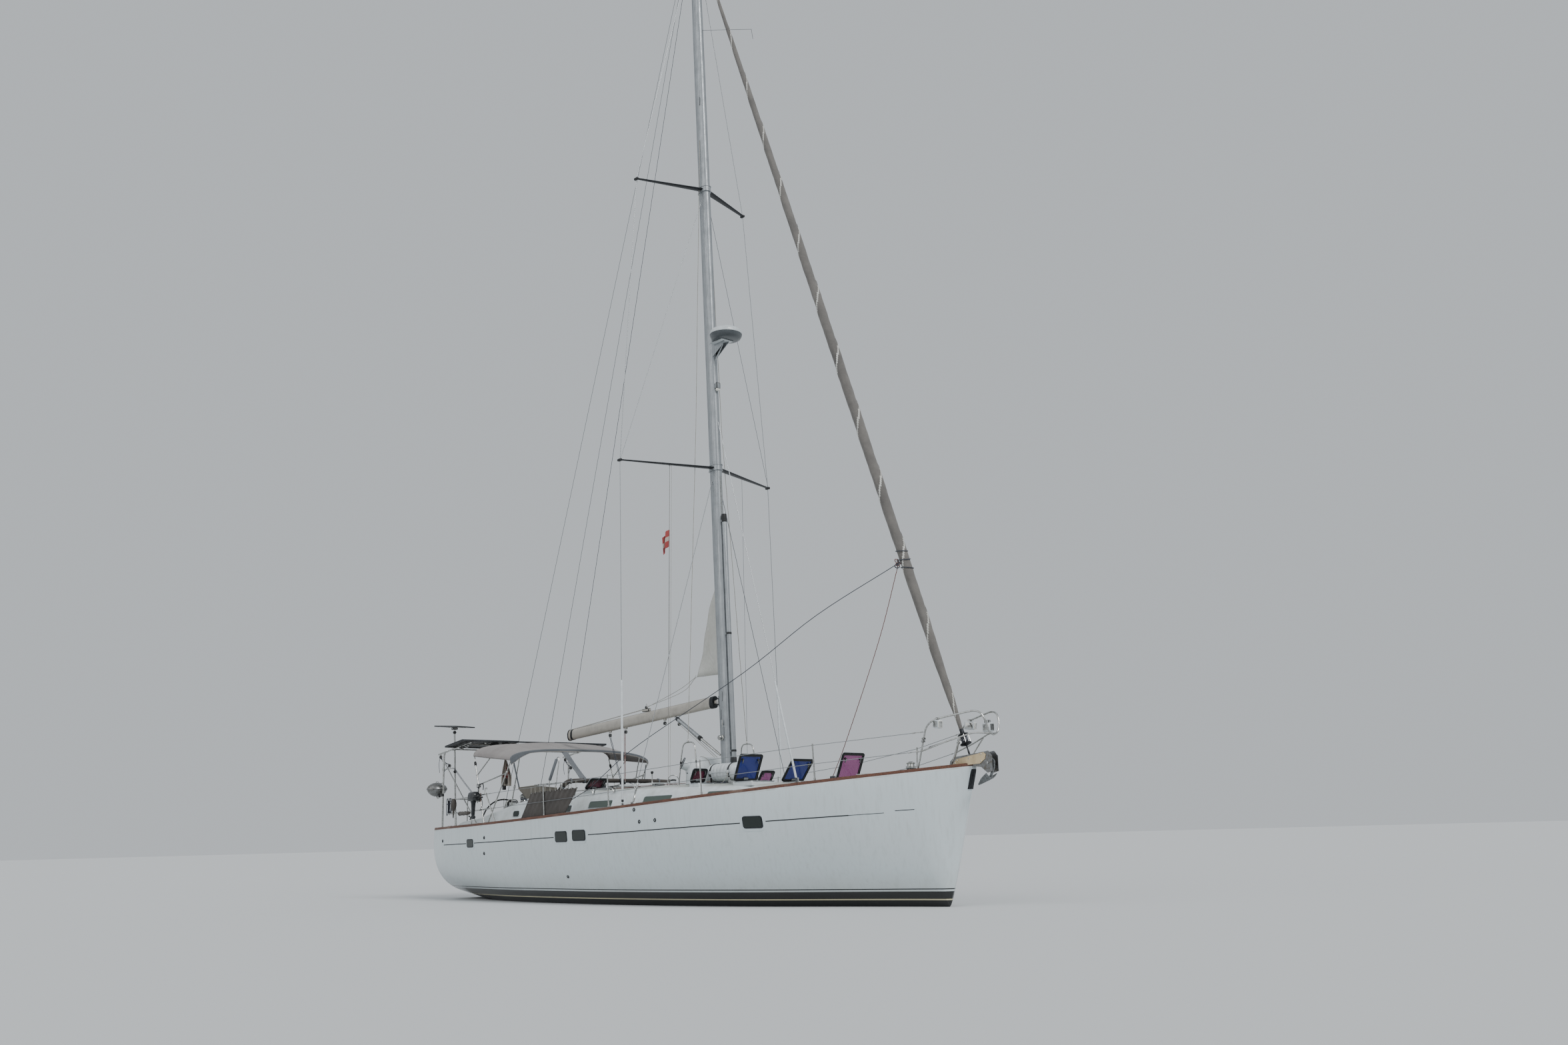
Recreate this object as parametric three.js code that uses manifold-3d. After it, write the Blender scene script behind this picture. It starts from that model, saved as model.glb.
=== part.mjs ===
// Masthead cruising sloop afloat, twin wheels, in-mast furling mainsail. Millimetres.
// +X to the bow, +Y to port, +Z up. Origin on the centreline at the waterline, at mid-length.
import * as THREE from 'three';
import { mergeVertices } from 'three/addons/utils/BufferGeometryUtils.js';
import Module from 'manifold-3d';

const wasm = await Module();
wasm.setup();

// Driving dimensions
const halfLength = 7000;
const sheer = { bow: 2113, middle: 1662, stern: 1461 };
const transomRake = 90;
const draft = 2100;
const gap = 0.3;
const mast = { x: 1020, zRef: 2375, foot: 2060, head: 20170, rakeDeg: 2.24, chord: 270, width: 170 };
const spreaderSpec = {
  lower: { z: 8192, reach: 1866, sweep: 586 },
  upper: { z: 14183, reach: 1403, sweep: 442 },
};
const deckEdge = 30;
const deckMargin = 46;
const deckCamber = 85;
const footDepth = 14;

// Small solid toolbox
function solid(geometry) {
  const bare = geometry.index ? geometry.toNonIndexed() : geometry.clone();
  bare.deleteAttribute('normal');
  bare.deleteAttribute('uv');
  const welded = mergeVertices(bare, 1e-4);
  return new wasm.Manifold(new wasm.Mesh({
    numProp: 3,
    vertProperties: new Float32Array(welded.attributes.position.array),
    triVerts: new Uint32Array(welded.index.array),
  }));
}

function geometryOf(manifold) {
  const mesh = manifold.getMesh();
  const geometry = new THREE.BufferGeometry();
  const places = [];
  for (let i = 0; i < mesh.vertProperties.length; i += mesh.numProp) {
    places.push(mesh.vertProperties[i], mesh.vertProperties[i + 1], mesh.vertProperties[i + 2]);
  }
  geometry.setAttribute('position', new THREE.Float32BufferAttribute(places, 3));
  geometry.setIndex(Array.from(mesh.triVerts));
  geometry.computeVertexNormals();
  return geometry;
}

const join = (pieces) => pieces.reduce((sum, piece) => sum.add(piece));
const cut = (body, tools) => tools.reduce((rest, tool) => rest.subtract(tool), body);
const mirrorY = (piece) => piece.mirror([0, 1, 0]);
const vec = (x, y, z) => new THREE.Vector3(x, y, z);
const rad = THREE.MathUtils.degToRad;

function box(x0, x1, y0, y1, z0, z1) {
  const geometry = new THREE.BoxGeometry(x1 - x0, y1 - y0, z1 - z0);
  geometry.translate((x0 + x1) / 2, (y0 + y1) / 2, (z0 + z1) / 2);
  return solid(geometry);
}

function circleShape(radius, sides) {
  const corners = [];
  for (let i = 0; i < sides; i += 1) {
    const turn = (i / sides) * Math.PI * 2;
    corners.push(new THREE.Vector2(Math.cos(turn) * radius, Math.sin(turn) * radius));
  }
  return new THREE.Shape(corners);
}

function sweep(curve, shape, steps) {
  return solid(new THREE.ExtrudeGeometry(shape, { steps, bevelEnabled: false, extrudePath: curve }));
}

function rod(from, to, radius, sides = 8) {
  return sweep(new THREE.LineCurve3(from, to), circleShape(radius, sides), 1);
}

// A bent tube: a smooth curve through the points
function tube(points, radius, steps = 12, sides = 7) {
  const curve = new THREE.CatmullRomCurve3(points, false, 'centripetal');
  return sweep(curve, circleShape(radius, sides), steps);
}

// Straight runs through the points, one step each
class Bends extends THREE.Curve {
  constructor(points) {
    super();
    this.points = points;
  }

  getPoint(share) {
    const place = share * (this.points.length - 1);
    const i = Math.min(Math.floor(place), this.points.length - 2);
    return this.points[i].clone().lerp(this.points[i + 1], place - i);
  }

  getPointAt(share) {
    return this.getPoint(share);
  }

  getTangentAt(share) {
    return this.getTangent(share);
  }
}

function pipe(points, radius, sides = 6) {
  return sweep(new Bends(points), circleShape(radius, sides), points.length - 1);
}

// A turned piece about +Z from [radius, height] rows, starting and ending on the axis
function turned(rows, sides = 16) {
  const points = rows.map(([radius, height]) => new THREE.Vector2(radius, height));
  return solid(new THREE.LatheGeometry(points, sides).rotateX(Math.PI / 2));
}

function plate(outline, thickness) {
  const shape = new THREE.Shape(outline.map(([x, y]) => new THREE.Vector2(x, y)));
  return solid(new THREE.ExtrudeGeometry(shape, { depth: thickness, bevelEnabled: false }));
}

// An outline of [x, z] rows as a plate that stands across Y, its middle at yMid
function uprightPlate(outline, thickness, yMid) {
  return plate(outline, thickness).rotate([90, 0, 0]).translate([0, yMid + thickness / 2, 0]);
}

// A closed skin over rings that have the same number of points
function loft(rings) {
  const count = rings[0].length;
  const places = rings.flat();
  const faces = [];
  for (let r = 0; r < rings.length - 1; r += 1) {
    for (let i = 0; i < count; i += 1) {
      const next = (i + 1) % count;
      const a = r * count + i;
      const b = r * count + next;
      faces.push(a, b, b + count, a, b + count, a + count);
    }
  }
  const capOf = (ring, first, flip) => {
    const centre = ring.reduce((sum, point) => sum.add(point), vec(0, 0, 0)).divideScalar(count);
    places.push(centre);
    for (let i = 0; i < count; i += 1) {
      const a = first + i;
      const b = first + ((i + 1) % count);
      faces.push(...(flip ? [a, b, places.length - 1] : [b, a, places.length - 1]));
    }
  };
  capOf(rings[0], 0, false);
  capOf(rings[rings.length - 1], (rings.length - 1) * count, true);
  return closed(places, faces);
}

// A solid from points and triangles, turned inside out where its volume would be negative
function closed(places, faces) {
  const geometry = new THREE.BufferGeometry();
  geometry.setAttribute('position', new THREE.Float32BufferAttribute(places.flatMap((p) => [p.x, p.y, p.z]), 3));
  geometry.setIndex(faces);
  const made = solid(geometry);
  return made.volume() < 0 ? solid(flipped(geometry)) : made;
}

// A closed skin between two grids of points of the same size, one each side of the cloth
function shell(outer, inner) {
  const [rows, columns] = [outer.length, outer[0].length];
  const at = (layer, r, c) => (layer * rows + r) * columns + c;
  const faces = [];
  const quad = (a, b, c, d) => faces.push(a, b, c, a, c, d);
  for (let r = 0; r < rows - 1; r += 1) {
    for (let c = 0; c < columns - 1; c += 1) {
      quad(at(0, r, c), at(0, r, c + 1), at(0, r + 1, c + 1), at(0, r + 1, c));
      quad(at(1, r, c), at(1, r + 1, c), at(1, r + 1, c + 1), at(1, r, c + 1));
    }
    quad(at(0, r, 0), at(0, r + 1, 0), at(1, r + 1, 0), at(1, r, 0));
    quad(at(0, r, columns - 1), at(1, r, columns - 1), at(1, r + 1, columns - 1), at(0, r + 1, columns - 1));
  }
  for (let c = 0; c < columns - 1; c += 1) {
    quad(at(0, 0, c), at(1, 0, c), at(1, 0, c + 1), at(0, 0, c + 1));
    quad(at(0, rows - 1, c), at(0, rows - 1, c + 1), at(1, rows - 1, c + 1), at(1, rows - 1, c));
  }
  return closed([...outer.flat(), ...inner.flat()], faces);
}

function flipped(geometry) {
  const index = geometry.index.array;
  const turnedOver = [];
  for (let i = 0; i < index.length; i += 3) turnedOver.push(index[i], index[i + 2], index[i + 1]);
  const copy = geometry.clone();
  copy.setIndex(turnedOver);
  return copy;
}

function between(table, column, x) {
  const last = table.length - 1;
  if (x <= table[0].x) return table[0][column];
  if (x >= table[last].x) return table[last][column];
  const i = table.findIndex((row) => row.x > x);
  const [low, high] = [table[i - 1], table[i]];
  return THREE.MathUtils.lerp(low[column], high[column], (x - low.x) / (high.x - low.x));
}

// Where things are: sheer, deck and mast
function sheerZ(x) {
  const lift = (sheer.bow - sheer.stern) / (2 * halfLength);
  const bend = (sheer.bow + sheer.stern - 2 * sheer.middle) / (2 * halfLength * halfLength);
  return sheer.middle + lift * x + bend * x * x;
}

// Hull sections: x, half-breadth at the deck, bottom on the centreline, fullness of the curve
const hullTable = [
  { x: -7000, half: 1680, bottom: 60, full: 2.8 },
  { x: -6200, half: 1840, bottom: -60, full: 2.7 },
  { x: -5000, half: 1965, bottom: -240, full: 2.6 },
  { x: -3500, half: 2090, bottom: -440, full: 2.5 },
  { x: -2000, half: 2150, bottom: -560, full: 2.4 },
  { x: -500, half: 2150, bottom: -610, full: 2.35 },
  { x: 1000, half: 2075, bottom: -600, full: 2.2 },
  { x: 2200, half: 1945, bottom: -550, full: 2.05 },
  { x: 3300, half: 1730, bottom: -460, full: 1.9 },
  { x: 4300, half: 1430, bottom: -340, full: 1.7 },
  { x: 5200, half: 1090, bottom: -210, full: 1.55 },
  { x: 5900, half: 740, bottom: -90, full: 1.45 },
  { x: 6370, half: 480, bottom: 10, full: 1.4 },
  { x: 6700, half: 270, bottom: 1100, full: 1.35 },
  { x: 6980, half: 50, bottom: 2030, full: 1.3 },
];
const girthPoints = 9;

function hullRing(row) {
  const top = sheerZ(row.x) - deckEdge;
  const depth = top - row.bottom;
  const side = [];
  for (let i = 0; i <= girthPoints; i += 1) {
    const turn = (i / girthPoints) * Math.PI / 2;
    const out = row.half * Math.cos(turn) ** (2 / row.full);
    const down = depth * Math.sin(turn) ** (2 / row.full);
    const slant = row.x < -6900 ? -transomRake * (down / depth) : 0;
    side.push(vec(row.x + slant, -Math.max(out, 0), top - down));
  }
  const other = side.slice(0, girthPoints).reverse().map((p) => vec(p.x, -p.y, p.z));
  return [...side, ...other];
}

function deckTop(x, y) {
  const half = between(hullTable, 'half', x) - deckMargin;
  const inside = Math.max(0, 1 - (y / half) ** 2);
  return sheerZ(x) + inside * deckCamber * (half / 2100);
}

function deckRing(row) {
  const bottom = sheerZ(row.x) - deckEdge + gap;
  const edge = sheerZ(row.x);
  const inner = Math.max(row.half - deckMargin, row.half * 0.2);
  const side = [vec(row.x, -row.half, bottom), vec(row.x, -row.half, edge)];
  for (const share of [1, 0.8, 0.55, 0.28, 0]) {
    side.push(vec(row.x, -inner * share, deckTop(row.x, inner * share)));
  }
  const other = side.slice(0, -1).reverse().map((p) => vec(p.x, -p.y, p.z));
  return [...side, ...other];
}

// Coachroof sections: x, half width at the foot and at the shoulder, shoulder and crown height
const roofTable = [
  { x: -2350, foot: 1440, shoulder: 1240, shoulderZ: 2040, crownZ: 2130 },
  { x: -1000, foot: 1420, shoulder: 1200, shoulderZ: 2060, crownZ: 2145 },
  { x: 300, foot: 1340, shoulder: 1110, shoulderZ: 2050, crownZ: 2140 },
  { x: 1600, foot: 1200, shoulder: 980, shoulderZ: 2035, crownZ: 2105 },
  { x: 2800, foot: 1000, shoulder: 780, shoulderZ: 1995, crownZ: 2045 },
  { x: 3700, foot: 590, shoulder: 340, shoulderZ: 1955, crownZ: 1975 },
  { x: 4000, foot: 300, shoulder: 120, shoulderZ: 1900, crownZ: 1905 },
];

function roofTop(x, y) {
  const shoulder = between(roofTable, 'shoulder', x);
  const low = between(roofTable, 'shoulderZ', x);
  const crown = between(roofTable, 'crownZ', x);
  const share = Math.min(1, Math.abs(y) / shoulder);
  return crown - (crown - low) * share * share;
}

function roofRing(row) {
  const sunk = sheerZ(row.x) - deckEdge / 2;
  const side = [vec(row.x, -row.foot, sunk)];
  for (const share of [1, 0.75, 0.5, 0.25, 0]) {
    const out = row.shoulder * share;
    side.push(vec(row.x, -out, row.crownZ - (row.crownZ - row.shoulderZ) * share * share));
  }
  const other = side.slice(0, -1).reverse().map((p) => vec(p.x, -p.y, p.z));
  return [...side, ...other];
}

const cockpit = {
  front: -2350, back: -6250, helm: -4450, passageBack: -7200,
  seatHalf: 1250, wellHalf: 560, helmHalf: 1380, passageHalf: 290,
  seatZ: 1420, soleZ: 960, linerWall: 25,
  wheelBack: -5400, wheelFront: -5120, wheelHalf: 1552,
  wayFront: -1650, wayHalf: 330, stepZ: 1310, wayTop: 2060,
};

// The hollow of the cockpit, grown by the liner's wall for its outside
function cockpitHollow(grow) {
  const c = cockpit;
  const top = 2400;
  return join([
    box(c.helm - grow, c.front + grow, -c.seatHalf - grow, c.seatHalf + grow, c.seatZ - grow, top),
    box(c.helm - grow, c.front + grow, -c.wellHalf - grow, c.wellHalf + grow, c.soleZ - grow, top),
    box(c.back - grow, c.helm + grow, -c.helmHalf - grow, c.helmHalf + grow, c.soleZ - grow, top),
    box(c.wheelBack - grow, c.wheelFront + grow, -c.wheelHalf - grow, c.wheelHalf + grow, c.soleZ - grow, top),
    box(c.passageBack, c.back + grow, -c.passageHalf - grow, c.passageHalf + grow, c.soleZ - grow, top),
    box(c.front - 100, c.wayFront + grow, -c.wayHalf - grow, c.wayHalf + grow, c.stepZ - grow, c.wayTop + grow),
  ]);
}

// Coaming sections along one side: x, outer foot, outer and inner top edges, top height
const coamingTable = [
  { x: -6250, foot: 1600, outer: 1560, inner: 1300, topZ: 1600 },
  { x: -5300, foot: 1690, outer: 1630, inner: 1250, topZ: 1660 },
  { x: -4400, foot: 1660, outer: 1580, inner: 1200, topZ: 1830 },
  { x: -3500, foot: 1560, outer: 1480, inner: 1180, topZ: 1990 },
  { x: -2400, foot: 1460, outer: 1400, inner: 1180, topZ: 2040 },
];

function coaming() {
  return loft(coamingTable.map((row) => {
    const sunk = sheerZ(row.x) - deckEdge / 2;
    return [
      vec(row.x, -row.foot, sunk), vec(row.x, -row.outer, row.topZ - 40),
      vec(row.x, -row.outer + 40, row.topZ), vec(row.x, -row.inner, row.topZ),
      vec(row.x, -row.inner, sunk),
    ];
  }));
}

const primaryWinch = { x: -3900, y: 1340, radius: 95, height: 190 };
const roofWinch = { x: -2140, y: 600, radius: 70, height: 150 };

function winchPair(spec, z) {
  const drum = turned([
    [0, -30], [spec.radius, -30], [spec.radius, 20], [spec.radius * 0.72, 50],
    [spec.radius * 0.72, spec.height * 0.75], [spec.radius * 0.9, spec.height * 0.85],
    [spec.radius * 0.5, spec.height], [0, spec.height],
  ], 8);
  return [-1, 1].map((side) => drum.translate([spec.x, side * spec.y, z]));
}

// Hatches: hinge line on the aft edge, lid leaning forward over its opening by the angle given
const hatchTable = [
  { name: 'hatch_lid_saloon_stbd', x: 2170, y: -560, width: 540, length: 500, open: 66 },
  { name: 'hatch_lid_saloon_port', x: 2170, y: 560, width: 540, length: 500, open: 50 },
  { name: 'hatch_lid_fore', x: 4160, y: 0, width: 520, length: 500, open: 66 },
  { name: 'hatch_lid_side_stbd', x: 1110, y: -800, width: 340, length: 270, open: 64 },
  { name: 'hatch_lid_side_port', x: 1110, y: 800, width: 340, length: 270, open: 56 },
  { name: 'hatch_lid_galley', x: -1950, y: -980, width: 400, length: 300, open: 40 },
];
const coamHeight = 12;
const lidThickness = 28;
const lidHinge = 9;

const surfaceZ = (x, y) => Math.max(deckTop(x, y), roofTop(x, y));

function hatchSeatZ(hatch) {
  const corners = [0, hatch.length].flatMap((along) => [-0.5, 0.5].map((share) => (
    surfaceZ(hatch.x + along, hatch.y + share * hatch.width))));
  return Math.max(...corners) + coamHeight;
}

function hatchCoam(hatch) {
  const z = hatchSeatZ(hatch);
  const half = hatch.width / 2;
  return box(hatch.x - 12, hatch.x + hatch.length, hatch.y - half, hatch.y + half, z - 86, z);
}

function hatchWell(hatch) {
  const z = hatchSeatZ(hatch);
  const rim = 30;
  const [x0, x1] = [hatch.x + rim, hatch.x + hatch.length - rim];
  const [y0, y1] = [hatch.y - hatch.width / 2 + rim, hatch.y + hatch.width / 2 - rim];
  return box(x0, x1, y0, y1, z - 70, z + 50);
}

function hatchLid(hatch) {
  const corner = 45;
  const half = hatch.width / 2;
  const shape = new THREE.Shape();
  shape.moveTo(0, -half);
  shape.lineTo(hatch.length - corner, -half);
  shape.absarc(hatch.length - corner, -half + corner, corner, -Math.PI / 2, 0);
  shape.lineTo(hatch.length, half - corner);
  shape.absarc(hatch.length - corner, half - corner, corner, 0, Math.PI / 2);
  shape.lineTo(0, half);
  const flat = solid(new THREE.ExtrudeGeometry(shape, { depth: lidThickness, bevelEnabled: false, curveSegments: 3 }));
  const knuckle = rod(vec(0, -half * 0.8, lidHinge), vec(0, half * 0.8, lidHinge), lidHinge, 8);
  return flat.translate([5, 0, 5]).add(knuckle)
    .translate([0, 0, -lidHinge]).rotate([0, -hatch.open, 0])
    .translate([hatch.x, hatch.y, hatchSeatZ(hatch) + lidHinge + gap]);
}

const stanchionX = [-1990, 100, 2490, 4660];

// Hull, deck and what is below the water
const rudderSpec = { x: -5950, stock: 35, tilt: 6, top: 120 };
const propSpec = { x: -3300, z: -840, reach: 230 };
const boreClearance = 0.9;
const ladder = { x: -7125, z: 505, half: 180, height: 800 };
const [platformFront, platformHalf, platformZ] = [-6640, 760, 480];

function rudderPlaced(piece) {
  return piece.rotate([0, rudderSpec.tilt, 0]).translate([rudderSpec.x, 0, 0]);
}

function stockSolid(radius, low, high) {
  return turned([[0, low], [radius, low], [radius, high], [0, high]], 24);
}

const hullBody = loft(hullTable.map(hullRing));

function makeHull() {
  const platform = box(-7300, platformFront, -platformHalf, platformHalf, platformZ, 2000);
  const lugs = [-1, 1].map((side) => (
    box(ladder.x - 18, -6980, side * 207 - 7, side * 207 + 7, 420, ladder.z + 16)));
  return cut(join([hullBody, ...lugs]), [
    cockpitHollow(cockpit.linerWall + gap),
    platform.subtract(join(lugs)),
    rudderPlaced(stockSolid(rudderSpec.stock + boreClearance, -400, 160)),
  ]);
}

function makeDeck() {
  const deckPlate = loft(hullTable.map(deckRing));
  const roof = loft(roofTable.map(roofRing));
  const hood = roundedBox(-1700, -700, -430, 430, 2060, 2205, 60);
  const winches = winchPair(roofWinch, roofTop(roofWinch.x, roofWinch.y));
  return cut(join([deckPlate, roof, hood, ...winches, ...hatchTable.map(hatchCoam)]), [
    cockpitHollow(cockpit.linerWall + gap),
    box(-7300, platformFront, -platformHalf, platformHalf, 400, 2000),
    ...hatchTable.map(hatchWell),
  ]);
}

// The moulding that lines the cockpit and the way below, with its coamings and winches on the deck
function makeCockpit(deckSolid) {
  const c = cockpit;
  const side = coaming();
  const high = join([
    box(platformFront, 0, -1800, 1800, 0, 1500),
    box(c.helm, 0, -1300, 1300, 0, 1560),
    box(-2400, 0, -1300, 1300, 0, 1950),
    box(-2400, 0, -400, 400, 0, c.wayTop + c.linerWall),
  ]);
  const liner = cockpitHollow(c.linerWall).intersect(high);
  const winches = winchPair(primaryWinch, between(coamingTable, 'topZ', primaryWinch.x));
  return join([side, mirrorY(side), liner, ...winches])
    .subtract(cockpitHollow(0)).subtract(deckSolid.translate([0, 0, gap]));
}

function roundedBox(x0, x1, y0, y1, z0, z1, corner) {
  const shape = new THREE.Shape();
  shape.moveTo(x0 + corner, y0);
  shape.absarc(x1 - corner, y0 + corner, corner, -Math.PI / 2, 0);
  shape.absarc(x1 - corner, y1 - corner, corner, 0, Math.PI / 2);
  shape.absarc(x0 + corner, y1 - corner, corner, Math.PI / 2, Math.PI);
  shape.absarc(x0 + corner, y0 + corner, corner, Math.PI, Math.PI * 1.5);
  const geometry = new THREE.ExtrudeGeometry(shape, { depth: z1 - z0, bevelEnabled: false, curveSegments: 3 });
  geometry.translate(0, 0, z0);
  return solid(geometry);
}

const hull = makeHull();
const deck = makeDeck();
const cockpitLining = makeCockpit(deck);
const standing = join([deck, cockpitLining]);

// Takes away the part of a piece that is under the deck, with the gap between them
const onDeck = (piece) => piece.subtract(standing.translate([0, 0, gap]));

function foil(chord, thickness, x, z) {
  // Leading edge at x, chord aft, as a ring at height z
  const rows = [[0, 0], [0.06, 0.36], [0.3, 0.5], [0.65, 0.32], [1, 0.03]];
  const side = rows.map(([along, out]) => vec(x - along * chord, -out * thickness, z));
  const other = rows.slice(1).reverse().map(([along, out]) => vec(x - along * chord, out * thickness, z));
  return [...side, ...other];
}

function makeKeel() {
  const fin = loft([foil(1500, 190, 350, -draft + 250), foil(2300, 240, 900, -450)]);
  const bulbRows = [
    { x: 800, wide: 30, high: 30 }, { x: 600, wide: 170, high: 120 }, { x: 100, wide: 270, high: 165 },
    { x: -700, wide: 260, high: 160 }, { x: -1400, wide: 120, high: 90 }, { x: -1600, wide: 20, high: 20 },
  ];
  const sides = 12;
  const bulb = loft(bulbRows.map((row) => Array.from({ length: sides }, (_, i) => {
    const turn = (i / sides) * Math.PI * 2;
    const z = -draft + 165 + Math.sin(turn) * row.high;
    return vec(row.x, Math.cos(turn) * row.wide, z);
  })));
  const soleBox = box(-600, 300, -120, 120, -draft, -draft + 165);
  return join([fin, bulb, soleBox]).subtract(hullBody.translate([0, 0, -gap]));
}

function makeRudder() {
  const blade = loft([foil(430, 60, 130, -1650), foil(680, 100, 190, -260), foil(640, 90, 160, -180)]);
  return rudderPlaced(join([blade, stockSolid(rudderSpec.stock, -600, 150)]));
}

function makePropLeg() {
  const { x, z } = propSpec;
  const leg = loft([foil(230, 80, x + 110, z), foil(260, 100, x + 130, -380)]);
  const pod = turned([[0, -230], [52, -230], [60, 0], [52, 160], [20, 240], [0, 240]], 12)
    .rotate([0, 90, 0]).translate([x, 0, z]);
  const bore = turned([[0, -300], [18 + boreClearance, -300], [18 + boreClearance, -150], [0, -150]], 24)
    .rotate([0, 90, 0]).translate([x, 0, z]);
  return join([leg, pod]).subtract(hullBody.translate([0, 0, -gap])).subtract(bore);
}

function makePropeller() {
  const { x, z, reach } = propSpec;
  const hub = turned([[0, -330], [30, -320], [48, -240 - 2], [18, -240 - 2], [18, -160], [0, -160]], 24)
    .rotate([0, 90, 0]);
  const blades = [0, 120, 240].map((turn) => {
    const outline = [[-26, 30], [-75, 120], [-60, 200], [0, reach], [60, 190], [62, 110], [24, 30]];
    return plate(outline, 10).translate([0, 0, -5]).rotate([90, 0, 0])
      .rotate([0, 0, 90]).rotate([0, 0, 55]).translate([-285, 0, 0]).rotate([turn, 0, 0]);
  });
  return join([hub, ...blades]).translate([x, 0, z]);
}

// A timber strip along each side of the deck's edge, joined at the stem
function makeToeRail() {
  const strip = loft(hullTable.map((row) => {
    const z = sheerZ(row.x) + gap;
    const [outer, inner] = [row.half - 2, row.half - 40];
    return [vec(row.x, -outer, z), vec(row.x, -outer + 6, z + 48), vec(row.x, -inner, z + 48), vec(row.x, -inner, z)];
  }));
  const nose = box(6950, 6994, -46, 46, sheerZ(6994) + gap, sheerZ(6980) + gap + 48);
  return join([strip, mirrorY(strip), nose]);
}

// Spars
const vangFootZ = 2640;
const mastLean = Math.tan(rad(mast.rakeDeg));
const mastX = (z) => mast.x - (z - mast.zRef) * mastLean;
const mastAt = (z, forward = 0, side = 0) => vec(mastX(z) + forward, side, z);

function ovalShape(chord, width, sides = 14) {
  const corners = [];
  for (let i = 0; i < sides; i += 1) {
    const turn = (i / sides) * Math.PI * 2;
    const c = Math.cos(turn);
    const s = Math.sin(turn);
    corners.push(new THREE.Vector2(
      Math.sign(c) * Math.abs(c) ** 0.8 * chord / 2,
      Math.sign(s) * Math.abs(s) ** 0.8 * width / 2,
    ));
  }
  return new THREE.Shape(corners);
}

// A prism of an oval section that leans with the mast, from one height to another
function leaning(chord, width, low, high) {
  const slope = 1 / Math.cos(rad(mast.rakeDeg));
  const shape = ovalShape(chord, width);
  const prism = solid(new THREE.ExtrudeGeometry(shape, { depth: (high - low) * slope, bevelEnabled: false }));
  return prism.rotate([0, -mast.rakeDeg, 0]).translate([mastX(low), 0, low]);
}

function makeMast() {
  const tubePiece = leaning(mast.chord, mast.width, mast.foot, mast.head);
  const top = mastX(mast.head);
  const crane = box(top - 330, top + 190, -45, 45, mast.head - 150, mast.head);
  const collar = leaning(mast.chord + 90, mast.width + 90, mast.foot, 2190);
  const vangLug = box(mastX(vangFootZ) - 168, mastX(vangFootZ), -24, 24, vangFootZ - 50, vangFootZ + 40);
  return onDeck(join([tubePiece, crane, collar, vangLug]));
}

function makeSpreaders(spec) {
  const collar = leaning(mast.chord + 60, mast.width + 60, spec.z - 60, spec.z + 60);
  const bore = leaning(mast.chord + 2 * gap, mast.width + 2 * gap, spec.z - 90, spec.z + 90);
  const arm = loft([
    { out: 60, wide: 190, thick: 60, back: 0 },
    { out: spec.reach + 3, wide: 80, thick: 30, back: spec.sweep },
  ].map((row) => {
    const x = mastX(spec.z) - row.back;
    return [
      vec(x - row.wide / 2, -row.out, spec.z), vec(x - row.wide / 4, -row.out, spec.z - row.thick / 2),
      vec(x + row.wide / 2, -row.out, spec.z), vec(x - row.wide / 4, -row.out, spec.z + row.thick / 2),
    ];
  }));
  return cut(join([collar, arm, mirrorY(arm)]), [bore, ...[-1, 1].map((side) => pipe(capLine(side), 7 + gap))]);
}

// Where the wires pass the ends of the spreaders
const tipAt = (spec, side) => vec(mastX(spec.z) - spec.sweep, side * spec.reach, spec.z);

function capLine(side) {
  const foot = vec(377, side * 1920, deckTop(377, 1920) - footDepth);
  const head = mastAt(mast.head - 260, 0, side * (mast.width / 2 + gap));
  return [foot, tipAt(spreaderSpec.lower, side), tipAt(spreaderSpec.upper, side), head];
}

function makeCapShroud(side) {
  const [foot, low] = capLine(side);
  const stay = pipe(capLine(side), 7);
  const direction = low.clone().sub(foot).normalize();
  const cover = rod(foot.clone().addScaledVector(direction, 60), foot.clone().addScaledVector(direction, 2300), 20, 10);
  const chainplate = box(330, 424, side * 1920 - 8, side * 1920 + 8, foot.z, foot.z + 90);
  return onDeck(join([stay, cover, chainplate]).subtract(mastCore));
}

const mastCore = leaning(mast.chord + 2 * gap, mast.width + 2 * gap, mast.foot, mast.head + 100);

function makeLowerShroud(side) {
  const foot = vec(640, side * 1900, deckTop(640, 1900) - footDepth);
  const head = mastAt(spreaderSpec.lower.z - 250, -20, side * (mast.width / 2 - 20));
  const direction = head.clone().sub(foot).normalize();
  const screw = rod(foot.clone().addScaledVector(direction, 60), foot.clone().addScaledVector(direction, 430), 17, 8);
  const chainplate = box(600, 690, side * 1900 - 8, side * 1900 + 8, foot.z, foot.z + 90);
  return onDeck(join([rod(foot, head, 7, 6), screw, chainplate]).subtract(mastCore));
}

function makeBackstay(side) {
  const footX = -6320;
  const foot = vec(footX, side * 420, deckTop(footX, 420) - footDepth);
  const head = vec(mastX(mast.head) - 300, side * 20, mast.head - 150 - gap);
  const direction = head.clone().sub(foot).normalize();
  const screw = rod(foot.clone().addScaledVector(direction, 60), foot.clone().addScaledVector(direction, 520), 18, 8);
  const chainplate = box(footX - 45, footX + 45, side * 420 - 8, side * 420 + 8, foot.z, foot.z + 100);
  const top = box(-2000, 2000, -500, 500, mast.head - 150 - gap, mast.head + 500);
  return onDeck(join([rod(foot, head.clone().addScaledVector(direction, 20), 6, 6), screw, chainplate]).subtract(top));
}

const rollerBedTop = sheerZ(6980) + 72;
const genoa = { foot: vec(6890, 0, 2310), head: vec(mastX(mast.head) + 160, 0, mast.head - 150) };

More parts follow.
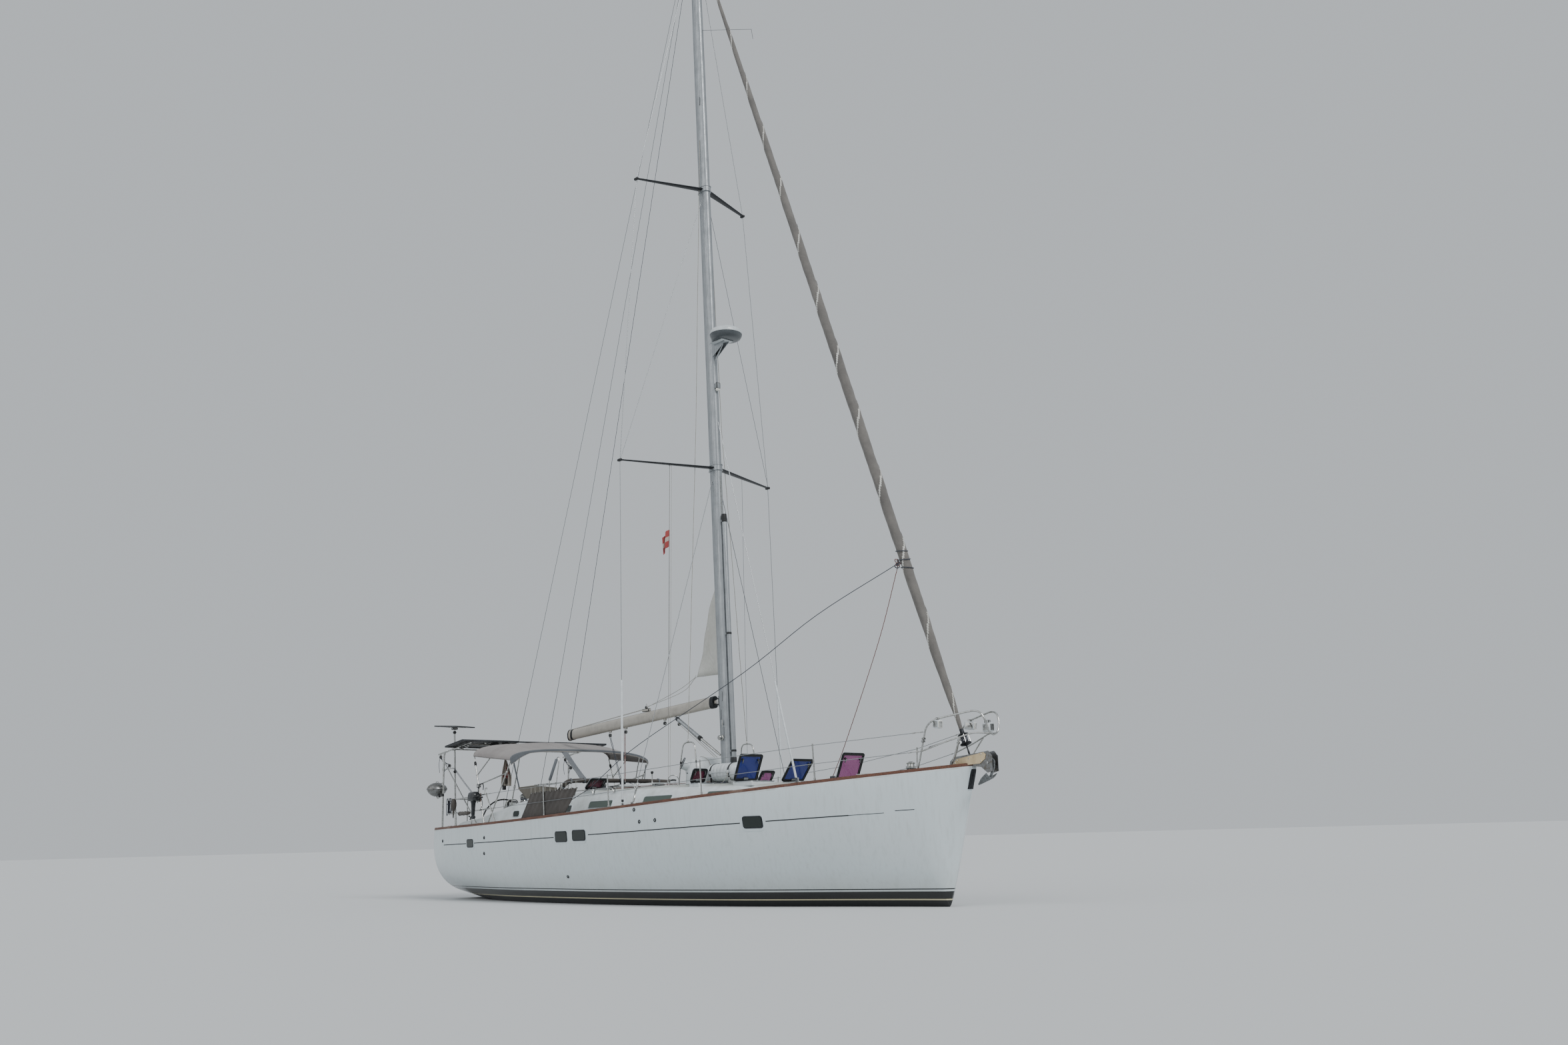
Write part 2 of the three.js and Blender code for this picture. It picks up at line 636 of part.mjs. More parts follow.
function alongForestay(piece) {
  const direction = genoa.head.clone().sub(genoa.foot);
  const lean = THREE.MathUtils.radToDeg(Math.atan2(direction.x, direction.z));
  return piece.rotate([0, lean, 0]).translate([genoa.foot.x, 0, genoa.foot.z]);
}

// The rolled sail and its drum, as rows of radius and height along the forestay
function makeFurledGenoa() {
  const length = genoa.head.distanceTo(genoa.foot);
  const roll = turned([
    [0, 400], [30, 400], [36, 520], [58, 900], [80, 2000], [92, 4500], [90, 8000],
    [78, 11500], [58, 14500], [34, 17000], [16, 18200], [16, length - 12], [0, length - 12],
  ], 10);
  const top = box(-2000, 2000, -500, 500, mast.head - 150 - gap, mast.head + 500);
  return alongForestay(roll).subtract(top);
}

function makeFurlerDrum() {
  const drum = turned([
    [0, -240], [12, -240], [12, 120], [30, 130], [90, 150], [92, 162], [45, 175], [45, 285],
    [86, 296], [88, 308], [34, 330], [34, 400 - gap], [0, 400 - gap],
  ], 16);
  const bedTop = box(6000, 8000, -500, 500, 0, rollerBedTop + gap);
  return alongForestay(drum).subtract(bedTop);
}

function makeInnerStay() {
  const footX = 2920;
  const foot = vec(footX, 0, surfaceZ(footX, 0) - footDepth);
  const head = mastAt(9190, mast.chord / 2 - 20);
  const direction = head.clone().sub(foot).normalize();
  const cover = rod(foot.clone().addScaledVector(direction, 70), foot.clone().addScaledVector(direction, 1900), 20, 10);
  return onDeck(join([rod(foot, head, 7, 6), cover]).subtract(mastCore));
}

const boomSpec = { front: 640, back: -4270, frontZ: 3640, backZ: 3362, high: 215, wide: 130 };
const boomPin = { back: 60, radius: 12, eye: 34, eyeHalf: 40, lug: 18 };
const boomPivot = { x: mastX(boomSpec.frontZ) - mast.chord / 2 - boomPin.back, z: boomSpec.frontZ };

// Turned about the pin's own axis, which leans with the mast
function onBoomPin(piece) {
  return piece.rotate([0, -mast.rakeDeg, 0]).translate([boomPivot.x, 0, boomPivot.z]);
}

function pinBarrel(radius, half) {
  return turned([[0, -half], [radius, -half], [radius, half], [0, half]], 24);
}

function makeBoom() {
  const b = boomSpec;
  const body = loft([b.front, b.back].map((x, i) => {
    const z = i === 0 ? b.frontZ : b.backZ;
    return ovalShape(b.wide, b.high, 12).getPoints().slice(0, 12).map((p) => vec(x, p.x, z + p.y));
  }));
  const neck = box(b.front - 30, boomPivot.x, -22, 22, b.frontZ - 36, b.frontZ + 36);
  const eye = onBoomPin(pinBarrel(boomPin.eye, boomPin.eyeHalf));
  return join([body, neck, eye]).subtract(onBoomPin(pinBarrel(boomPin.radius + boreClearance, 100)));
}

function makeGooseneck() {
  const reach = boomPin.back + 40;
  const clear = boomPin.eyeHalf + 5;
  const lugs = [clear, -clear - boomPin.lug].map((low) => box(-38, reach, -38, 38, low, low + boomPin.lug));
  const pad = box(reach - 34, reach, -38, 38, -clear - 1, clear + 1);
  const pin = pinBarrel(boomPin.radius, clear + boomPin.lug);
  return onBoomPin(join([...lugs, pad, pin])).subtract(mastCore);
}

function makeVang() {
  const top = vec(-560, 0, 3500);
  const bottom = vec(mastX(vangFootZ) - mast.chord / 2 - boomPin.back, 0, vangFootZ);
  const direction = bottom.clone().sub(top);
  const middle = top.clone().addScaledVector(direction, 0.55);
  const tubes = join([rod(top, middle, 38, 10), rod(middle.clone().addScaledVector(direction, -0.04), bottom, 27, 10)]);
  return tubes.subtract(makeBoom().translate([0, 0, -gap]));
}

function makeWhiskerPole() {
  const forward = mast.chord / 2 + 62;
  const spar = rod(mastAt(2420, forward), mastAt(7230, forward), 46, 12);
  const clamps = [2700, 4900, 7100].map((z) => box(mastX(z) + 120, mastX(z) + forward, -22, 22, z - 25, z + 25));
  return join([spar, ...clamps]).subtract(mastCore);
}

function makeMainClew() {
  const outline = [
    [mastX(5890) - mast.chord / 2 - 1, 5890], [mastX(4150) - mast.chord / 2 - 1, 4150], [70, 4170],
  ];
  const forward = 60;
  const reach = outline.map(([x, z], i) => [i < 2 ? x + forward : x, z]);
  return uprightPlate(reach, 8, 0).subtract(mastCore);
}

// Radar dome on the bracket that holds it off the mast
function makeRadar() {
  const z = 10700;
  const front = mastX(z) + mast.chord / 2;
  const arm = box(front - 60, front + 330, -60, 60, z - 20, z + 20);
  const seat = box(front + 20, front + 400, -150, 150, z + 18, z + 42);
  const strut = rod(vec(front - 30, 0, z - 330), vec(front + 250, 0, z), 16, 6);
  const dome = turned([[0, 0], [230, 0], [300, 40], [320, 120], [300, 185], [200, 235], [0, 255]], 20)
    .translate([front + 345, 0, z + 40]);
  return join([arm, seat, strut, dome]).subtract(mastCore);
}

// Bow gear
function makeBowRoller() {
  const cheek = [[6520, 2070], [6560, 2200], [6640, 2260], [7140, 2300], [7330, 2320], [7400, 2240], [7400, 2010],
    [7300, 1990], [7180, 2080], [7030, 2100], [7010, 2165], [6862, 2165], [6860, 2075]];
  const cheeks = [-70, 70].map((y) => uprightPlate(cheek, 12, y));
  const bed = box(6560, 7270, -70, 70, rollerBedTop - 20, rollerBedTop);
  const wheel = rod(vec(7320, -70, rollerBedTop - 45), vec(7320, 70, rollerBedTop - 45), 45, 12);
  const clearToe = join([...cheeks, bed, wheel]);
  return onDeck(clearToe).subtract(toeRail.translate([0, 0, gap])).subtract(hullBody.translate([0, 0, gap]));
}

// Plough anchor: shank on the roller's bed beside the forestay, flukes hung under the roller
function makeAnchor() {
  const side = -38;
  const low = rollerBedTop + gap;
  const shank = uprightPlate([
    [6620, low], [7345, low], [7378, 2140], [7378, 2090], [7310, 1925], [7350, 1915], [7418, 2085],
    [7418, low - 10], [7360, low + 38], [6620, low + 30],
  ], 20, side);
  const flukes = loft([
    { x: 7080, half: 8, lowZ: 1810, wingZ: 1820, highZ: 1826 },
    { x: 7200, half: 85, lowZ: 1846, wingZ: 1892, highZ: 1874 },
    { x: 7350, half: 125, lowZ: 1895, wingZ: 1972, highZ: 1930 },
  ].map((row) => [
    vec(row.x, side, row.lowZ), vec(row.x, side - row.half, row.wingZ),
    vec(row.x, side, row.highZ), vec(row.x, side + row.half, row.wingZ),
  ]));
  return join([shank, flukes]);
}

function makeWindlass() {
  const z = deckTop(5650, 0);
  const body = turned([[0, -footDepth], [130, -footDepth], [130, 30], [95, 45], [95, 60], [60, 75], [60, 120],
    [85, 135], [85, 190], [40, 215], [0, 215]], 16).translate([5650, 0, z]);
  return onDeck(body);
}

// The aft leg of the pulpit, by height above the deck
function pulpitLeg(side, height) {
  const foot = vec(6160, side * 400, deckTop(6160, 400));
  const top = vec(6410, side * 428, foot.z + 690);
  return foot.clone().lerp(top, height / 690);
}

function makePulpit(grow = 0) {
  const half = (side) => [
    tube([
      pulpitLeg(side, -footDepth), pulpitLeg(side, 400), pulpitLeg(side, 690), vec(6560, side * 410, 2840),
      vec(7200, side * 215, 2935), vec(7330, side * 190, 2900), vec(7390, side * 160, 2760),
      vec(7400, side * 110, 2600), vec(7395, side * -6, 2558),
    ], 14 + grow, 15, 6),
    tube([pulpitLeg(side, 310), vec(6700, side * 350, 2480), vec(7150, side * 200, 2600),
      vec(7392, side * 80, 2580)], 12, 5, 6),
    rod(vec(6640, side * 160, deckTop(6640, 160) - footDepth), vec(6960, side * 275, 2545), 12, 6),
  ];
  return onDeck(join([...half(-1), ...half(1)]));
}

// Guard rails: stanchions, two wires a side
const wireHeights = [310, 605];
const stanchionInset = 95;
const leanOut = 35;

function stanchionFoot(x, side) {
  const y = between(hullTable, 'half', x) - stanchionInset;
  return vec(x, side * y, deckTop(x, y));
}

function makeLifelines(side, grow = 0) {
  const rows = stanchionX.map((x) => stanchionFoot(x, side));
  const posts = rows.map((foot) => {
    const low = foot.clone().add(vec(0, 0, -footDepth));
    const top = foot.clone().add(vec(0, side * leanOut, 620));
    return rod(low, top, 13 + grow, 6);
  });
  const sockets = rows.map((foot) => (
    rod(foot.clone().add(vec(0, 0, -footDepth)), foot.clone().add(vec(0, side * 6, 90)), 19, 6)));
  const wires = wireHeights.map((height) => {
    const lean = side * leanOut * height / 620;
    const middle = rows.map((foot) => foot.clone().add(vec(0, lean, height)));
    const start = pushpitLeg(side, height);
    const last = pulpitLeg(side, height);
    return pipe([start, ...middle, last], 5 + grow, 5);
  });
  return onDeck(join([...posts, ...sockets, ...wires])).subtract(join([makePushpit(side, gap), makePulpit(gap)]));
}

// The leaning leg at the front end of the pushpit
function pushpitLeg(side, height) {
  const foot = vec(-3960, side * 1950, deckTop(-3960, 1950));
  const top = vec(-4380, side * 1945, foot.z + 620);
  return foot.clone().lerp(top, height / 620);
}

function makePushpit(side, grow = 0) {
  const corner = vec(-6560, side * 1640, deckTop(-6560, 1640));
  const inner = vec(-6800, side * 1000, deckTop(-6800, 1000));
  const up = (p, h) => p.clone().add(vec(0, 0, h));
  const rails = wireHeights.map((h) => tube([
    pushpitLeg(side, h), up(vec(-5045, side * 1880, deckTop(-5045, 1880)), h), up(vec(-5900, side * 1780, corner.z), h),
    up(vec(-6420, side * 1690, corner.z), h), up(vec(-6700, side * 1500, inner.z), h), up(inner, h),
  ], 13 + grow, 8, 6));
  const legs = [
    rod(pushpitLeg(side, -footDepth), pushpitLeg(side, 625), 13 + grow, 6),
    rod(up(vec(-5045, side * 1880, deckTop(-5045, 1880)), -footDepth), up(vec(-5045, side * 1880, 1490), 640), 14, 6),
    rod(up(vec(-5900, side * 1755, deckTop(-5900, 1755)), -footDepth), up(vec(-5900, side * 1780, corner.z), 330), 12, 6),
    rod(up(inner, -footDepth), up(inner, 632), 13, 6),
  ];
  return onDeck(join([...rails, ...legs]));
}

// Stern arch: two upright legs, each bent forward into a rail under the solar panels
const arch = {
  x: -6800, foot: 1600, half: 1615, bendZ: 2990, tube: 20,
  railBack: -7010, railFront: -5580, railRadius: 18, crossX: [-6400, -5800], crossRadius: 15,
  brace: { top: 2950, footX: -4900, footY: 1815, radius: 13 },
};
const panels = { back: -6330, front: -5570, half: 1850, backZ: 3190, slope: 0.125, thick: 36 };

// Height of the panels' underside
function rackZ(x) {
  return panels.backZ + (x - panels.back) * panels.slope;
}

function makeArch(grow = 0) {
  const railZ = (x) => rackZ(x) - arch.railRadius + 1;
  const half = (side) => {
    const at = (x, z) => vec(x, side * arch.half, z);
    const { top, footX, footY, radius } = arch.brace;
    return [
      pipe([
        vec(arch.x, side * arch.foot, deckTop(arch.x, arch.foot) - footDepth), at(arch.x, arch.bendZ),
        at(arch.x + 25, arch.bendZ + 85), at(arch.x + 130, railZ(arch.x + 130)),
      ], arch.tube + grow, 8),
      rod(at(arch.railBack, railZ(arch.railBack)), at(arch.railFront, railZ(arch.railFront)), arch.railRadius + grow, 8),
      rod(at(arch.x, top), vec(footX, side * footY, deckTop(footX, footY) - footDepth), radius, 6),
    ];
  };
  const cross = arch.crossX.map((x) => (
    rod(vec(x, -arch.half, railZ(x)), vec(x, arch.half, railZ(x)), arch.crossRadius + grow, 6)));
  return onDeck(join([...half(-1), ...half(1), ...cross]));
}

function makeSolarPanels() {
  const p = panels;
  const backstayNotch = box(-5860, p.front + 1, -460, 460, 3000, 3600);
  return loft([p.back, p.front].map((x) => [
    vec(x, -p.half, rackZ(x)), vec(x, p.half, rackZ(x)),
    vec(x, p.half, rackZ(x) + p.thick), vec(x, -p.half, rackZ(x) + p.thick),
  ])).subtract(makeArch(gap)).subtract(backstayNotch);
}

function makeSolarPost() {
  const foot = vec(-6560, -1410, deckTop(-6560, 1410) - footDepth);
  const top = vec(-6560, -1500, 3640);
  const post = rod(foot, top, 20, 8);
  const head = box(-6620, -6500, -1560, -1440, 3600, 3676);
  const slab = roundedBox(-7010, -6110, -1830, -1170, 0, 26, 20).translate([6560, 1500, 0])
    .rotate([0, 4, 0]).rotate([0, 0, 12]).translate([-6560, -1500, 3665]);
  return onDeck(join([post, head, slab]));
}

// Cockpit shade: a frame of hoops and a canopy stretched over it
const shade = {
  half: 1745, fullness: 2.7, cloth: 16, tube: 13,
  bows: [
    { x: -5300, side: 2940, crown: 3260, inward: 14 },
    { x: -4650, side: 2865, crown: 3240, inward: 0 },
    { x: -3800, side: 2775, crown: 3045, inward: -14 },
  ],
  deckFoot: { y: 1750, back: -4760, front: -4620 },
  forkZ: 2540, tieZ: { back: 2340, front: 2530 },
  pole: { y: 1500, top: 2912, footX: -4120 },
};
const hoopInset = shade.cloth + shade.tube + 1.4;

// A bow's outline from side to side, moved inwards at right angles by the offset
function bowPoints(bow, offset) {
  const steps = 10;
  const rise = bow.crown - bow.side;
  const blunt = 2 / shade.fullness;
  return Array.from({ length: steps + 1 }, (_, i) => {
    const turn = (i / steps) * Math.PI;
    const [across, up] = [-Math.cos(turn), Math.max(0, Math.sin(turn))];
    const side = Math.sign(across);
    const out = vec(0, side * Math.abs(across) ** (2 - blunt) / shade.half, up ** (2 - blunt) / rise).normalize();
    return vec(bow.x, side * shade.half * Math.abs(across) ** blunt, bow.side + rise * up ** blunt)
      .sub(out.multiplyScalar(offset));
  });
}

function makeCanopy() {
  return shell(shade.bows.map((bow) => bowPoints(bow, 0)), shade.bows.map((bow) => bowPoints(bow, shade.cloth)));
}

function makeShadeFrame() {
  const [backBow, middleBow, frontBow] = shade.bows;
  const hoops = shade.bows.map((bow) => (
    pipe(bowPoints(bow, hoopInset).map((p) => p.add(vec(bow.inward, 0, 0))), shade.tube, 6)));
  const struts = [-1, 1].flatMap((side) => {
    const { deckFoot, forkZ, tieZ, pole } = shade;
    const endOf = (bow) => vec(bow.x + bow.inward, side * (shade.half - hoopInset), bow.side);
    const footAt = (x) => vec(x, side * deckFoot.y, deckTop(x, deckFoot.y) - footDepth);
    const leg = (bow, x) => (z) => {
      const [top, foot] = [endOf(bow), footAt(x)];
      return top.lerp(foot, (z - top.z) / (foot.z - top.z));
    };
    const [backLeg, frontLeg] = [leg(backBow, deckFoot.back), leg(frontBow, deckFoot.front)];
    const poleFootZ = between(coamingTable, 'topZ', pole.footX) - footDepth;
    const runs = [
      [endOf(backBow), footAt(deckFoot.back)],
      [endOf(middleBow), backLeg(forkZ)],
      [endOf(frontBow), footAt(deckFoot.front)],
      [backLeg(tieZ.back), frontLeg(tieZ.front)],
      [vec(endOf(frontBow).x, side * pole.y, pole.top), vec(pole.footX, side * pole.y, poleFootZ)],
    ];
    return runs.map(([from, to]) => rod(from, to, shade.tube, 6));
  });
  return onDeck(join([...hoops, ...struts]));
}

// Weather cloth laced inside the guard rail beside the cockpit: x and height of its four corners
const clothRows = [
  { x: -2900, low: 1600, high: 1620 }, { x: -2480, low: 1610, high: 2080 },
  { x: stanchionX[0], low: 1635, high: 2093 }, { x: -1300, low: 1670, high: 2110 },
  { x: -850, low: 2085, high: 2115 },
];

function railY(x, z) {
  const lean = leanOut * (z - deckTop(x, between(hullTable, 'half', x) - stanchionInset)) / 620;
  return -(between(hullTable, 'half', x) - stanchionInset + lean);
}

function makeSideCloth() {
  const inside = 12;
  return loft(clothRows.map((row) => [
    vec(row.x, railY(row.x, row.low) + inside + 8, row.low), vec(row.x, railY(row.x, row.low) + inside, row.low),
    vec(row.x, railY(row.x, row.high) + inside, row.high), vec(row.x, railY(row.x, row.high) + inside + 8, row.high),
  ])).subtract(makeLifelines(-1, gap));
}

// The spray hood folded flat across the aft end of the coachroof, its side panel hanging to starboard
const foldedHood = {
  radius: 56,
  path: [[-2760, 1330, 2010], [-2440, 1290, 2262], [-2365, 1120, 2306], [-2360, 600, 2316]],
  panel: [
    { x: -3900, y: 1470, low: 2222, high: 2236 }, { x: -3600, y: 1458, low: 2003, high: 2246 },
    { x: -3350, y: 1440, low: 2025, high: 2255 }, { x: -2640, y: 1352, low: 2060, high: 2180 },
  ],
  panelThick: 14,
};

function makeFoldedHood() {
  const h = foldedHood;
  const half = (side) => h.path.map(([x, y, z]) => vec(x, side * y, z));
  const roll = pipe([...half(-1), ...half(1).reverse()], h.radius, 8);
  const panel = loft(h.panel.map((row) => [
    vec(row.x, -row.y - h.panelThick / 2, row.low), vec(row.x, -row.y + h.panelThick / 2, row.low),
    vec(row.x, -row.y + h.panelThick / 2, row.high), vec(row.x, -row.y - h.panelThick / 2, row.high),
  ]));
  return onDeck(join([roll, panel]));
}

// Helm
const wheelSpec = { x: -5260, y: 1000, z: 1530, radius: 520, shaft: 16 };

function wheelBore(side) {
  const w = wheelSpec;
  return turned([[0, -80], [w.shaft + boreClearance, -80], [w.shaft + boreClearance, 60], [0, 60]], 16)
    .rotate([0, 90, 0]).translate([w.x + 130, side * w.y, w.z]);
}

function makePedestal(side) {
  const w = wheelSpec;
  const y = side * w.y;
  const sole = cockpit.soleZ + gap;
  const column = loft([
    { z: sole, half: 150, x0: w.x + 80, x1: w.x + 380 },
    { z: 1500, half: 120, x0: w.x + 70, x1: w.x + 300 },
    { z: 1760, half: 130, x0: w.x + 60, x1: w.x + 330 },
  ].map((row) => [
    vec(row.x0, y - row.half, row.z), vec(row.x1, y - row.half * 0.8, row.z),
    vec(row.x1, y + row.half * 0.8, row.z), vec(row.x0, y + row.half, row.z),
  ]));
  const dome = turned([[0, 0], [95, 0], [95, 60], [70, 120], [0, 140]], 12).translate([w.x + 200, y, 1750]);
  const guard = tube([
    vec(w.x + 350, y - 170, sole), vec(w.x + 350, y - 170, 1800), vec(w.x + 350, y - 120, 2030),
    vec(w.x + 350, y + 120, 2030), vec(w.x + 350, y + 170, 1800), vec(w.x + 350, y + 170, sole),
  ], 12, 12, 6);
  const step = box(w.x + 290, w.x + 362, y - 180, y + 180, 1640, 1668);
  return join([column, dome, guard, step]).subtract(wheelBore(side));
}

function makeWheel(side) {
  const w = wheelSpec;
  const rimCurve = new THREE.EllipseCurve(0, 0, w.radius, w.radius, 0, Math.PI * 2);
  const rimPoints = rimCurve.getPoints(20).slice(0, 20);
  const rings = 5;
  const rim = ringTube(rimPoints, 15, rings);
  const spokes = [0, 72, 144, 216, 288].map((turn) => (
    rod(vec(0, 0, 30), vec(0, 0, w.radius), 8, 5).rotate([turn, 0, 0])));
  const hub = turned([[0, -25], [50, -25], [50, 25], [w.shaft, 25], [w.shaft, 170], [0, 170]], 16).rotate([0, 90, 0]);
  return join([rim, hub, ...spokes]).translate([w.x, side * w.y, w.z]);
}

// A closed ring of round section in the plane across X, through flat points
function ringTube(points, radius, sides) {
  const rows = points.map((p) => {
    const out = p.clone().normalize();
    return Array.from({ length: sides }, (_, i) => {
      const turn = (i / sides) * Math.PI * 2;
      const reach = p.length() + Math.cos(turn) * radius;
      return vec(Math.sin(turn) * radius, out.x * reach, out.y * reach);
    });
  });
  const places = rows.flat();
  const faces = [];
  for (let r = 0; r < rows.length; r += 1) {
    const nextRow = (r + 1) % rows.length;
    for (let i = 0; i < sides; i += 1) {
      const next = (i + 1) % sides;
      const [a, b] = [r * sides + i, r * sides + next];
      const [c, d] = [nextRow * sides + next, nextRow * sides + i];
      faces.push(a, b, c, a, c, d);
    }
  }
  return closed(places, faces);
}

function makeTable() {
  const z = cockpit.soleZ + gap;
  const trunk = box(-4150, -2950, -90, 90, z, z + 640);
  const top = roundedBox(-4250, -2850, -210, 210, z + 640 - 2, z + 680, 40);
  return join([trunk, top]);
}

// Bars beside the mast, an upright hoop each with a lower one inboard
function makeGrannyBars(side) {
  const y = 700;
  const base = (x, out) => vec(x, side * out, surfaceZ(x, out) - footDepth);
  const hoop = tube([
    base(520, 760), vec(540, side * 730, 2500), vec(580, side * 710, 2800), vec(640, side * y, 2865),
    vec(860, side * y, 2865), vec(930, side * y, 2800), vec(990, side * 720, 2500), base(1030, 740),
  ], 13, 16, 6);
  return onDeck(hoop);
}

function makeLifeRaft() {
  const sides = 12;
  const rows = [
    { x: 1085, size: 0.55 }, { x: 1120, size: 0.85 }, { x: 1180, size: 1 }, { x: 1840, size: 1 },
    { x: 1900, size: 0.85 }, { x: 1935, size: 0.55 },
  ];
  const can = loft(rows.map((row) => Array.from({ length: sides }, (_, i) => {
    const turn = (i / sides) * Math.PI * 2;
    return vec(row.x, -420 + Math.cos(turn) * 190 * row.size, 2285 + Math.sin(turn) * 165 * row.size);
  })));
  const cradle = [1250, 1760].map((x) => box(x - 25, x + 25, -560, -280, 2020, 2180));
  return onDeck(join([can, ...cradle]));
}

function makeVentHood() {
  const z = surfaceZ(680, -480);
  const hood = turned([[0, -footDepth], [185, -footDepth], [190, 60], [185, 260], [140, 400], [70, 450], [0, 455]], 14)
    .translate([680, -480, z]);
  const mouth = rod(vec(520, -720, z + 400), vec(720, -420, z + 260), 80, 12);
  return onDeck(hood).subtract(mouth);
}

function makeStowedFender() {
  const body = turned([[0, -560], [90, -540], [210, -440], [250, -300], [250, 300], [210, 440], [90, 540], [0, 560]], 14)
    .rotate([90, 0, 0]).translate([330, 160, roofTop(330, 0) + 244]);
  return onDeck(body);
}

function makeBarbecue() {
  const body = turned([[0, 0], [90, 0], [165, 70], [190, 150], [175, 230], [90, 290], [0, 295]], 14)
    .translate([-7015, -1640, 2180]);
  const arm = rod(vec(-7015, -1640, 2200), vec(arch.x, -arch.half + 8, 2200), 12, 6);
  return join([body, arm]).subtract(makeArch(gap));
}

function makeOutboard() {
  const head = roundedBox(-4920, -4640, -2080, -1900, 2000, 2190, 50);
  const leg = box(-4820, -4740, -2040, -1960, 1640, 2010);
  const clamp = box(-4860, -4700, -1960, -1890, 2040, 2150);
  return join([head, leg, clamp]).subtract(makePushpit(-1, gap));
}

function makeLadder() {
  const { x, z, half, height } = ladder;
  const rails = [-half, half].map((y) => rod(vec(x, y, z), vec(x, y, z + height), 14, 8));
  const rungs = [0.28, 0.58, 0.88].map((share) => (
    rod(vec(x, -half, z + height * share), vec(x, half, z + height * share), 11, 6)));
  const hinge = rod(vec(x, -200 + gap, z), vec(x, 200 - gap, z), 11, 12);
  return join([...rails, ...rungs, hinge]);
}

const toeRail = makeToeRail();
const archSolid = makeArch();

const colours = {
  gelcoat: [0xe9ecee, 0.3, 0], timber: [0x6a4230, 0.6, 0], alloy: [0xc9ccce, 0.4, 0.6],
  dark: [0x2a2c2f, 0.5, 0.3], steel: [0xb9bdc2, 0.25, 0.9], sail: [0x8d877f, 0.9, 0],
  shade: [0x8c8783, 0.9, 0], cloth: [0x4d4845, 0.9, 0], panel: [0x14181f, 0.2, 0], white: [0xe4e6e8, 0.45, 0],
  lid: [0x2c3a6a, 0.2, 0], bronze: [0x9a7a44, 0.4, 0.8], antifoul: [0x17191c, 0.8, 0], boom: [0xcfc8bb, 0.5, 0],
};

const yacht = new THREE.Group();

function add(name, manifold, finish) {
  const [color, roughness, metalness] = colours[finish];
  const mesh = new THREE.Mesh(geometryOf(manifold), new THREE.MeshStandardMaterial({ color, roughness, metalness }));
  mesh.name = name;
  yacht.add(mesh);
}

add('hull', hull, 'gelcoat');
add('deck', deck, 'gelcoat');
add('cockpit', cockpitLining, 'gelcoat');
add('keel', makeKeel(), 'antifoul');
add('toe_rail', toeRail, 'timber');
add('drive_leg', makePropLeg(), 'dark');
add('propeller', makePropeller(), 'bronze');
add('rudder', makeRudder(), 'antifoul');
add('mast', makeMast(), 'alloy');
add('lower_spreaders', makeSpreaders(spreaderSpec.lower), 'dark');
add('upper_spreaders', makeSpreaders(spreaderSpec.upper), 'dark');
add('furled_genoa', makeFurledGenoa(), 'sail');
add('bow_roller', makeBowRoller(), 'steel');
add('furler_drum', makeFurlerDrum(), 'dark');
add('inner_stay', makeInnerStay(), 'steel');
add('boom', makeBoom(), 'boom');
add('gooseneck', makeGooseneck(), 'dark');
add('vang', makeVang(), 'alloy');
add('whisker_pole', makeWhiskerPole(), 'alloy');
add('main_clew', makeMainClew(), 'sail');
add('radar', makeRadar(), 'white');
add('anchor', makeAnchor(), 'steel');
add('windlass', makeWindlass(), 'steel');
add('bow_pulpit', makePulpit(), 'steel');
add('stern_arch', archSolid, 'steel');
add('solar_panels', makeSolarPanels(), 'panel');
add('solar_post', makeSolarPost(), 'panel');
add('shade_frame', makeShadeFrame(), 'steel');
add('shade_canopy', makeCanopy(), 'shade');
add('side_cloth', makeSideCloth(), 'cloth');
add('folded_hood', makeFoldedHood(), 'cloth');
add('cockpit_table', makeTable(), 'gelcoat');
add('life_raft', makeLifeRaft(), 'white');
add('vent_hood', makeVentHood(), 'white');
add('stowed_fender', makeStowedFender(), 'white');
add('barbecue', makeBarbecue(), 'dark');
add('outboard_motor', makeOutboard(), 'dark');
add('boarding_ladder', makeLadder(), 'steel');
for (const [label, side] of [['stbd', -1], ['port', 1]]) {
  add(`cap_shroud_${label}`, makeCapShroud(side), 'steel');
  add(`lower_shroud_${label}`, makeLowerShroud(side), 'steel');
  add(`backstay_${label}`, makeBackstay(side), 'steel');
  add(`lifelines_${label}`, makeLifelines(side), 'steel');
  add(`pushpit_${label}`, makePushpit(side), 'steel');
  add(`wheel_pedestal_${label}`, makePedestal(side), 'gelcoat');
  add(`steering_wheel_${label}`, makeWheel(side), 'dark');
  add(`granny_bars_${label}`, makeGrannyBars(side), 'steel');
}
for (const hatch of hatchTable) add(hatch.name, hatchLid(hatch), 'lid');

export default yacht;
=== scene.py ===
# Cruising sloop at anchor in calm light, seen from a low boat off its starboard bow
import math
import random

import bmesh
import bpy
from mathutils import Matrix, Vector, noise


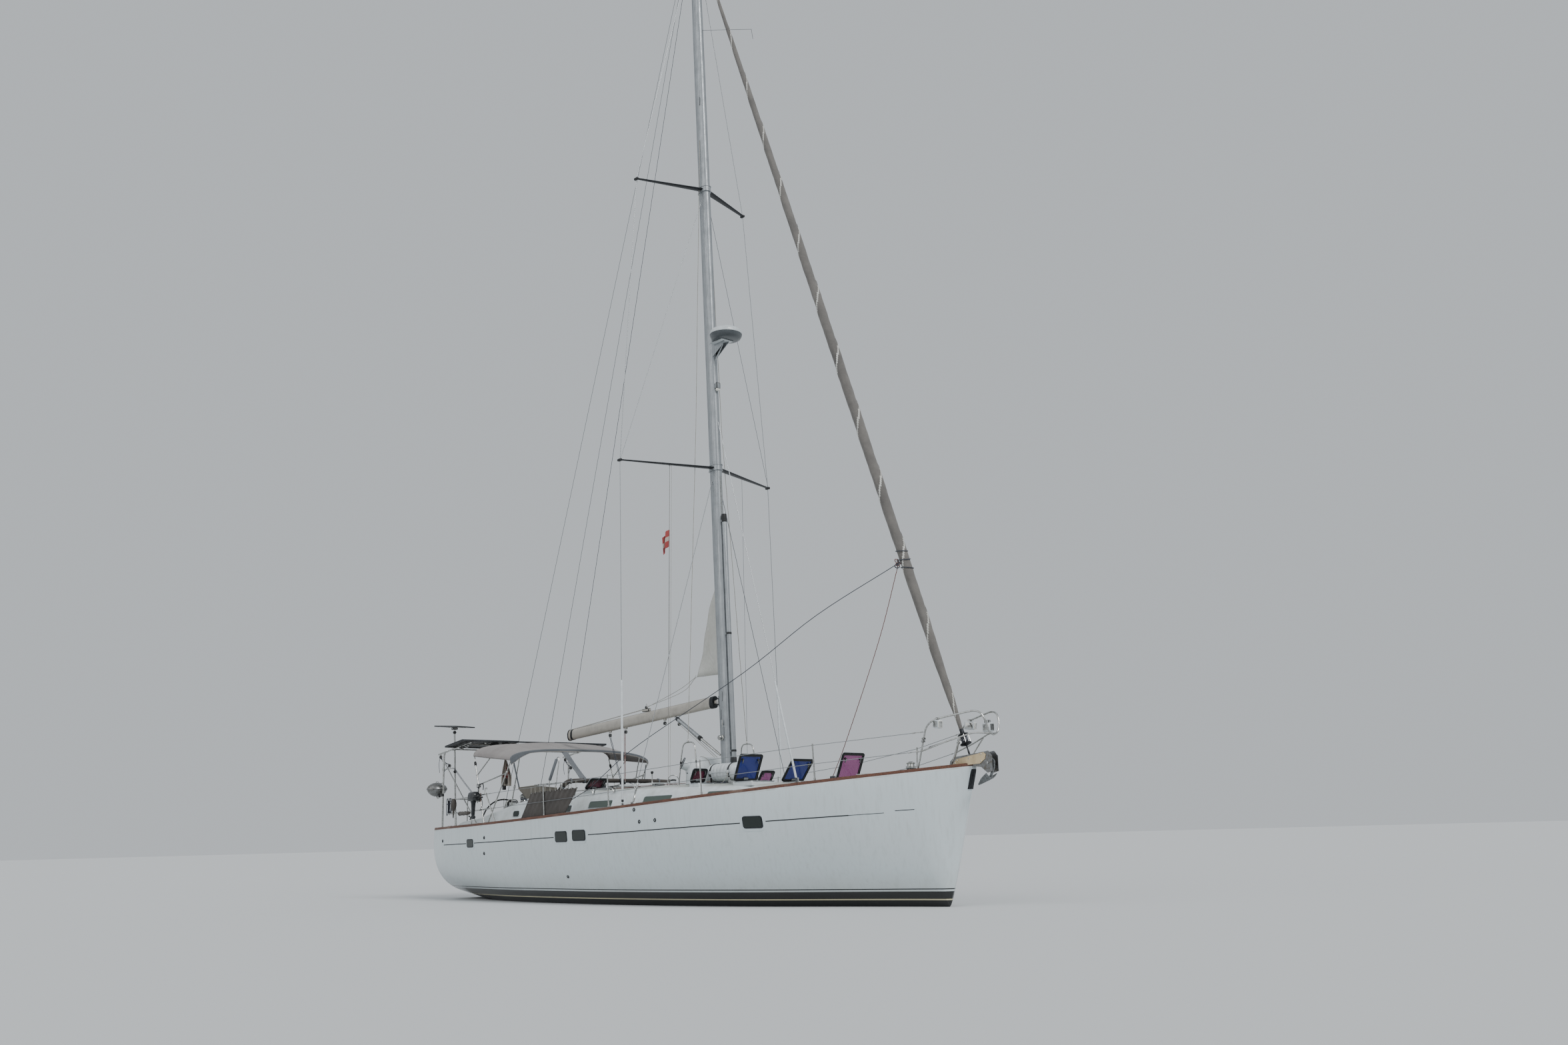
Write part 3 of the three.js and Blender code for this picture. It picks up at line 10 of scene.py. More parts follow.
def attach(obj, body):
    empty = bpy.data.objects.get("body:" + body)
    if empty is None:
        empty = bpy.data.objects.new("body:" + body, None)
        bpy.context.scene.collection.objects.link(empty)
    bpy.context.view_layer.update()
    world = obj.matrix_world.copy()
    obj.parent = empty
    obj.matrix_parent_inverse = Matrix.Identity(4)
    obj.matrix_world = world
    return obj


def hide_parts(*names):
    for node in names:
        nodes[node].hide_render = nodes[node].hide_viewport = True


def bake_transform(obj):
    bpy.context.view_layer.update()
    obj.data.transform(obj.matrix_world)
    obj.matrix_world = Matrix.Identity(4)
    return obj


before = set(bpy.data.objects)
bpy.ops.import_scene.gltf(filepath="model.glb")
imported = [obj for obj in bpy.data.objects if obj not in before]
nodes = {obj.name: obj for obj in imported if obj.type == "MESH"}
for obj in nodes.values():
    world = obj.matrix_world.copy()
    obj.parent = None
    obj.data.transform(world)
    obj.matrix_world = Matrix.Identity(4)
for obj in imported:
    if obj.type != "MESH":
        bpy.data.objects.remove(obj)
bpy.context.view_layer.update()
random.seed(47)
print("frame loaded:", len(nodes), "nodes")

# Lines of the boat, in metres from the middle of the waterline
sheerLine = {"bow": 2.113, "middle": 1.662, "stern": 1.461, "halfLength": 7.0}
hullRows = [
    {"x": -7.0, "half": 1.680, "bottom": 0.060, "full": 2.8},
    {"x": -6.2, "half": 1.840, "bottom": -0.060, "full": 2.7},
    {"x": -5.0, "half": 1.965, "bottom": -0.240, "full": 2.6},
    {"x": -3.5, "half": 2.090, "bottom": -0.440, "full": 2.5},
    {"x": -2.0, "half": 2.150, "bottom": -0.560, "full": 2.4},
    {"x": -0.5, "half": 2.150, "bottom": -0.610, "full": 2.35},
    {"x": 1.0, "half": 2.075, "bottom": -0.600, "full": 2.2},
    {"x": 2.2, "half": 1.945, "bottom": -0.550, "full": 2.05},
    {"x": 3.3, "half": 1.730, "bottom": -0.460, "full": 1.9},
    {"x": 4.3, "half": 1.430, "bottom": -0.340, "full": 1.7},
    {"x": 5.2, "half": 1.090, "bottom": -0.210, "full": 1.55},
    {"x": 5.9, "half": 0.740, "bottom": -0.090, "full": 1.45},
    {"x": 6.37, "half": 0.480, "bottom": 0.010, "full": 1.4},
    {"x": 6.7, "half": 0.270, "bottom": 1.100, "full": 1.35},
    {"x": 6.98, "half": 0.050, "bottom": 2.030, "full": 1.3},
]
roofRows = [
    {"x": -2.35, "foot": 1.44, "shoulder": 1.24, "low": 2.040, "crown": 2.130},
    {"x": -1.0, "foot": 1.42, "shoulder": 1.20, "low": 2.060, "crown": 2.145},
    {"x": 0.3, "foot": 1.34, "shoulder": 1.11, "low": 2.050, "crown": 2.140},
    {"x": 1.6, "foot": 1.20, "shoulder": 0.98, "low": 2.035, "crown": 2.105},
    {"x": 2.8, "foot": 1.00, "shoulder": 0.78, "low": 1.995, "crown": 2.045},
    {"x": 3.7, "foot": 0.59, "shoulder": 0.34, "low": 1.955, "crown": 1.975},
    {"x": 4.0, "foot": 0.30, "shoulder": 0.12, "low": 1.900, "crown": 1.905},
]
mastLine = {"x": 1.02, "zRef": 2.375, "lean": math.tan(math.radians(2.24)), "chord": 0.27, "width": 0.17,
    "head": 20.17}


def smoothAt(rows, column, x):
    # A curve through the rows with slopes taken from the neighbours
    last = len(rows) - 1
    x = min(max(x, rows[0]["x"]), rows[last]["x"])
    i = max(k for k in range(last) if rows[k]["x"] <= x)
    here, there = rows[i], rows[i + 1]
    span = there["x"] - here["x"]

    def slope(k):
        low, high = rows[max(k - 1, 0)], rows[min(k + 1, last)]
        return (high[column] - low[column]) / (high["x"] - low["x"])

    t = (x - here["x"]) / span
    a, b = slope(i) * span, slope(i + 1) * span
    curve = (2 * t**3 - 3 * t**2 + 1) * here[column] + (t**3 - 2 * t**2 + t) * a
    return curve + (3 * t**2 - 2 * t**3) * there[column] + (t**3 - t**2) * b


def straightAt(rows, column, x):
    last = len(rows) - 1
    x = min(max(x, rows[0]["x"]), rows[last]["x"])
    i = max(k for k in range(last) if rows[k]["x"] <= x)
    share = (x - rows[i]["x"]) / (rows[i + 1]["x"] - rows[i]["x"])
    return rows[i][column] * (1 - share) + rows[i + 1][column] * share


def sheerZ(x):
    s = sheerLine
    lift = (s["bow"] - s["stern"]) / (2 * s["halfLength"])
    bend = (s["bow"] + s["stern"] - 2 * s["middle"]) / (2 * s["halfLength"] ** 2)
    return s["middle"] + lift * x + bend * x * x


def hullHalf(x):
    return smoothAt(hullRows, "half", x)


def hullBottom(x):
    return straightAt(hullRows, "bottom", x) if x > 6.37 else smoothAt(hullRows[:13], "bottom", x)


def hullSide(x, z):
    # Half-breadth of the hull at a height
    top = sheerZ(x) - 0.03
    down = min(max((top - z) / (top - hullBottom(x)), 0), 1)
    full = smoothAt(hullRows, "full", x)
    level = down ** (full / 2)
    return hullHalf(x) * math.sqrt(max(0, 1 - level * level)) ** (2 / full)


def deckTop(x, y):
    half = straightAt(hullRows, "half", x) - 0.046
    return sheerZ(x) + max(0, 1 - (y / half) ** 2) * 0.085 * half / 2.1


def roofTop(x, y):
    share = min(1, abs(y) / straightAt(roofRows, "shoulder", x))
    crown, low = straightAt(roofRows, "crown", x), straightAt(roofRows, "low", x)
    return crown - (crown - low) * share * share


def mastX(z):
    m = mastLine
    return m["x"] - (z - m["zRef"]) * m["lean"]


def mastAt(z, forward=0, side=0):
    return Vector((mastX(z) + forward, side, z))


# Small mesh tools
def addTube(bm, path, radius, sides=12, slot=0, closed=False, taper=None):
    # A round tube through the points, square at each bend
    points = [Vector(p) for p in path]
    count = len(points)
    rings = []
    across = None
    for i, point in enumerate(points):
        before = points[(i - 1) % count] if closed or i > 0 else point
        after = points[(i + 1) % count] if closed or i < count - 1 else point
        inward = (point - before).normalized() if point != before else (after - point).normalized()
        outward = (after - point).normalized() if after != point else inward
        along = (inward + outward).normalized()
        if across is None:
            across = along.orthogonal().normalized()
        across = (across - along * across.dot(along)).normalized()
        other = along.cross(across)
        stretch = 1 / max(0.35, math.sqrt((1 + inward.dot(outward)) / 2))
        fold = (inward - outward)
        fold = fold.normalized() if fold.length > 1e-6 else None
        size = radius if taper is None else radius * taper[i]
        ring = []
        for k in range(sides):
            turn = 2 * math.pi * k / sides
            out = (across * math.cos(turn) + other * math.sin(turn)) * size
            if fold is not None:
                out += fold * out.dot(fold) * (stretch - 1)
            ring.append(bm.verts.new(point + out))
        rings.append(ring)
    pairs = list(zip(rings, rings[1:]))
    if closed:
        pairs.append((rings[-1], rings[0]))
    for low, high in pairs:
        shift = 0
        if closed and low is rings[-1]:
            shift = min(range(sides), key=lambda s: (low[0].co - high[s].co).length)
        for k in range(sides):
            after = (k + 1) % sides
            face = bm.faces.new((low[k], low[after], high[(after + shift) % sides],
                high[(k + shift) % sides]))
            face.material_index = slot
            face.smooth = True
    if not closed:
        bm.faces.new(list(reversed(rings[0]))).material_index = slot
        bm.faces.new(rings[-1]).material_index = slot


def curvePath(points, steps=8):
    # Points on a smooth curve through a few hand-set ones
    points = [Vector(p) for p in points]
    path = []
    for i in range(len(points) - 1):
        a, b = points[i], points[i + 1]
        before = points[i - 1] if i else a - (b - a)
        after = points[i + 2] if i + 2 < len(points) else b + (b - a)
        for k in range(steps):
            t = k / steps
            path.append(0.5 * ((2 * a) + (b - before) * t + (2 * before - 5 * a + 4 * b - after) * t * t
                               + (3 * a - before - 3 * b + after) * t**3))
    return path + [points[-1]]


def addTurned(bm, profile, base, along=(0, 0, 1), sides=24, slot=0):
    # A turned shape: rows of radius and height from the base along a direction
    base, along = Vector(base), Vector(along).normalized()
    across = along.orthogonal().normalized()
    other = along.cross(across)
    rings = []
    for radius, height in profile:
        centre = base + along * height
        if radius < 1e-6:
            rings.append([bm.verts.new(centre)])
            continue
        rings.append([bm.verts.new(centre + (across * math.cos(2 * math.pi * k / sides)
                                             + other * math.sin(2 * math.pi * k / sides)) * radius)
                      for k in range(sides)])
    for low, high in zip(rings, rings[1:]):
        for k in range(sides):
            after = (k + 1) % sides
            corners = [low[k % len(low)], low[after % len(low)], high[after % len(high)],
                high[k % len(high)]]
            corners = list(dict.fromkeys(corners))
            if len(corners) > 2:
                face = bm.faces.new(corners)
                face.material_index = slot
                face.smooth = True
    for ring, turned in ((rings[0], True), (rings[-1], False)):
        if len(ring) > 1:
            bm.faces.new(list(reversed(ring)) if turned else ring).material_index = slot


def addBlock(bm, low, high, slot=0, edge=0.0, turn=None):
    # A box with rounded edges, from its lowest to its highest corner, turned if a matrix is given
    low, high = Vector(low), Vector(high)
    size = high - low
    place = Matrix.Translation((low + high) / 2) @ Matrix.Diagonal((*size, 1))
    made = bmesh.ops.create_cube(bm, size=1.0, matrix=place)
    corners = made["verts"]
    faces = list({f for v in corners for f in v.link_faces})
    if edge:
        edges = list({e for v in corners for e in v.link_edges})
        width = min(edge, 0.45 * min(size))
        rounded = bmesh.ops.bevel(bm, geom=edges, offset=width, segments=3, profile=0.5, affect="EDGES")
        faces = [f for f in rounded["faces"] if f.is_valid] + [f for f in faces if f.is_valid]
        corners = list({v for f in faces for v in f.verts})
        for face in rounded["faces"]:
            face.smooth = True
    for face in faces:
        face.material_index = slot
    if turn is not None:
        bmesh.ops.transform(bm, matrix=turn, verts=corners)
    return corners


def addRings(bm, rings, slot=0, caps=True, wrap=True, smooth=True):
    # A skin over rings of points; wrap closes each ring
    made = [[bm.verts.new(p) for p in ring] for ring in rings]
    count = len(made[0])
    for low, high in zip(made, made[1:]):
        for k in range(count if wrap else count - 1):
            after = (k + 1) % count
            face = bm.faces.new((low[k], low[after], high[after], high[k]))
            face.material_index = slot
            face.smooth = smooth
    if caps and wrap:
        bm.faces.new(list(reversed(made[0]))).material_index = slot
        bm.faces.new(made[-1]).material_index = slot
    return made


def roundedOutline(width, height, corner, steps=5):
    # Corner points of a rounded rectangle about the origin
    outline = []
    for cx, cy, start in ((1, 1, 0), (-1, 1, 90), (-1, -1, 180), (1, -1, 270)):
        for k in range(steps + 1):
            turn = math.radians(start + 90 * k / steps)
            outline.append((cx * (width / 2 - corner) + corner * math.cos(turn),
                            cy * (height / 2 - corner) + corner * math.sin(turn)))
    return outline


def finishPiece(bm, name, finishes, body="yacht", stands=(), sharp=38, outward=True):
    # Turns the gathered mesh into a piece that rides on a body
    if outward:
        bmesh.ops.recalc_face_normals(bm, faces=bm.faces)
    mesh = bpy.data.meshes.new(name)
    bm.to_mesh(mesh)
    bm.free()
    mesh.set_sharp_from_angle(angle=math.radians(sharp))
    for finish in finishes:
        mesh.materials.append(finish)
    piece = bpy.data.objects.new(name, mesh)
    bpy.context.scene.collection.objects.link(piece)
    if body:
        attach(piece, body)
    if stands:
        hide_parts(*stands)
    return piece


# Colours and shader nodes
def hexColor(text, alpha=1.0):
    channels = [int(text[i:i + 2], 16) / 255 for i in (1, 3, 5)]
    return (*[c / 12.92 if c <= 0.04045 else ((c + 0.055) / 1.055) ** 2.4 for c in channels], alpha)


def addNode(tree, kind, settings=None, links=None):
    node = tree.nodes.new("ShaderNode" + kind)
    for key, value in (settings or {}).items():
        if isinstance(key, int) or key in node.inputs:
            node.inputs[key].default_value = value
        else:
            setattr(node, key, value)
    for socket, source in (links or {}).items():
        tree.links.new(source, node.inputs[socket])
    return node


def newFinish(name, color, roughness, metallic=0.0, **sockets):
    # A material with its shader set to plain typical values
    finish = bpy.data.materials.new(name)
    finish.use_nodes = True
    tree = finish.node_tree
    shader = tree.nodes["Principled BSDF"]
    shader.inputs["Base Color"].default_value = hexColor(color)
    shader.inputs["Roughness"].default_value = roughness
    shader.inputs["Metallic"].default_value = metallic
    for socket, value in sockets.items():
        shader.inputs[socket.replace("_", " ")].default_value = value
    place = addNode(tree, "TexCoord").outputs["Object"]
    return finish, tree, shader, place


def link(tree, source, socket):
    tree.links.new(source, socket)


def setStops(ramp, stops, interpolation="LINEAR"):
    # Sets a colour ramp's stops from pairs of place and sRGB colour
    band = ramp.color_ramp
    band.interpolation = interpolation
    while len(band.elements) > 1:
        band.elements.remove(band.elements[-1])
    band.elements[0].position = stops[0][0]
    band.elements[0].color = hexColor(stops[0][1])
    for position, color in stops[1:]:
        band.elements.new(position).color = hexColor(color)
    return ramp


# Gelcoat sprayed into a polished mould: white polyester, deep gloss, a soft ripple in its reflections
gelcoatLook = {"white": "#c9d3d6", "antifouling": "#15191b", "cream": "#cfc8a6", "black": "#0d1012",
               "creamFrom": 0.10, "blackFrom": 0.12, "whiteFrom": 0.235, "lineFrom": 0.262, "lineTo": 0.280}


def hullGelcoat():
    look = gelcoatLook
    finish, tree, shader, place = newFinish("polished hull gelcoat", look["white"], 0.13, Coat_Weight=0.4,
        Coat_Roughness=0.05)
    split = addNode(tree, "SeparateXYZ", links={0: place})
    height = addNode(tree, "Math", {"operation": "MULTIPLY", 1: 2.0}, {0: split.outputs["Z"]})
    bands = setStops(addNode(tree, "ValToRGB", links={0: height.outputs[0]}), [
        (0.0, look["antifouling"]), (look["creamFrom"] * 2, look["cream"]),
            (look["blackFrom"] * 2, look["black"]),
        (look["whiteFrom"] * 2, look["white"]), (look["lineFrom"] * 2, look["black"]),
            (look["lineTo"] * 2, look["white"]),
    ], "CONSTANT")
    # Rain streaks 40 to 80 mm wide run down from the scuppers, and a tea-brown stain sits above the water
    stretch = addNode(tree, "Mapping", {"Scale": (18, 18, 1.4)}, {"Vector": place})
    streaks = addNode(tree, "TexNoise", {"Scale": 1.0, "Detail": 5, "Roughness": 0.6},
        {"Vector": stretch.outputs[0]})
    faint = addNode(tree, "MapRange", {"From Min": 0.5, "From Max": 0.8, "To Min": 0.0, "To Max": 0.16},
        {0: streaks.outputs["Fac"]})
    rainy = addNode(tree, "Mix", {"data_type": "RGBA", "blend_type": "MULTIPLY", 7: hexColor("#8d8676")},
                    {0: faint.outputs[0], 6: bands.outputs[0]})
    low = addNode(tree, "MapRange", {"From Min": 0.28, "From Max": 0.62, "To Min": 0.30, "To Max": 0.0},
        {0: split.outputs["Z"]})
    patches = addNode(tree, "TexNoise", {"Scale": 2.2, "Detail": 4}, {"Vector": place})
    stain = addNode(tree, "Math", {"operation": "MULTIPLY"}, {0: low.outputs[0], 1: patches.outputs["Fac"]})
    stained = addNode(tree, "Mix", {"data_type": "RGBA", "blend_type": "MULTIPLY", 7: hexColor("#a89a78")},
                      {0: stain.outputs[0], 6: rainy.outputs[2]})
    link(tree, stained.outputs[2], shader.inputs["Base Color"])
    dull = addNode(tree, "MapRange", {"From Min": 0.098, "From Max": 0.102, "To Min": 0.75, "To Max": 0.13},
        {0: split.outputs["Z"]})
    scuffed = addNode(tree, "Math", {"operation": "MULTIPLY_ADD", 1: 0.10},
        {0: patches.outputs["Fac"], 2: dull.outputs[0]})
    link(tree, scuffed.outputs[0], shader.inputs["Roughness"])
    # The laminate's print-through ripples about 250 mm apart
    ripple = addNode(tree, "TexNoise", {"Scale": 4.0, "Detail": 2}, {"Vector": place})
    bump = addNode(tree, "Bump", {"Strength": 0.08, "Distance": 0.02}, {"Height": ripple.outputs["Fac"]})
    link(tree, bump.outputs[0], shader.inputs["Normal"])
    return finish


# Gelcoat with moulded non-slip: diamonds about 3 mm apart, drawn 15 mm apart so that they show
def deckGelcoat():
    finish, tree, shader, place = newFinish("moulded deck gelcoat", "#ccd2d4", 0.3)
    facing = addNode(tree, "SeparateXYZ", links={0: addNode(tree, "NewGeometry").outputs["Normal"]})
    level = addNode(tree, "MapRange", {"From Min": 0.90, "From Max": 0.96}, {0: facing.outputs["Z"]})
    diamonds = addNode(tree, "TexVoronoi", {"Scale": 1 / 0.015, "distance": "MANHATTAN", "Randomness": 0.0},
        {"Vector": place})
    grit = addNode(tree, "Math", {"operation": "MULTIPLY"},
        {0: diamonds.outputs["Distance"], 1: level.outputs[0]})
    bump = addNode(tree, "Bump", {"Strength": 0.5, "Distance": 0.003}, {"Height": grit.outputs[0]})
    link(tree, bump.outputs[0], shader.inputs["Normal"])
    worn = addNode(tree, "TexNoise", {"Scale": 3.0, "Detail": 6, "Roughness": 0.65}, {"Vector": place})
    tint = setStops(addNode(tree, "ValToRGB", links={0: worn.outputs["Fac"]}),
                    [(0.30, "#b4b9b8"), (0.55, "#ccd2d4"), (0.8, "#d6dbdc")])
    walked = addNode(tree, "Mix", {"data_type": "RGBA", "blend_type": "MULTIPLY", 7: hexColor("#dcdad2")},
                     {0: level.outputs[0], 6: tint.outputs[0]})
    link(tree, walked.outputs[2], shader.inputs["Base Color"])
    rough = addNode(tree, "MapRange", {"To Min": 0.22, "To Max": 0.62}, {0: level.outputs[0]})
    link(tree, rough.outputs[0], shader.inputs["Roughness"])
    return finish


# Rolled antifouling paint: chalky black with the roller's stipple and a green tinge near the surface
def antifoulingPaint():
    finish, tree, shader, place = newFinish("rolled antifouling", "#15191b", 0.85)
    stipple = addNode(tree, "TexNoise", {"Scale": 1 / 0.02, "Detail": 4}, {"Vector": place})
    bump = addNode(tree, "Bump", {"Strength": 0.35, "Distance": 0.002}, {"Height": stipple.outputs["Fac"]})
    link(tree, bump.outputs[0], shader.inputs["Normal"])
    growth = addNode(tree, "TexNoise", {"Scale": 2.5, "Detail": 8, "Roughness": 0.7}, {"Vector": place})
    tint = setStops(addNode(tree, "ValToRGB", links={0: growth.outputs["Fac"]}),
                    [(0.35, "#121517"), (0.60, "#1d2421"), (0.78, "#2c332a")])
    link(tree, tint.outputs[0], shader.inputs["Base Color"])
    return finish


# Oiled mahogany: red-brown, grain 3 mm apart, drawn 8 mm, silvered where the oil has gone
def railMahogany():
    finish, tree, shader, place = newFinish("oiled mahogany", "#5b3626", 0.5)
    stretch = addNode(tree, "Mapping", {"Scale": (4, 125, 125)}, {"Vector": place})
    grain = addNode(tree, "TexNoise", {"Scale": 1.0, "Detail": 6, "Roughness": 0.6},
        {"Vector": stretch.outputs[0]})
    tint = setStops(addNode(tree, "ValToRGB", links={0: grain.outputs["Fac"]}),
                    [(0.30, "#2f1a12"), (0.50, "#55301f"), (0.72, "#7a4a30")])
    bare = addNode(tree, "TexNoise", {"Scale": 1.6, "Detail": 5}, {"Vector": place})
    silver = addNode(tree, "MapRange", {"From Min": 0.55, "From Max": 0.75, "To Max": 0.55},
        {0: bare.outputs["Fac"]})
    faded = addNode(tree, "Mix", {"data_type": "RGBA", 7: hexColor("#8c7f72")},
        {0: silver.outputs[0], 6: tint.outputs[0]})
    link(tree, faded.outputs[2], shader.inputs["Base Color"])
    bump = addNode(tree, "Bump", {"Strength": 0.3, "Distance": 0.001}, {"Height": grain.outputs["Fac"]})
    link(tree, bump.outputs[0], shader.inputs["Normal"])
    return finish


# Teak strips laid on the sole and seats: 50 mm planks along the boat with black caulking between them
def laidTeak():
    finish, tree, shader, place = newFinish("laid teak", "#8d6f50", 0.65)
    planks = addNode(tree, "TexBrick", {"Scale": 1.0, "Mortar Size": 0.004, "Brick Width": 1.9,
        "Row Height": 0.05,
                                        "Color1": hexColor("#8f7152"), "Color2": hexColor("#7c6248"),
                                        "Mortar": hexColor("#141312"), "Mortar Smooth": 0.1},
                                            {"Vector": place})
    stretch = addNode(tree, "Mapping", {"Scale": (5, 160, 160)}, {"Vector": place})
    grain = addNode(tree, "TexNoise", {"Scale": 1.0, "Detail": 5}, {"Vector": stretch.outputs[0]})
    shade = addNode(tree, "MapRange", {"From Min": 0.3, "From Max": 0.7, "To Min": 0.75, "To Max": 1.1},
        {0: grain.outputs["Fac"]})
    tinted = addNode(tree, "Mix", {"data_type": "RGBA", "blend_type": "MULTIPLY", 0: 1.0},
                     {6: planks.outputs["Color"], 7: shade.outputs[0]})
    link(tree, tinted.outputs[2], shader.inputs["Base Color"])
    bump = addNode(tree, "Bump", {"Strength": 0.5, "Distance": 0.002, "invert": True},
        {"Height": planks.outputs["Fac"]})
    link(tree, bump.outputs[0], shader.inputs["Normal"])
    return finish


# Drawn metals: extrusion lines along the spar 6 mm apart, polish marks on tube, and grey salt bloom
metalLook = {
    "silver anodised aluminium": {"color": "#a9adb0", "worn": "#8d9194", "rough": 0.38, "metal": 0.75,
        "lines": (60, 60, 2)},
    "black anodised aluminium": {"color": "#1b1d20", "worn": "#33363a", "rough": 0.42, "metal": 0.5,
        "lines": (40, 40, 40)},
    "polished stainless tube": {"color": "#c3c4c2", "worn": "#9b9a96", "rough": 0.16, "metal": 1.0,
        "lines": (30, 30, 30)},
    "weathered stainless plate": {"color": "#8c8e90", "worn": "#6d6a64", "rough": 0.34, "metal": 0.9,
        "lines": (25, 90, 25)},
    "galvanised steel": {"color": "#85898b", "worn": "#6a6c6b", "rough": 0.55, "metal": 0.8,
        "lines": (45, 45, 45)},
    "cast bronze": {"color": "#a07c42", "worn": "#6b5a36", "rough": 0.4, "metal": 0.9,
        "lines": (35, 35, 35)},
}


def drawnMetal(name):
    look = metalLook[name]
    finish, tree, shader, place = newFinish(name, look["color"], look["rough"], look["metal"])
    stretch = addNode(tree, "Mapping", {"Scale": look["lines"]}, {"Vector": place})
    marks = addNode(tree, "TexNoise", {"Scale": 1.0, "Detail": 6, "Roughness": 0.6},
        {"Vector": stretch.outputs[0]})
    bloom = addNode(tree, "TexNoise", {"Scale": 5.0, "Detail": 6, "Roughness": 0.7}, {"Vector": place})
    mixed = addNode(tree, "Math", {"operation": "MULTIPLY_ADD", 1: 0.5},
        {0: bloom.outputs["Fac"], 2: marks.outputs["Fac"]})
    tint = setStops(addNode(tree, "ValToRGB", links={0: mixed.outputs[0]}),
        [(0.60, look["color"]), (0.92, look["worn"])])
    link(tree, tint.outputs[0], shader.inputs["Base Color"])
    rough = addNode(tree, "MapRange", {"From Min": 0.5, "From Max": 1.0, "To Min": look["rough"] * 0.8,
                                       "To Max": min(1, look["rough"] * 1.5)}, {0: mixed.outputs[0]})
    link(tree, rough.outputs[0], shader.inputs["Roughness"])
    bump = addNode(tree, "Bump", {"Strength": 0.12, "Distance": 0.0015}, {"Height": marks.outputs["Fac"]})
    link(tree, bump.outputs[0], shader.inputs["Normal"])
    return finish


# Stranded wire: 19 wires laid at a slant, 2 mm apart, drawn 12 mm apart, painted darker in each groove and
# lighter on each crown as shade and highlight
def strandedWire():
    finish, tree, shader, place = newFinish("stranded stainless wire", "#8d9092", 0.35, 0.9)
    lay = addNode(tree, "TexWave", {"wave_type": "BANDS", "bands_direction": "DIAGONAL", "Scale": 1 / 0.04,
        "Distortion": 0.0},
                  {"Vector": place})
    # Painted shade in the grooves between strands and painted highlight on their crowns
    tint = setStops(addNode(tree, "ValToRGB", links={0: lay.outputs["Fac"]}),
        [(0.1, "#76797b"), (0.6, "#989b9d")])
    link(tree, tint.outputs[0], shader.inputs["Base Color"])
    bump = addNode(tree, "Bump", {"Strength": 0.6, "Distance": 0.001}, {"Height": lay.outputs["Fac"]})
    link(tree, bump.outputs[0], shader.inputs["Normal"])
    return finish


# Woven cloths: threads 0.6 mm apart, drawn 5 mm, with creases and sun-faded patches; the weave is painted
# darker between threads and lighter on their crowns
clothLook = {
    "taupe acrylic canvas": {"color": "#7a7472", "faded": "#8e8986", "thread": 0.005, "sheen": 0.25,
        "crease": 0.5},
    "slate acrylic canvas": {"color": "#505459", "faded": "#62676c", "thread": 0.005, "sheen": 0.25,
        "crease": 0.4},
    "umber acrylic canvas": {"color": "#38332f", "faded": "#4a443f", "thread": 0.005, "sheen": 0.2,
        "crease": 0.8},
    "olive acrylic canvas": {"color": "#5a554c", "faded": "#6f695f", "thread": 0.005, "sheen": 0.2,
        "crease": 0.8},
    "grey sun strip": {"color": "#5d5a57", "faded": "#77736e", "thread": 0.006, "sheen": 0.2, "crease": 0.7},
    "white sailcloth": {"color": "#c9c9c4", "faded": "#b5b4ac", "thread": 0.004, "sheen": 0.1,
        "crease": 0.5},
    "red bunting": {"color": "#8e2a2c", "faded": "#a24a46", "thread": 0.004, "sheen": 0.2, "crease": 0.4},
    "pale bunting": {"color": "#b9b2a8", "faded": "#a59c92", "thread": 0.004, "sheen": 0.2, "crease": 0.4},
}


def wovenCloth(name):
    look = clothLook[name]
    finish, tree, shader, place = newFinish(name, look["color"], 0.85, Sheen_Weight=look["sheen"],
        Sheen_Roughness=0.5)
    faded = addNode(tree, "TexNoise", {"Scale": 1.7, "Detail": 6, "Roughness": 0.65}, {"Vector": place})
    tint = setStops(addNode(tree, "ValToRGB", links={0: faded.outputs["Fac"]}),
        [(0.35, look["color"]), (0.72, look["faded"])])
    warp = addNode(tree, "TexWave", {"bands_direction": "X", "Scale": 0.314 / look["thread"]},
        {"Vector": place})
    weft = addNode(tree, "TexWave", {"bands_direction": "Y", "Scale": 0.314 / look["thread"]},
        {"Vector": place})
    rise = addNode(tree, "TexWave", {"bands_direction": "Z", "Scale": 0.314 / look["thread"]},
        {"Vector": place})
    weave = addNode(tree, "Math", {"operation": "ADD"}, {0: warp.outputs["Fac"], 1: weft.outputs["Fac"]})
    weave = addNode(tree, "Math", {"operation": "ADD"}, {0: weave.outputs[0], 1: rise.outputs["Fac"]})
    # Painted shade between the threads and painted highlight on their crowns, multiplied into the colour
    threadShade = addNode(tree, "MapRange", {"From Max": 3.0, "To Min": 0.82, "To Max": 1.05}, {0: weave.outputs[0]})
    tinted = addNode(tree, "Mix", {"data_type": "RGBA", "blend_type": "MULTIPLY", 0: 1.0},
        {6: tint.outputs[0], 7: threadShade.outputs[0]})
    link(tree, tinted.outputs[2], shader.inputs["Base Color"])
    creases = addNode(tree, "TexNoise", {"Scale": 5.0, "Detail": 5, "Distortion": 1.2}, {"Vector": place})
    threads = addNode(tree, "Bump", {"Strength": 0.35, "Distance": 0.001}, {"Height": weave.outputs[0]})
    folds = addNode(tree, "Bump", {"Strength": look["crease"], "Distance": 0.012},
                    {"Height": creases.outputs["Fac"], "Normal": threads.outputs[0]})
    link(tree, folds.outputs[0], shader.inputs["Normal"])
    return finish


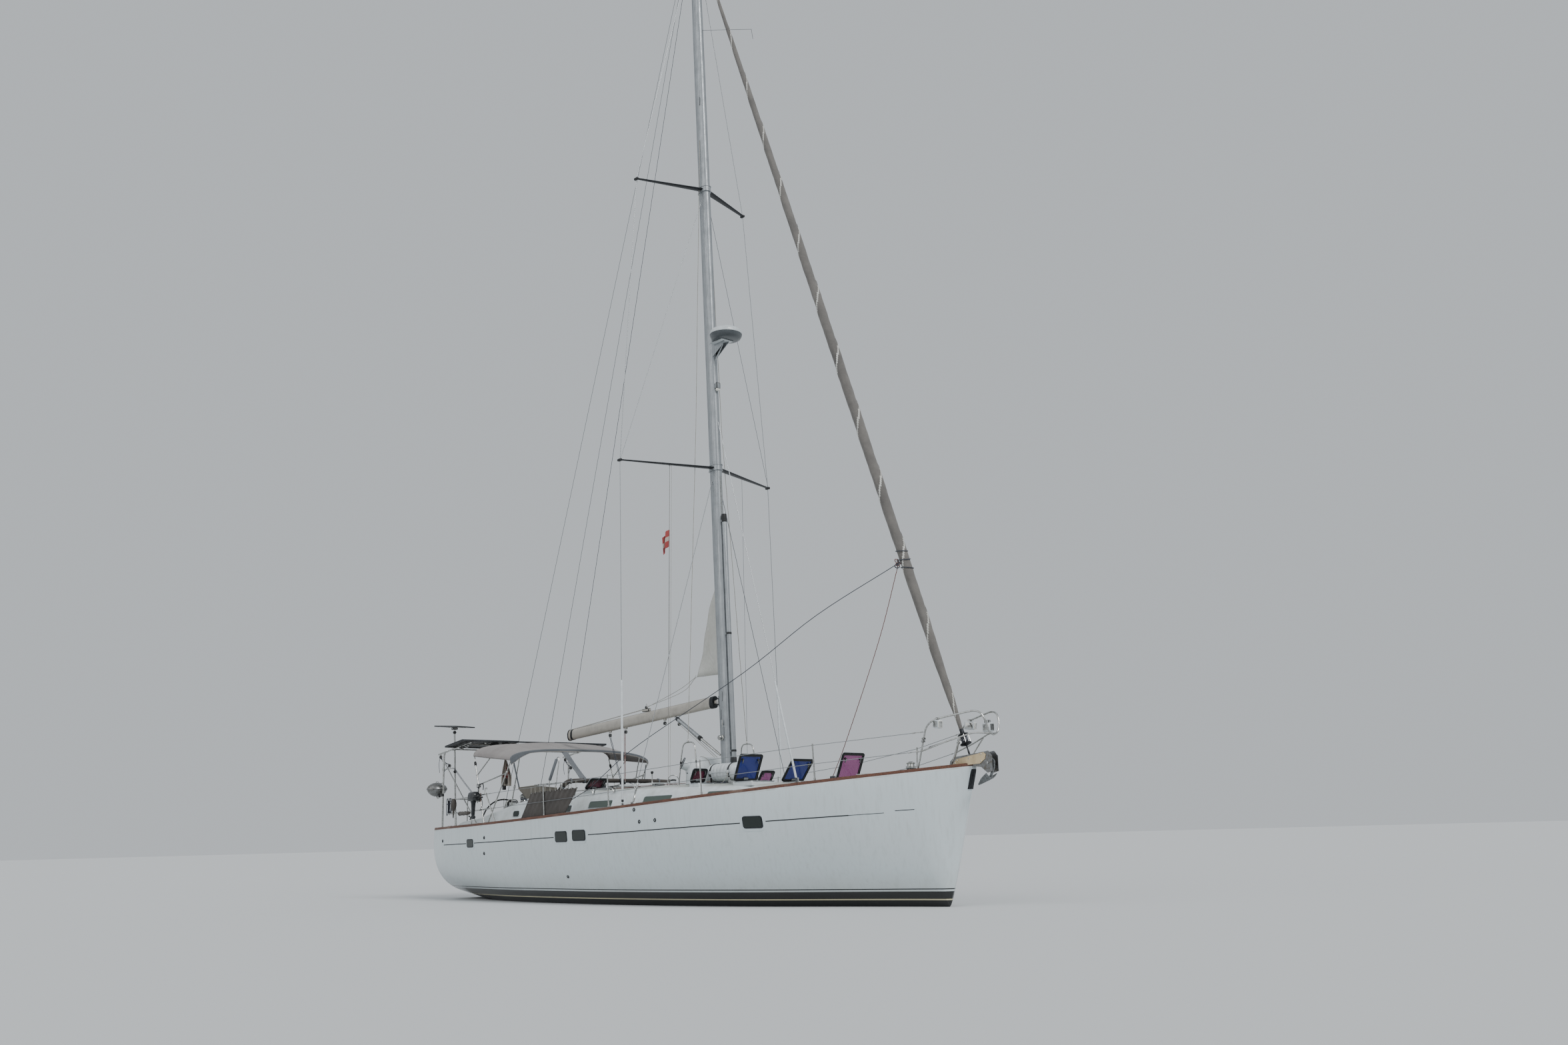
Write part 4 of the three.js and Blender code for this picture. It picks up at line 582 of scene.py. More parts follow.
# Plastics: what each is made of sets its gloss, with handling marks and a fine moulded grain
plasticLook = {
    "white radome ABS": {"color": "#c8ced1", "mark": "#aeb3b3", "rough": 0.28, "grain": 0.004, "coat": 0.2},
    "cream spar paint": {"color": "#a9a49b", "mark": "#8f8a82", "rough": 0.34, "grain": 0.02, "coat": 0.3},
    "cream bow plate": {"color": "#cdb994", "mark": "#a8946f", "rough": 0.45, "grain": 0.01, "coat": 0.1},
    "white stay PVC": {"color": "#c9ced1", "mark": "#a7abad", "rough": 0.4, "grain": 0.006, "coat": 0.0},
    "fender vinyl": {"color": "#a9b0b3", "mark": "#8d9293", "rough": 0.5, "grain": 0.01, "coat": 0.1},
    "black moulded nylon": {"color": "#17181a", "mark": "#2a2b2d", "rough": 0.5, "grain": 0.003,
        "coat": 0.0},
    "black engine enamel": {"color": "#14171a", "mark": "#25292c", "rough": 0.25, "grain": 0.01,
        "coat": 0.3},
    "grey rubber": {"color": "#3b3d3f", "mark": "#4d4f50", "rough": 0.8, "grain": 0.004, "coat": 0.0},
    "lamp lens": {"color": "#d9d9d2", "mark": "#c2c2bb", "rough": 0.12, "grain": 0.01, "coat": 0.6},
    "steel grey enamel": {"color": "#43484c", "mark": "#5a5f62", "rough": 0.32, "grain": 0.01, "coat": 0.2},
}


def mouldedPlastic(name):
    look = plasticLook[name]
    finish, tree, shader, place = newFinish(name, look["color"], look["rough"], Coat_Weight=look["coat"])
    marks = addNode(tree, "TexNoise", {"Scale": 6.0, "Detail": 7, "Roughness": 0.7}, {"Vector": place})
    tint = setStops(addNode(tree, "ValToRGB", links={0: marks.outputs["Fac"]}),
        [(0.45, look["color"]), (0.8, look["mark"])])
    link(tree, tint.outputs[0], shader.inputs["Base Color"])
    rough = addNode(tree, "MapRange", {"From Min": 0.3, "From Max": 0.75, "To Min": look["rough"] * 0.8,
                                       "To Max": look["rough"] * 1.4}, {0: marks.outputs["Fac"]})
    link(tree, rough.outputs[0], shader.inputs["Roughness"])
    grain = addNode(tree, "TexNoise", {"Scale": 1 / look["grain"], "Detail": 2}, {"Vector": place})
    bump = addNode(tree, "Bump", {"Strength": 0.12, "Distance": 0.001}, {"Height": grain.outputs["Fac"]})
    link(tree, bump.outputs[0], shader.inputs["Normal"])
    return finish


# Braided polyester: 16 strands crossing, 2 mm wide, drawn 6 mm; a second colour fills the grooves between
# strands: the red tracer on the red-flecked braid, a lighter blue-grey on the navy braid, and a darker grey
# on the white braid that is painted shade
ropeLook = {"white braid": ("#a9a79f", "#7c7a73"), "navy braid": ("#23262e", "#3b404b"),
    "red fleck braid": ("#8f8a84", "#7b3a36")}


def braidedRope(name):
    main, fleck = (hexColor(c) for c in ropeLook[name])
    finish, tree, shader, place = newFinish(name, ropeLook[name][0], 0.8, Sheen_Weight=0.2)
    plait = addNode(tree, "TexVoronoi", {"Scale": 1 / 0.012, "Randomness": 0.4}, {"Vector": place})
    # The grooves take the second colour; on the white braid that darker grey is painted shade in the grooves
    pick = addNode(tree, "MapRange", {"From Min": 0.35, "From Max": 0.6}, {0: plait.outputs["Distance"]})
    tint = addNode(tree, "Mix", {"data_type": "RGBA", 6: main, 7: fleck}, {0: pick.outputs[0]})
    link(tree, tint.outputs[2], shader.inputs["Base Color"])
    bump = addNode(tree, "Bump", {"Strength": 0.6, "Distance": 0.002, "invert": True},
        {"Height": plait.outputs["Distance"]})
    link(tree, bump.outputs[0], shader.inputs["Normal"])
    return finish


# Cast acrylic and glass: smooth, tinted in the mass, with a haze of salt
glassLook = {
    "blue tinted acrylic": {"color": "#3a4690", "through": 0.75, "rough": 0.06, "ior": 1.49},
    "pink tinted acrylic": {"color": "#b06a9c", "through": 0.75, "rough": 0.08, "ior": 1.49},
    "wine tinted acrylic": {"color": "#6b3346", "through": 0.6, "rough": 0.08, "ior": 1.49},
    "smoked acrylic": {"color": "#1c2623", "through": 0.15, "rough": 0.08, "ior": 1.49},
    "green tinted glass": {"color": "#46544c", "through": 0.2, "rough": 0.06, "ior": 1.52},
}


def clearPane(name):
    look = glassLook[name]
    finish, tree, shader, place = newFinish(name, look["color"], look["rough"], IOR=look["ior"],
                                            Transmission_Weight=look["through"])
    salt = addNode(tree, "TexNoise", {"Scale": 9.0, "Detail": 8, "Roughness": 0.75}, {"Vector": place})
    haze = addNode(tree, "MapRange", {"From Min": 0.4, "From Max": 0.8, "To Min": look["rough"],
        "To Max": look["rough"] + 0.18},
                   {0: salt.outputs["Fac"]})
    link(tree, haze.outputs[0], shader.inputs["Roughness"])
    return finish


# Silicon cells under glass: 156 mm squares with silver lines, a white sheet behind; faces turned downwards
# get a dark green-grey, painted shade under the panel
def solarCells():
    finish, tree, shader, place = newFinish("silicon solar cells", "#0a1020", 0.12, Coat_Weight=0.6)
    cells = addNode(tree, "TexBrick", {"offset": 0.0, "Scale": 1.0, "Mortar Size": 0.003,
        "Brick Width": 0.156, "Row Height": 0.156,
                                       "Color1": hexColor("#0c1428"), "Color2": hexColor("#0f1a33"),
                                       "Mortar": hexColor("#8e949b")}, {"Vector": place})
    fingers = addNode(tree, "TexWave", {"bands_direction": "Y", "Scale": 0.314 / 0.052}, {"Vector": place})
    bars = addNode(tree, "MapRange", {"From Min": 0.985, "From Max": 1.0}, {0: fingers.outputs["Fac"]})
    front = addNode(tree, "Mix", {"data_type": "RGBA", 7: hexColor("#7c8288")},
        {0: bars.outputs[0], 6: cells.outputs["Color"]})
    # Downward faces take a dark green-grey: painted shade under the panel
    facing = addNode(tree, "SeparateXYZ", links={0: addNode(tree, "NewGeometry").outputs["Normal"]})
    upper = addNode(tree, "Math", {"operation": "GREATER_THAN", 1: 0.0}, {0: facing.outputs["Z"]})
    both = addNode(tree, "Mix", {"data_type": "RGBA", 6: hexColor("#232b2c")},
        {0: upper.outputs[0], 7: front.outputs[2]})
    link(tree, both.outputs[2], shader.inputs["Base Color"])
    return finish


# Hide sewn round the wheel's rim: pebbled grain 1 mm apart, drawn 4 mm, darker where hands polish it
def wheelHide():
    finish, tree, shader, place = newFinish("stitched black hide", "#1a1a1b", 0.55)
    pebble = addNode(tree, "TexVoronoi", {"Scale": 1 / 0.004}, {"Vector": place})
    bump = addNode(tree, "Bump", {"Strength": 0.4, "Distance": 0.001},
        {"Height": pebble.outputs["Distance"]})
    link(tree, bump.outputs[0], shader.inputs["Normal"])
    rubbed = addNode(tree, "TexNoise", {"Scale": 8.0, "Detail": 4}, {"Vector": place})
    rough = addNode(tree, "MapRange", {"To Min": 0.35, "To Max": 0.7}, {0: rubbed.outputs["Fac"]})
    link(tree, rough.outputs[0], shader.inputs["Roughness"])
    tint = setStops(addNode(tree, "ValToRGB", links={0: rubbed.outputs["Fac"]}),
        [(0.4, "#141415"), (0.75, "#2a2a2b")])
    link(tree, tint.outputs[0], shader.inputs["Base Color"])
    return finish


gelcoat, deckCoat, antifouling = hullGelcoat(), deckGelcoat(), antifoulingPaint()
mahogany, teak = railMahogany(), laidTeak()
alloy, black, steel, plate, galvanised, bronze = (drawnMetal(name) for name in metalLook)
taupe, slate, umber, olive, sunStrip, sailcloth, redCloth, paleCloth = (wovenCloth(name)
    for name in clothLook)
radomeWhite, sparCream, bowCream, stayPvc, vinyl, nylon, enamel, rubber, lens, greyEnamel = (
    mouldedPlastic(name) for name in plasticLook)
whiteRope, navyRope, fleckRope = (braidedRope(name) for name in ropeLook)
bluePane, pinkPane, winePane, smokedPane, greenPane = (clearPane(name) for name in glassLook)
wire, cells, hide = strandedWire(), solarCells(), wheelHide()
print("finishes made:", len(bpy.data.materials))


# Boolean work on gathered meshes
def workObject(bm):
    bmesh.ops.recalc_face_normals(bm, faces=bm.faces)
    mesh = bpy.data.meshes.new("work")
    bm.to_mesh(mesh)
    bm.free()
    made = bpy.data.objects.new("work", mesh)
    bpy.context.scene.collection.objects.link(made)
    return made


def combined(bm, steps):
    # Applies steps of (operation, gathered mesh) to a gathered mesh
    base = workObject(bm)
    tools = []
    for operation, tool in steps:
        tools.append(workObject(tool))
        step = base.modifiers.new("step", "BOOLEAN")
        step.operation = operation
        step.solver = "MANIFOLD"
        step.object = tools[-1]
    result = bpy.data.meshes.new_from_object(base.evaluated_get(bpy.context.evaluated_depsgraph_get()))
    for made in [base, *tools]:
        bpy.data.objects.remove(made)
    bm = bmesh.new()
    bm.from_mesh(result)
    for face in bm.faces:
        face.smooth = True
        face.material_index = 0
    return bm


def blockMesh(low, high, edge=0.0):
    bm = bmesh.new()
    addBlock(bm, low, high, 0, edge)
    return bm


def ringsMesh(rings):
    bm = bmesh.new()
    addRings(bm, rings)
    return bm


# The open places of the deck: cockpit, helm, way aft and way below, grown outwards for the lining's back
hollows = [
    {"name": "seats", "x": (-4.45, -2.35), "half": 1.25, "low": 1.42},
    {"name": "footwell", "x": (-4.45, -2.35), "half": 0.56, "low": 0.96},
    {"name": "helm", "x": (-6.25, -4.45), "half": 1.38, "low": 0.96},
    {"name": "wheel slot", "x": (-5.40, -5.12), "half": 1.552, "low": 0.96},
    {"name": "way aft", "x": (-7.20, -6.25), "half": 0.29, "low": 0.96},
    {"name": "way below", "x": (-2.45, -1.65), "half": 0.33, "low": 1.31, "top": 2.06},
]


def hollowSteps(grow):
    steps = []
    for row in hollows:
        low, high = row["x"]
        reach = row["half"] + grow
        # Neighbouring boxes overlap a little so that no wall stands between them
        steps.append(("DIFFERENCE", blockMesh((low - grow - 0.001, -reach, row["low"] - grow),
                                              (high + grow + 0.001, reach, row.get("top", 2.4) + grow))))
    return steps


# Topsides
def hullRing(x, points=30):
    top = sheerZ(x) - 0.03
    depth = top - hullBottom(x)
    half, full = hullHalf(x), smoothAt(hullRows, "full", x)
    aft = min(max((-6.2 - x) / 0.8, 0), 1)
    side = []
    for k in range(points + 1):
        turn = math.pi / 2 * k / points
        down = depth * math.sin(turn) ** (2 / full)
        side.append((x - 0.09 * aft * down / depth, -half * math.cos(turn) ** (2 / full), top - down))
    return side + [(px, -py, pz) for px, py, pz in reversed(side[:-1])]


def makeHull():
    stations = [-7.0 + 13.98 * (k / 110) for k in range(111)]
    bm = ringsMesh([hullRing(x) for x in stations])
    platform = ("DIFFERENCE", blockMesh((-7.3, -0.76, 0.48), (-6.64, 0.76, 2.0), 0.05))
    bm = combined(bm, hollowSteps(0.0253) + [platform])
    return finishPiece(bm, "topsides", [gelcoat], stands=["hull"], sharp=32)


# Lines and fittings let into the topsides; x runs and heights follow the sheer
coveRuns = [(-6.321, -1.514), (-0.399, 3.339), (3.814, 5.205)]
portlights = [
    {"x": (-5.07, -4.80), "z": (1.087, 1.222), "frame": (-5.12, -4.75, 1.03, 1.29)},
    {"x": (-1.439, -1.077), "z": (1.145, 1.308), "frame": (-1.503, -0.459, 1.10, 1.395)},
    {"x": (-0.870, -0.489), "z": (1.159, 1.321), "frame": None},
    {"x": (3.415, 3.747), "z": (1.281, 1.444), "frame": (3.37, 3.776, 1.221, 1.505)},
]
drains = [(1.076, 1.439), (1.48, 1.455), (0.944, 1.648), (-4.264, 1.257), (-6.381, 1.22), (-1.273, 0.507),
    (-4.311, 0.949)]


def coveZ(x):
    d = x + 6.321
    return 1.136 + 0.01182 * d + 0.001112 * d * d


def onSide(x, z, side, proud=0.0):
    # A point on the topsides and a small step off it
    return Vector((x, side * (hullSide(x, z) + proud), z))


def skinPatch(bm, outline, middle, place, proud, slot):
    # A flat-fronted patch that follows a surface, from an outline of (x, z) and the surface's own function
    front = [bm.verts.new(place(x, z, proud)) for x, z in outline]
    back = [bm.verts.new(place(x, z, -0.004)) for x, z in outline]
    centre = bm.verts.new(place(*middle, proud))
    for k in range(len(front)):
        after = (k + 1) % len(front)
        bm.faces.new((front[k], front[after], centre)).material_index = slot
        bm.faces.new((front[k], front[after], back[after], back[k])).material_index = slot


def shiftedOutline(x0, x1, z0, z1, corner):
    return [((x0 + x1) / 2 + a, (z0 + z1) / 2 + b) for a, b in roundedOutline(x1 - x0, z1 - z0, corner)]


def makeSideFittings(side):
    bm = bmesh.new()

    def onSkin(x, z, proud):
        return onSide(x, z, side, proud)

    runs = [(a, b, 0.017) for a, b in coveRuns] + [(5.205, 5.733, 0.009), (5.896, 6.177, 0.011)]
    for start, end, thick in runs:
        steps = max(3, int((end - start) / 0.12))
        xs = [start + (end - start) * k / steps for k in range(steps + 1)]
        rise = 0.022 if start > 5.8 else 0
        rows = [[onSide(x, coveZ(x) + rise + up, side, out) for x in xs]
                for up, out in ((-thick / 2, -0.002), (-thick / 2, 0.0015), (thick / 2, 0.0015),
                    (thick / 2, -0.002))]
        addRings(bm, rows, 1, caps=False, wrap=False)
    for port in portlights:
        (x0, x1), (z0, z1) = port["x"], port["z"]
        middle = ((x0 + x1) / 2, (z0 + z1) / 2)
        if port["frame"]:
            a, b, c, d = port["frame"]
            skinPatch(bm, shiftedOutline(a, b, c, d, 0.07), ((a + b) / 2, (c + d) / 2), onSkin, 0.006, 0)
        skinPatch(bm, shiftedOutline(x0 - 0.018, x1 + 0.018, z0 - 0.018, z1 + 0.018, 0.045), middle, onSkin,
            0.012, 2)
        skinPatch(bm, shiftedOutline(x0, x1, z0, z1, 0.035), middle, onSkin, 0.015, 3)
    for x, z in drains:
        place = onSide(x, z, side)
        out = Vector((hullHalf(x - 0.05) - hullHalf(x + 0.05), side * 0.1, 0)).normalized()
        addTurned(bm, [(0.034, -0.01), (0.034, 0.004), (0.026, 0.010), (0.017, 0.010), (0.015, -0.004),
            (0.0, -0.004)],
                  place, out, 20, 1)
    return finishPiece(bm, "side_fittings_" + ("port" if side > 0 else "stbd"),
        [gelcoat, nylon, black, smokedPane])


def makeStemGuard():
    # Steel strip folded round the top of the stem
    bm = bmesh.new()
    rings = []
    for k in range(9):
        z = 2.06 - 0.30 * k / 8
        x = 6.98 - (2.03 - z) * 0.28 / 0.93 if z < 2.03 else 6.985
        ring = []
        for turn in (-100, -60, -20, 20, 60, 100):
            a = math.radians(turn)
            ring.append((x - 0.03 + 0.045 * math.cos(a), 0.06 * math.sin(a), z))
        rings.append(ring)
    addRings(bm, rings, 0, caps=False, wrap=False)
    return finishPiece(bm, "stem_guard", [black], sharp=50)


# Deck, coachroof and cockpit mouldings
def deckRing(x):
    half = hullHalf(x)
    low, edge = sheerZ(x) - 0.0297, sheerZ(x)
    inner = max(half - 0.046, half * 0.2)
    side = [(x, -half, low), (x, -half, edge - 0.006), (x, -half + 0.006, edge)]
    side += [(x, -inner * s, deckTop(x, inner * s)) for s in (1, 0.9, 0.8, 0.65, 0.5, 0.35, 0.18, 0)]
    return side + [(px, -py, pz) for px, py, pz in reversed(side[:-1])]


def roofRing(x):
    # Side slope, a soft shoulder, and the crowned top
    foot, shoulder, low, crown = (smoothAt(roofRows, key, x) for key in ("foot", "shoulder", "low", "crown"))
    sunk = sheerZ(x) - 0.015
    start = Vector((foot, sunk))
    corner = Vector((shoulder, low))
    inward = min(0.16, shoulder * 0.45)
    below = corner.lerp(start, min(0.45, 0.16 / max(0.01, (corner - start).length)))
    above = Vector((shoulder - inward, crown - (crown - low) * (1 - inward / shoulder) ** 2))
    flare = start.lerp(corner, 0.16)
    profile = [start, flare]
    for k in range(7):
        t = k / 6
        profile.append(below.lerp(corner, t).lerp(corner.lerp(above, t), t))
    for s in (0.8, 0.6, 0.4, 0.2, 0):
        share = (1 - inward / shoulder) * s
        profile.append(Vector((shoulder * share, crown - (crown - low) * share * share)))
    side = [(x, -y, z) for y, z in profile]
    return side + [(px, -py, pz) for px, py, pz in reversed(side[:-1])]


coamingRows = [
    {"x": -6.25, "foot": 1.60, "outer": 1.56, "inner": 1.30, "top": 1.60},
    {"x": -5.30, "foot": 1.69, "outer": 1.63, "inner": 1.25, "top": 1.66},
    {"x": -4.40, "foot": 1.66, "outer": 1.58, "inner": 1.20, "top": 1.83},
    {"x": -3.50, "foot": 1.56, "outer": 1.48, "inner": 1.18, "top": 1.99},
    {"x": -2.34, "foot": 1.455, "outer": 1.395, "inner": 1.18, "top": 2.045},
]


def coamingRing(x, side):
    foot, outer, inner, top = (smoothAt(coamingRows, key, x) for key in ("foot", "outer", "inner", "top"))
    sunk = sheerZ(x) - 0.01
    # The aft end comes down to the deck in a quarter round
    fall = max(0.0, (-5.95 - x) / 0.3)
    top = sunk + 0.03 + (top - sunk - 0.03) * math.sqrt(max(0, 1 - fall * fall))
    soft = min(0.07, 0.45 * (top - sunk))
    ring = [(foot, sunk), (foot * 0.4 + outer * 0.6, sunk + (top - sunk) * 0.5), (outer, top - soft)]
    for k in range(1, 6):
        turn = math.pi / 2 * k / 5
        ring.append((outer - soft * (1 - math.cos(turn)), top - soft * (1 - math.sin(turn))))
    ring += [(inner + 0.02, top), (inner, top - 0.02), (inner, sunk)]
    return [(x, side * y, z) for y, z in ring]


hatches = [
    {"name": "saloon_stbd", "x": 2.17, "y": -0.56, "width": 0.54, "length": 0.50, "open": 66,
        "pane": bluePane},
    {"name": "saloon_port", "x": 2.17, "y": 0.56, "width": 0.54, "length": 0.50, "open": 50,
        "pane": bluePane},
    {"name": "fore", "x": 4.16, "y": 0.0, "width": 0.52, "length": 0.50, "open": 66, "pane": pinkPane},
    {"name": "side_stbd", "x": 1.11, "y": -0.80, "width": 0.34, "length": 0.27, "open": 64,
        "pane": winePane},
    {"name": "side_port", "x": 1.11, "y": 0.80, "width": 0.34, "length": 0.27, "open": 56, "pane": pinkPane},
    {"name": "galley", "x": -1.95, "y": -0.98, "width": 0.40, "length": 0.30, "open": 40, "pane": winePane},
]


def surfaceZ(x, y):
    return max(deckTop(x, y), roofTop(x, y))


def hatchSeat(hatch):
    corners = [(hatch["x"] + along, hatch["y"] + share * hatch["width"])
               for along in (0, hatch["length"]) for share in (-0.5, 0.5)]
    return max(surfaceZ(*corner) for corner in corners) + 0.012


def hatchBox(hatch, inset, low, high, edge=0.0):
    z = hatchSeat(hatch)
    back = hatch["x"] - 0.012 if inset == 0 else hatch["x"] + inset
    return blockMesh((back, hatch["y"] - hatch["width"] / 2 + inset, z + low),
                     (hatch["x"] + hatch["length"] - inset, hatch["y"] + hatch["width"] / 2 - inset,
                         z + high), edge)


def makeDeck():
    stations = [-7.0 + 13.98 * k / 96 for k in range(97)]
    bm = ringsMesh([deckRing(x) for x in stations])
    roofs = [-2.35 + 6.35 * k / 60 for k in range(61)]
    steps = [("UNION", ringsMesh([roofRing(x) for x in roofs]))]
    steps += [("UNION", blockMesh((-1.70, -0.43, 2.04), (-0.70, 0.43, 2.205), 0.05))]
    steps += [("UNION", hatchBox(hatch, 0, -0.086, 0, 0.008)) for hatch in hatches]
    steps += hollowSteps(0.0253)
    steps += [("DIFFERENCE", blockMesh((-7.3, -0.76, 0.4), (-6.64, 0.76, 2.0), 0.03))]
    steps += [("DIFFERENCE", hatchBox(hatch, 0.03, -0.07, 0.05)) for hatch in hatches]
    return finishPiece(combined(bm, steps), "deck_moulding", [deckCoat], stands=["deck"], sharp=30)


def makeCockpit():
    # Lining walls with both coamings
    low = min(row["low"] for row in hollows)
    keep = blockMesh((-6.64, -0.315, low - 0.025), (-6.2, 0.315, 1.6))
    shape = [
        ("UNION", blockMesh((-6.275, -1.405, low - 0.025), (-4.425, 1.405, 1.50))),
        ("UNION", blockMesh((-5.425, -1.577, low - 0.025), (-5.095, 1.577, 1.50))),
        ("UNION", blockMesh((-4.475, -0.585, low - 0.025), (-2.325, 0.585, 1.56))),
        ("UNION", blockMesh((-4.475, -1.275, 1.395), (-2.325, 1.275, 1.56))),
        ("UNION", blockMesh((-2.352, -1.275, 1.5), (-2.325, 1.275, 1.95))),
        ("UNION", blockMesh((-2.352, -0.355, 1.285), (-1.625, 0.355, 2.085))),
    ]
    for side in (-1, 1):
        xs = [-6.25 + 3.91 * k / 48 for k in range(49)]
        shape.append(("UNION", ringsMesh([coamingRing(x, side) for x in xs])))
    made = combined(keep, shape + hollowSteps(0))
    return finishPiece(made, "cockpit_moulding", [deckCoat], stands=["cockpit"], sharp=30)


print("deck outline ready")
makeHull()
print("topsides made")
for side in (-1, 1):
    makeSideFittings(side)
makeStemGuard()
makeDeck()
print("deck moulding made")
makeCockpit()
print("cockpit moulding made")


# Timber rail along the deck's edge, worn round at its top corners
def makeToeRail():
    bm = bmesh.new()
    xs = [-7.0 + 13.98 * k / 120 for k in range(121)]
    for side in (-1, 1):
        rings = []
        for x in xs:
            outer, inner, z = hullHalf(x) - 0.002, hullHalf(x) - 0.040, sheerZ(x) + 0.0004
            profile = [(outer, z), (outer - 0.004, z + 0.036), (outer - 0.009, z + 0.045),
                (outer - 0.015, z + 0.048),
                       (inner + 0.010, z + 0.048), (inner + 0.003, z + 0.044), (inner, z + 0.036),
                           (inner, z)]
            rings.append([(x, side * y, h) for y, h in profile])
        addRings(bm, rings, 0)
    addBlock(bm, (6.945, -0.046, sheerZ(6.99) + 0.0005), (6.994, 0.046, sheerZ(6.98) + 0.048), 0, 0.012)
    return finishPiece(bm, "toe_rail_timber", [mahogany], stands=["toe_rail"], sharp=60)


# Spars
def ovalRing(centre, chord, width, lean=0.0, sides=32, power=0.8):
    ring = []
    for k in range(sides):
        turn = 2 * math.pi * k / sides
        c, s = math.cos(turn), math.sin(turn)
        along = math.copysign(abs(c) ** power, c) * chord / 2
        ring.append(centre + Vector((along, math.copysign(abs(s) ** power, s) * width / 2, along * lean)))
    return ring


def makeMast():
    m = mastLine
    bm = bmesh.new()
    heights = [2.062, 3.0, 6.0, 10.0, 14.0, 17.0, 18.4, 19.3, m["head"] - 0.02]
    rings = []
    for z in heights:
        thin = 1 - 0.10 * max(0, z - 17) / 3
        rings.append(ovalRing(mastAt(z), m["chord"] * thin, m["width"] * thin, m["lean"]))
    addRings(bm, rings, 0)
    # Luff slot down the aft face, and the feeder's lips
    for off in (-0.018, 0.018):
        addRings(bm, [[mastAt(z, a, off + b) for a, b in
                       ((-0.136, -0.006), (-0.141, -0.004), (-0.141, 0.004), (-0.136, 0.006))]
                      for z in (3.95, 8.0, 14.0, 19.2)], 0)
    addRings(bm, [[mastAt(z, a, b) for a, b in ((-0.12, -0.012), (-0.1365, -0.012), (-0.1365, 0.012),
        (-0.12, 0.012))]
                  for z in (3.95, 8.0, 14.0, 19.2)], 1)
    # Rubber boot at the deck with its clamp, and the step's collar
    boot = [(2.062, 0.36, 0.26), (2.10, 0.355, 0.255), (2.12, 0.325, 0.225), (2.20, 0.31, 0.21),
        (2.27, 0.287, 0.187)]
    addRings(bm, [ovalRing(mastAt(z), c, w, m["lean"]) for z, c, w in boot], 2)
    addRings(bm, [ovalRing(mastAt(z), 0.296, 0.196, m["lean"]) for z in (2.235, 2.255)], 3)
    for side in (-1, 1):
        face = side * (m["width"] / 2 - 0.004)
        # Halyard exits, cleats and a small winch
        for z, forward in ((3.05, 0.03), (3.38, -0.03), (3.72, 0.02), (16.2, 0.06), (19.4, 0.0)):
            addBlock(bm, (mastX(z) + forward - 0.012, min(face, face + side * 0.009), z - 0.09),
                     (mastX(z) + forward + 0.012, max(face, face + side * 0.009), z + 0.09), 1, 0.004)
        winch = mastAt(2.95, -0.02, face)
        addTurned(bm, [(0.052, 0.0), (0.052, 0.018), (0.034, 0.028), (0.034, 0.066), (0.046, 0.078),
            (0.040, 0.09),
                       (0.018, 0.094), (0.0, 0.094)], winch, (0, side, 0), 24, 3)
        addTube(bm, [mastAt(3.21, 0.03, face + side * 0.028) + Vector((0, 0, d)) for d in (-0.07, 0, 0.07)],
            0.011, 10, 3,
                taper=[0.5, 1.2, 0.5])
        addBlock(bm, (mastX(3.21) + 0.018, min(face, face + side * 0.03), 3.20),
                 (mastX(3.21) + 0.042, max(face, face + side * 0.03), 3.22), 3, 0.003)
    # Masthead crane with sheaves, and tangs
    top = mastX(m["head"])
    addRings(bm, [[(top + x, y, z) for y in (-0.045, 0.045) for z in ((low, high) if y < 0 else (high, low))]
                  for x, low, high in ((-0.33, 20.085, 20.15), (-0.15, 20.02, 20.168), (0.10, 20.02, 20.168),
                                       (0.19, 20.06, 20.15))], 0, smooth=False)
    for x in (-0.27, 0.145):
        addTurned(bm, [(0.0, -0.052), (0.045, -0.052), (0.05, -0.046), (0.05, 0.046), (0.045, 0.052),
            (0.0, 0.052)],
                  (top + x, 0, 20.10), (0, 1, 0), 24, 1)
    # Deck light and steaming lamp
    addBlock(bm, (mastX(9.86) + 0.128, -0.05, 9.80), (mastX(9.86) + 0.20, 0.05, 9.93), 1, 0.015)
    addTurned(bm, [(0.0, 0.0), (0.045, 0.0), (0.05, -0.03), (0.03, -0.055), (0.0, -0.06)],
              (mastX(9.8) + 0.175, 0, 9.81), (0.3, 0, 1), 20, 4)
    return finishPiece(bm, "mast_extrusion", [alloy, nylon, rubber, steel, lens], stands=["mast"])


spreaders = [
    {"node": "lower_spreaders", "z": 8.192, "reach": 1.866, "sweep": 0.586},
    {"node": "upper_spreaders", "z": 14.183, "reach": 1.403, "sweep": 0.442},
]


def makeSpreaders(row):
    bm = bmesh.new()
    z = row["z"]
    for low, high, grow in ((-0.06, -0.045, 0.045), (-0.045, 0.045, 0.03), (0.045, 0.06, 0.045)):
        rings = [ovalRing(mastAt(z + h), mastLine["chord"] + grow, mastLine["width"] + grow,
            mastLine["lean"])
                 for h in (low, high)]
        addRings(bm, rings, 1)
    for side in (-1, 1):
        rings = []
        for k in range(13):
            share = k / 12
            out = 0.07 + (row["reach"] - 0.105) * share
            wide = 0.175 - 0.095 * share
            thick = 0.052 - 0.022 * share
            x = mastX(z) - row["sweep"] * out / row["reach"]
            ring = []
            for i in range(16):
                turn = 2 * math.pi * i / 16
                c = math.cos(turn)
                ring.append((x + wide * (0.5 * c + 0.08), side * out,
                    z + thick / 2 * math.sin(turn) * (0.75 + 0.25 * c)))
            rings.append(ring)
        addRings(bm, rings, 0)
        tip = Vector((mastX(z) - row["sweep"], side * row["reach"], z))
        addBlock(bm, tip + Vector((-0.06, -0.028, -0.024)), tip + Vector((0.05, 0.028, 0.024)), 2, 0.014)
    return finishPiece(bm, row["node"] + "_foils", [black, alloy, nylon], stands=[row["node"]])


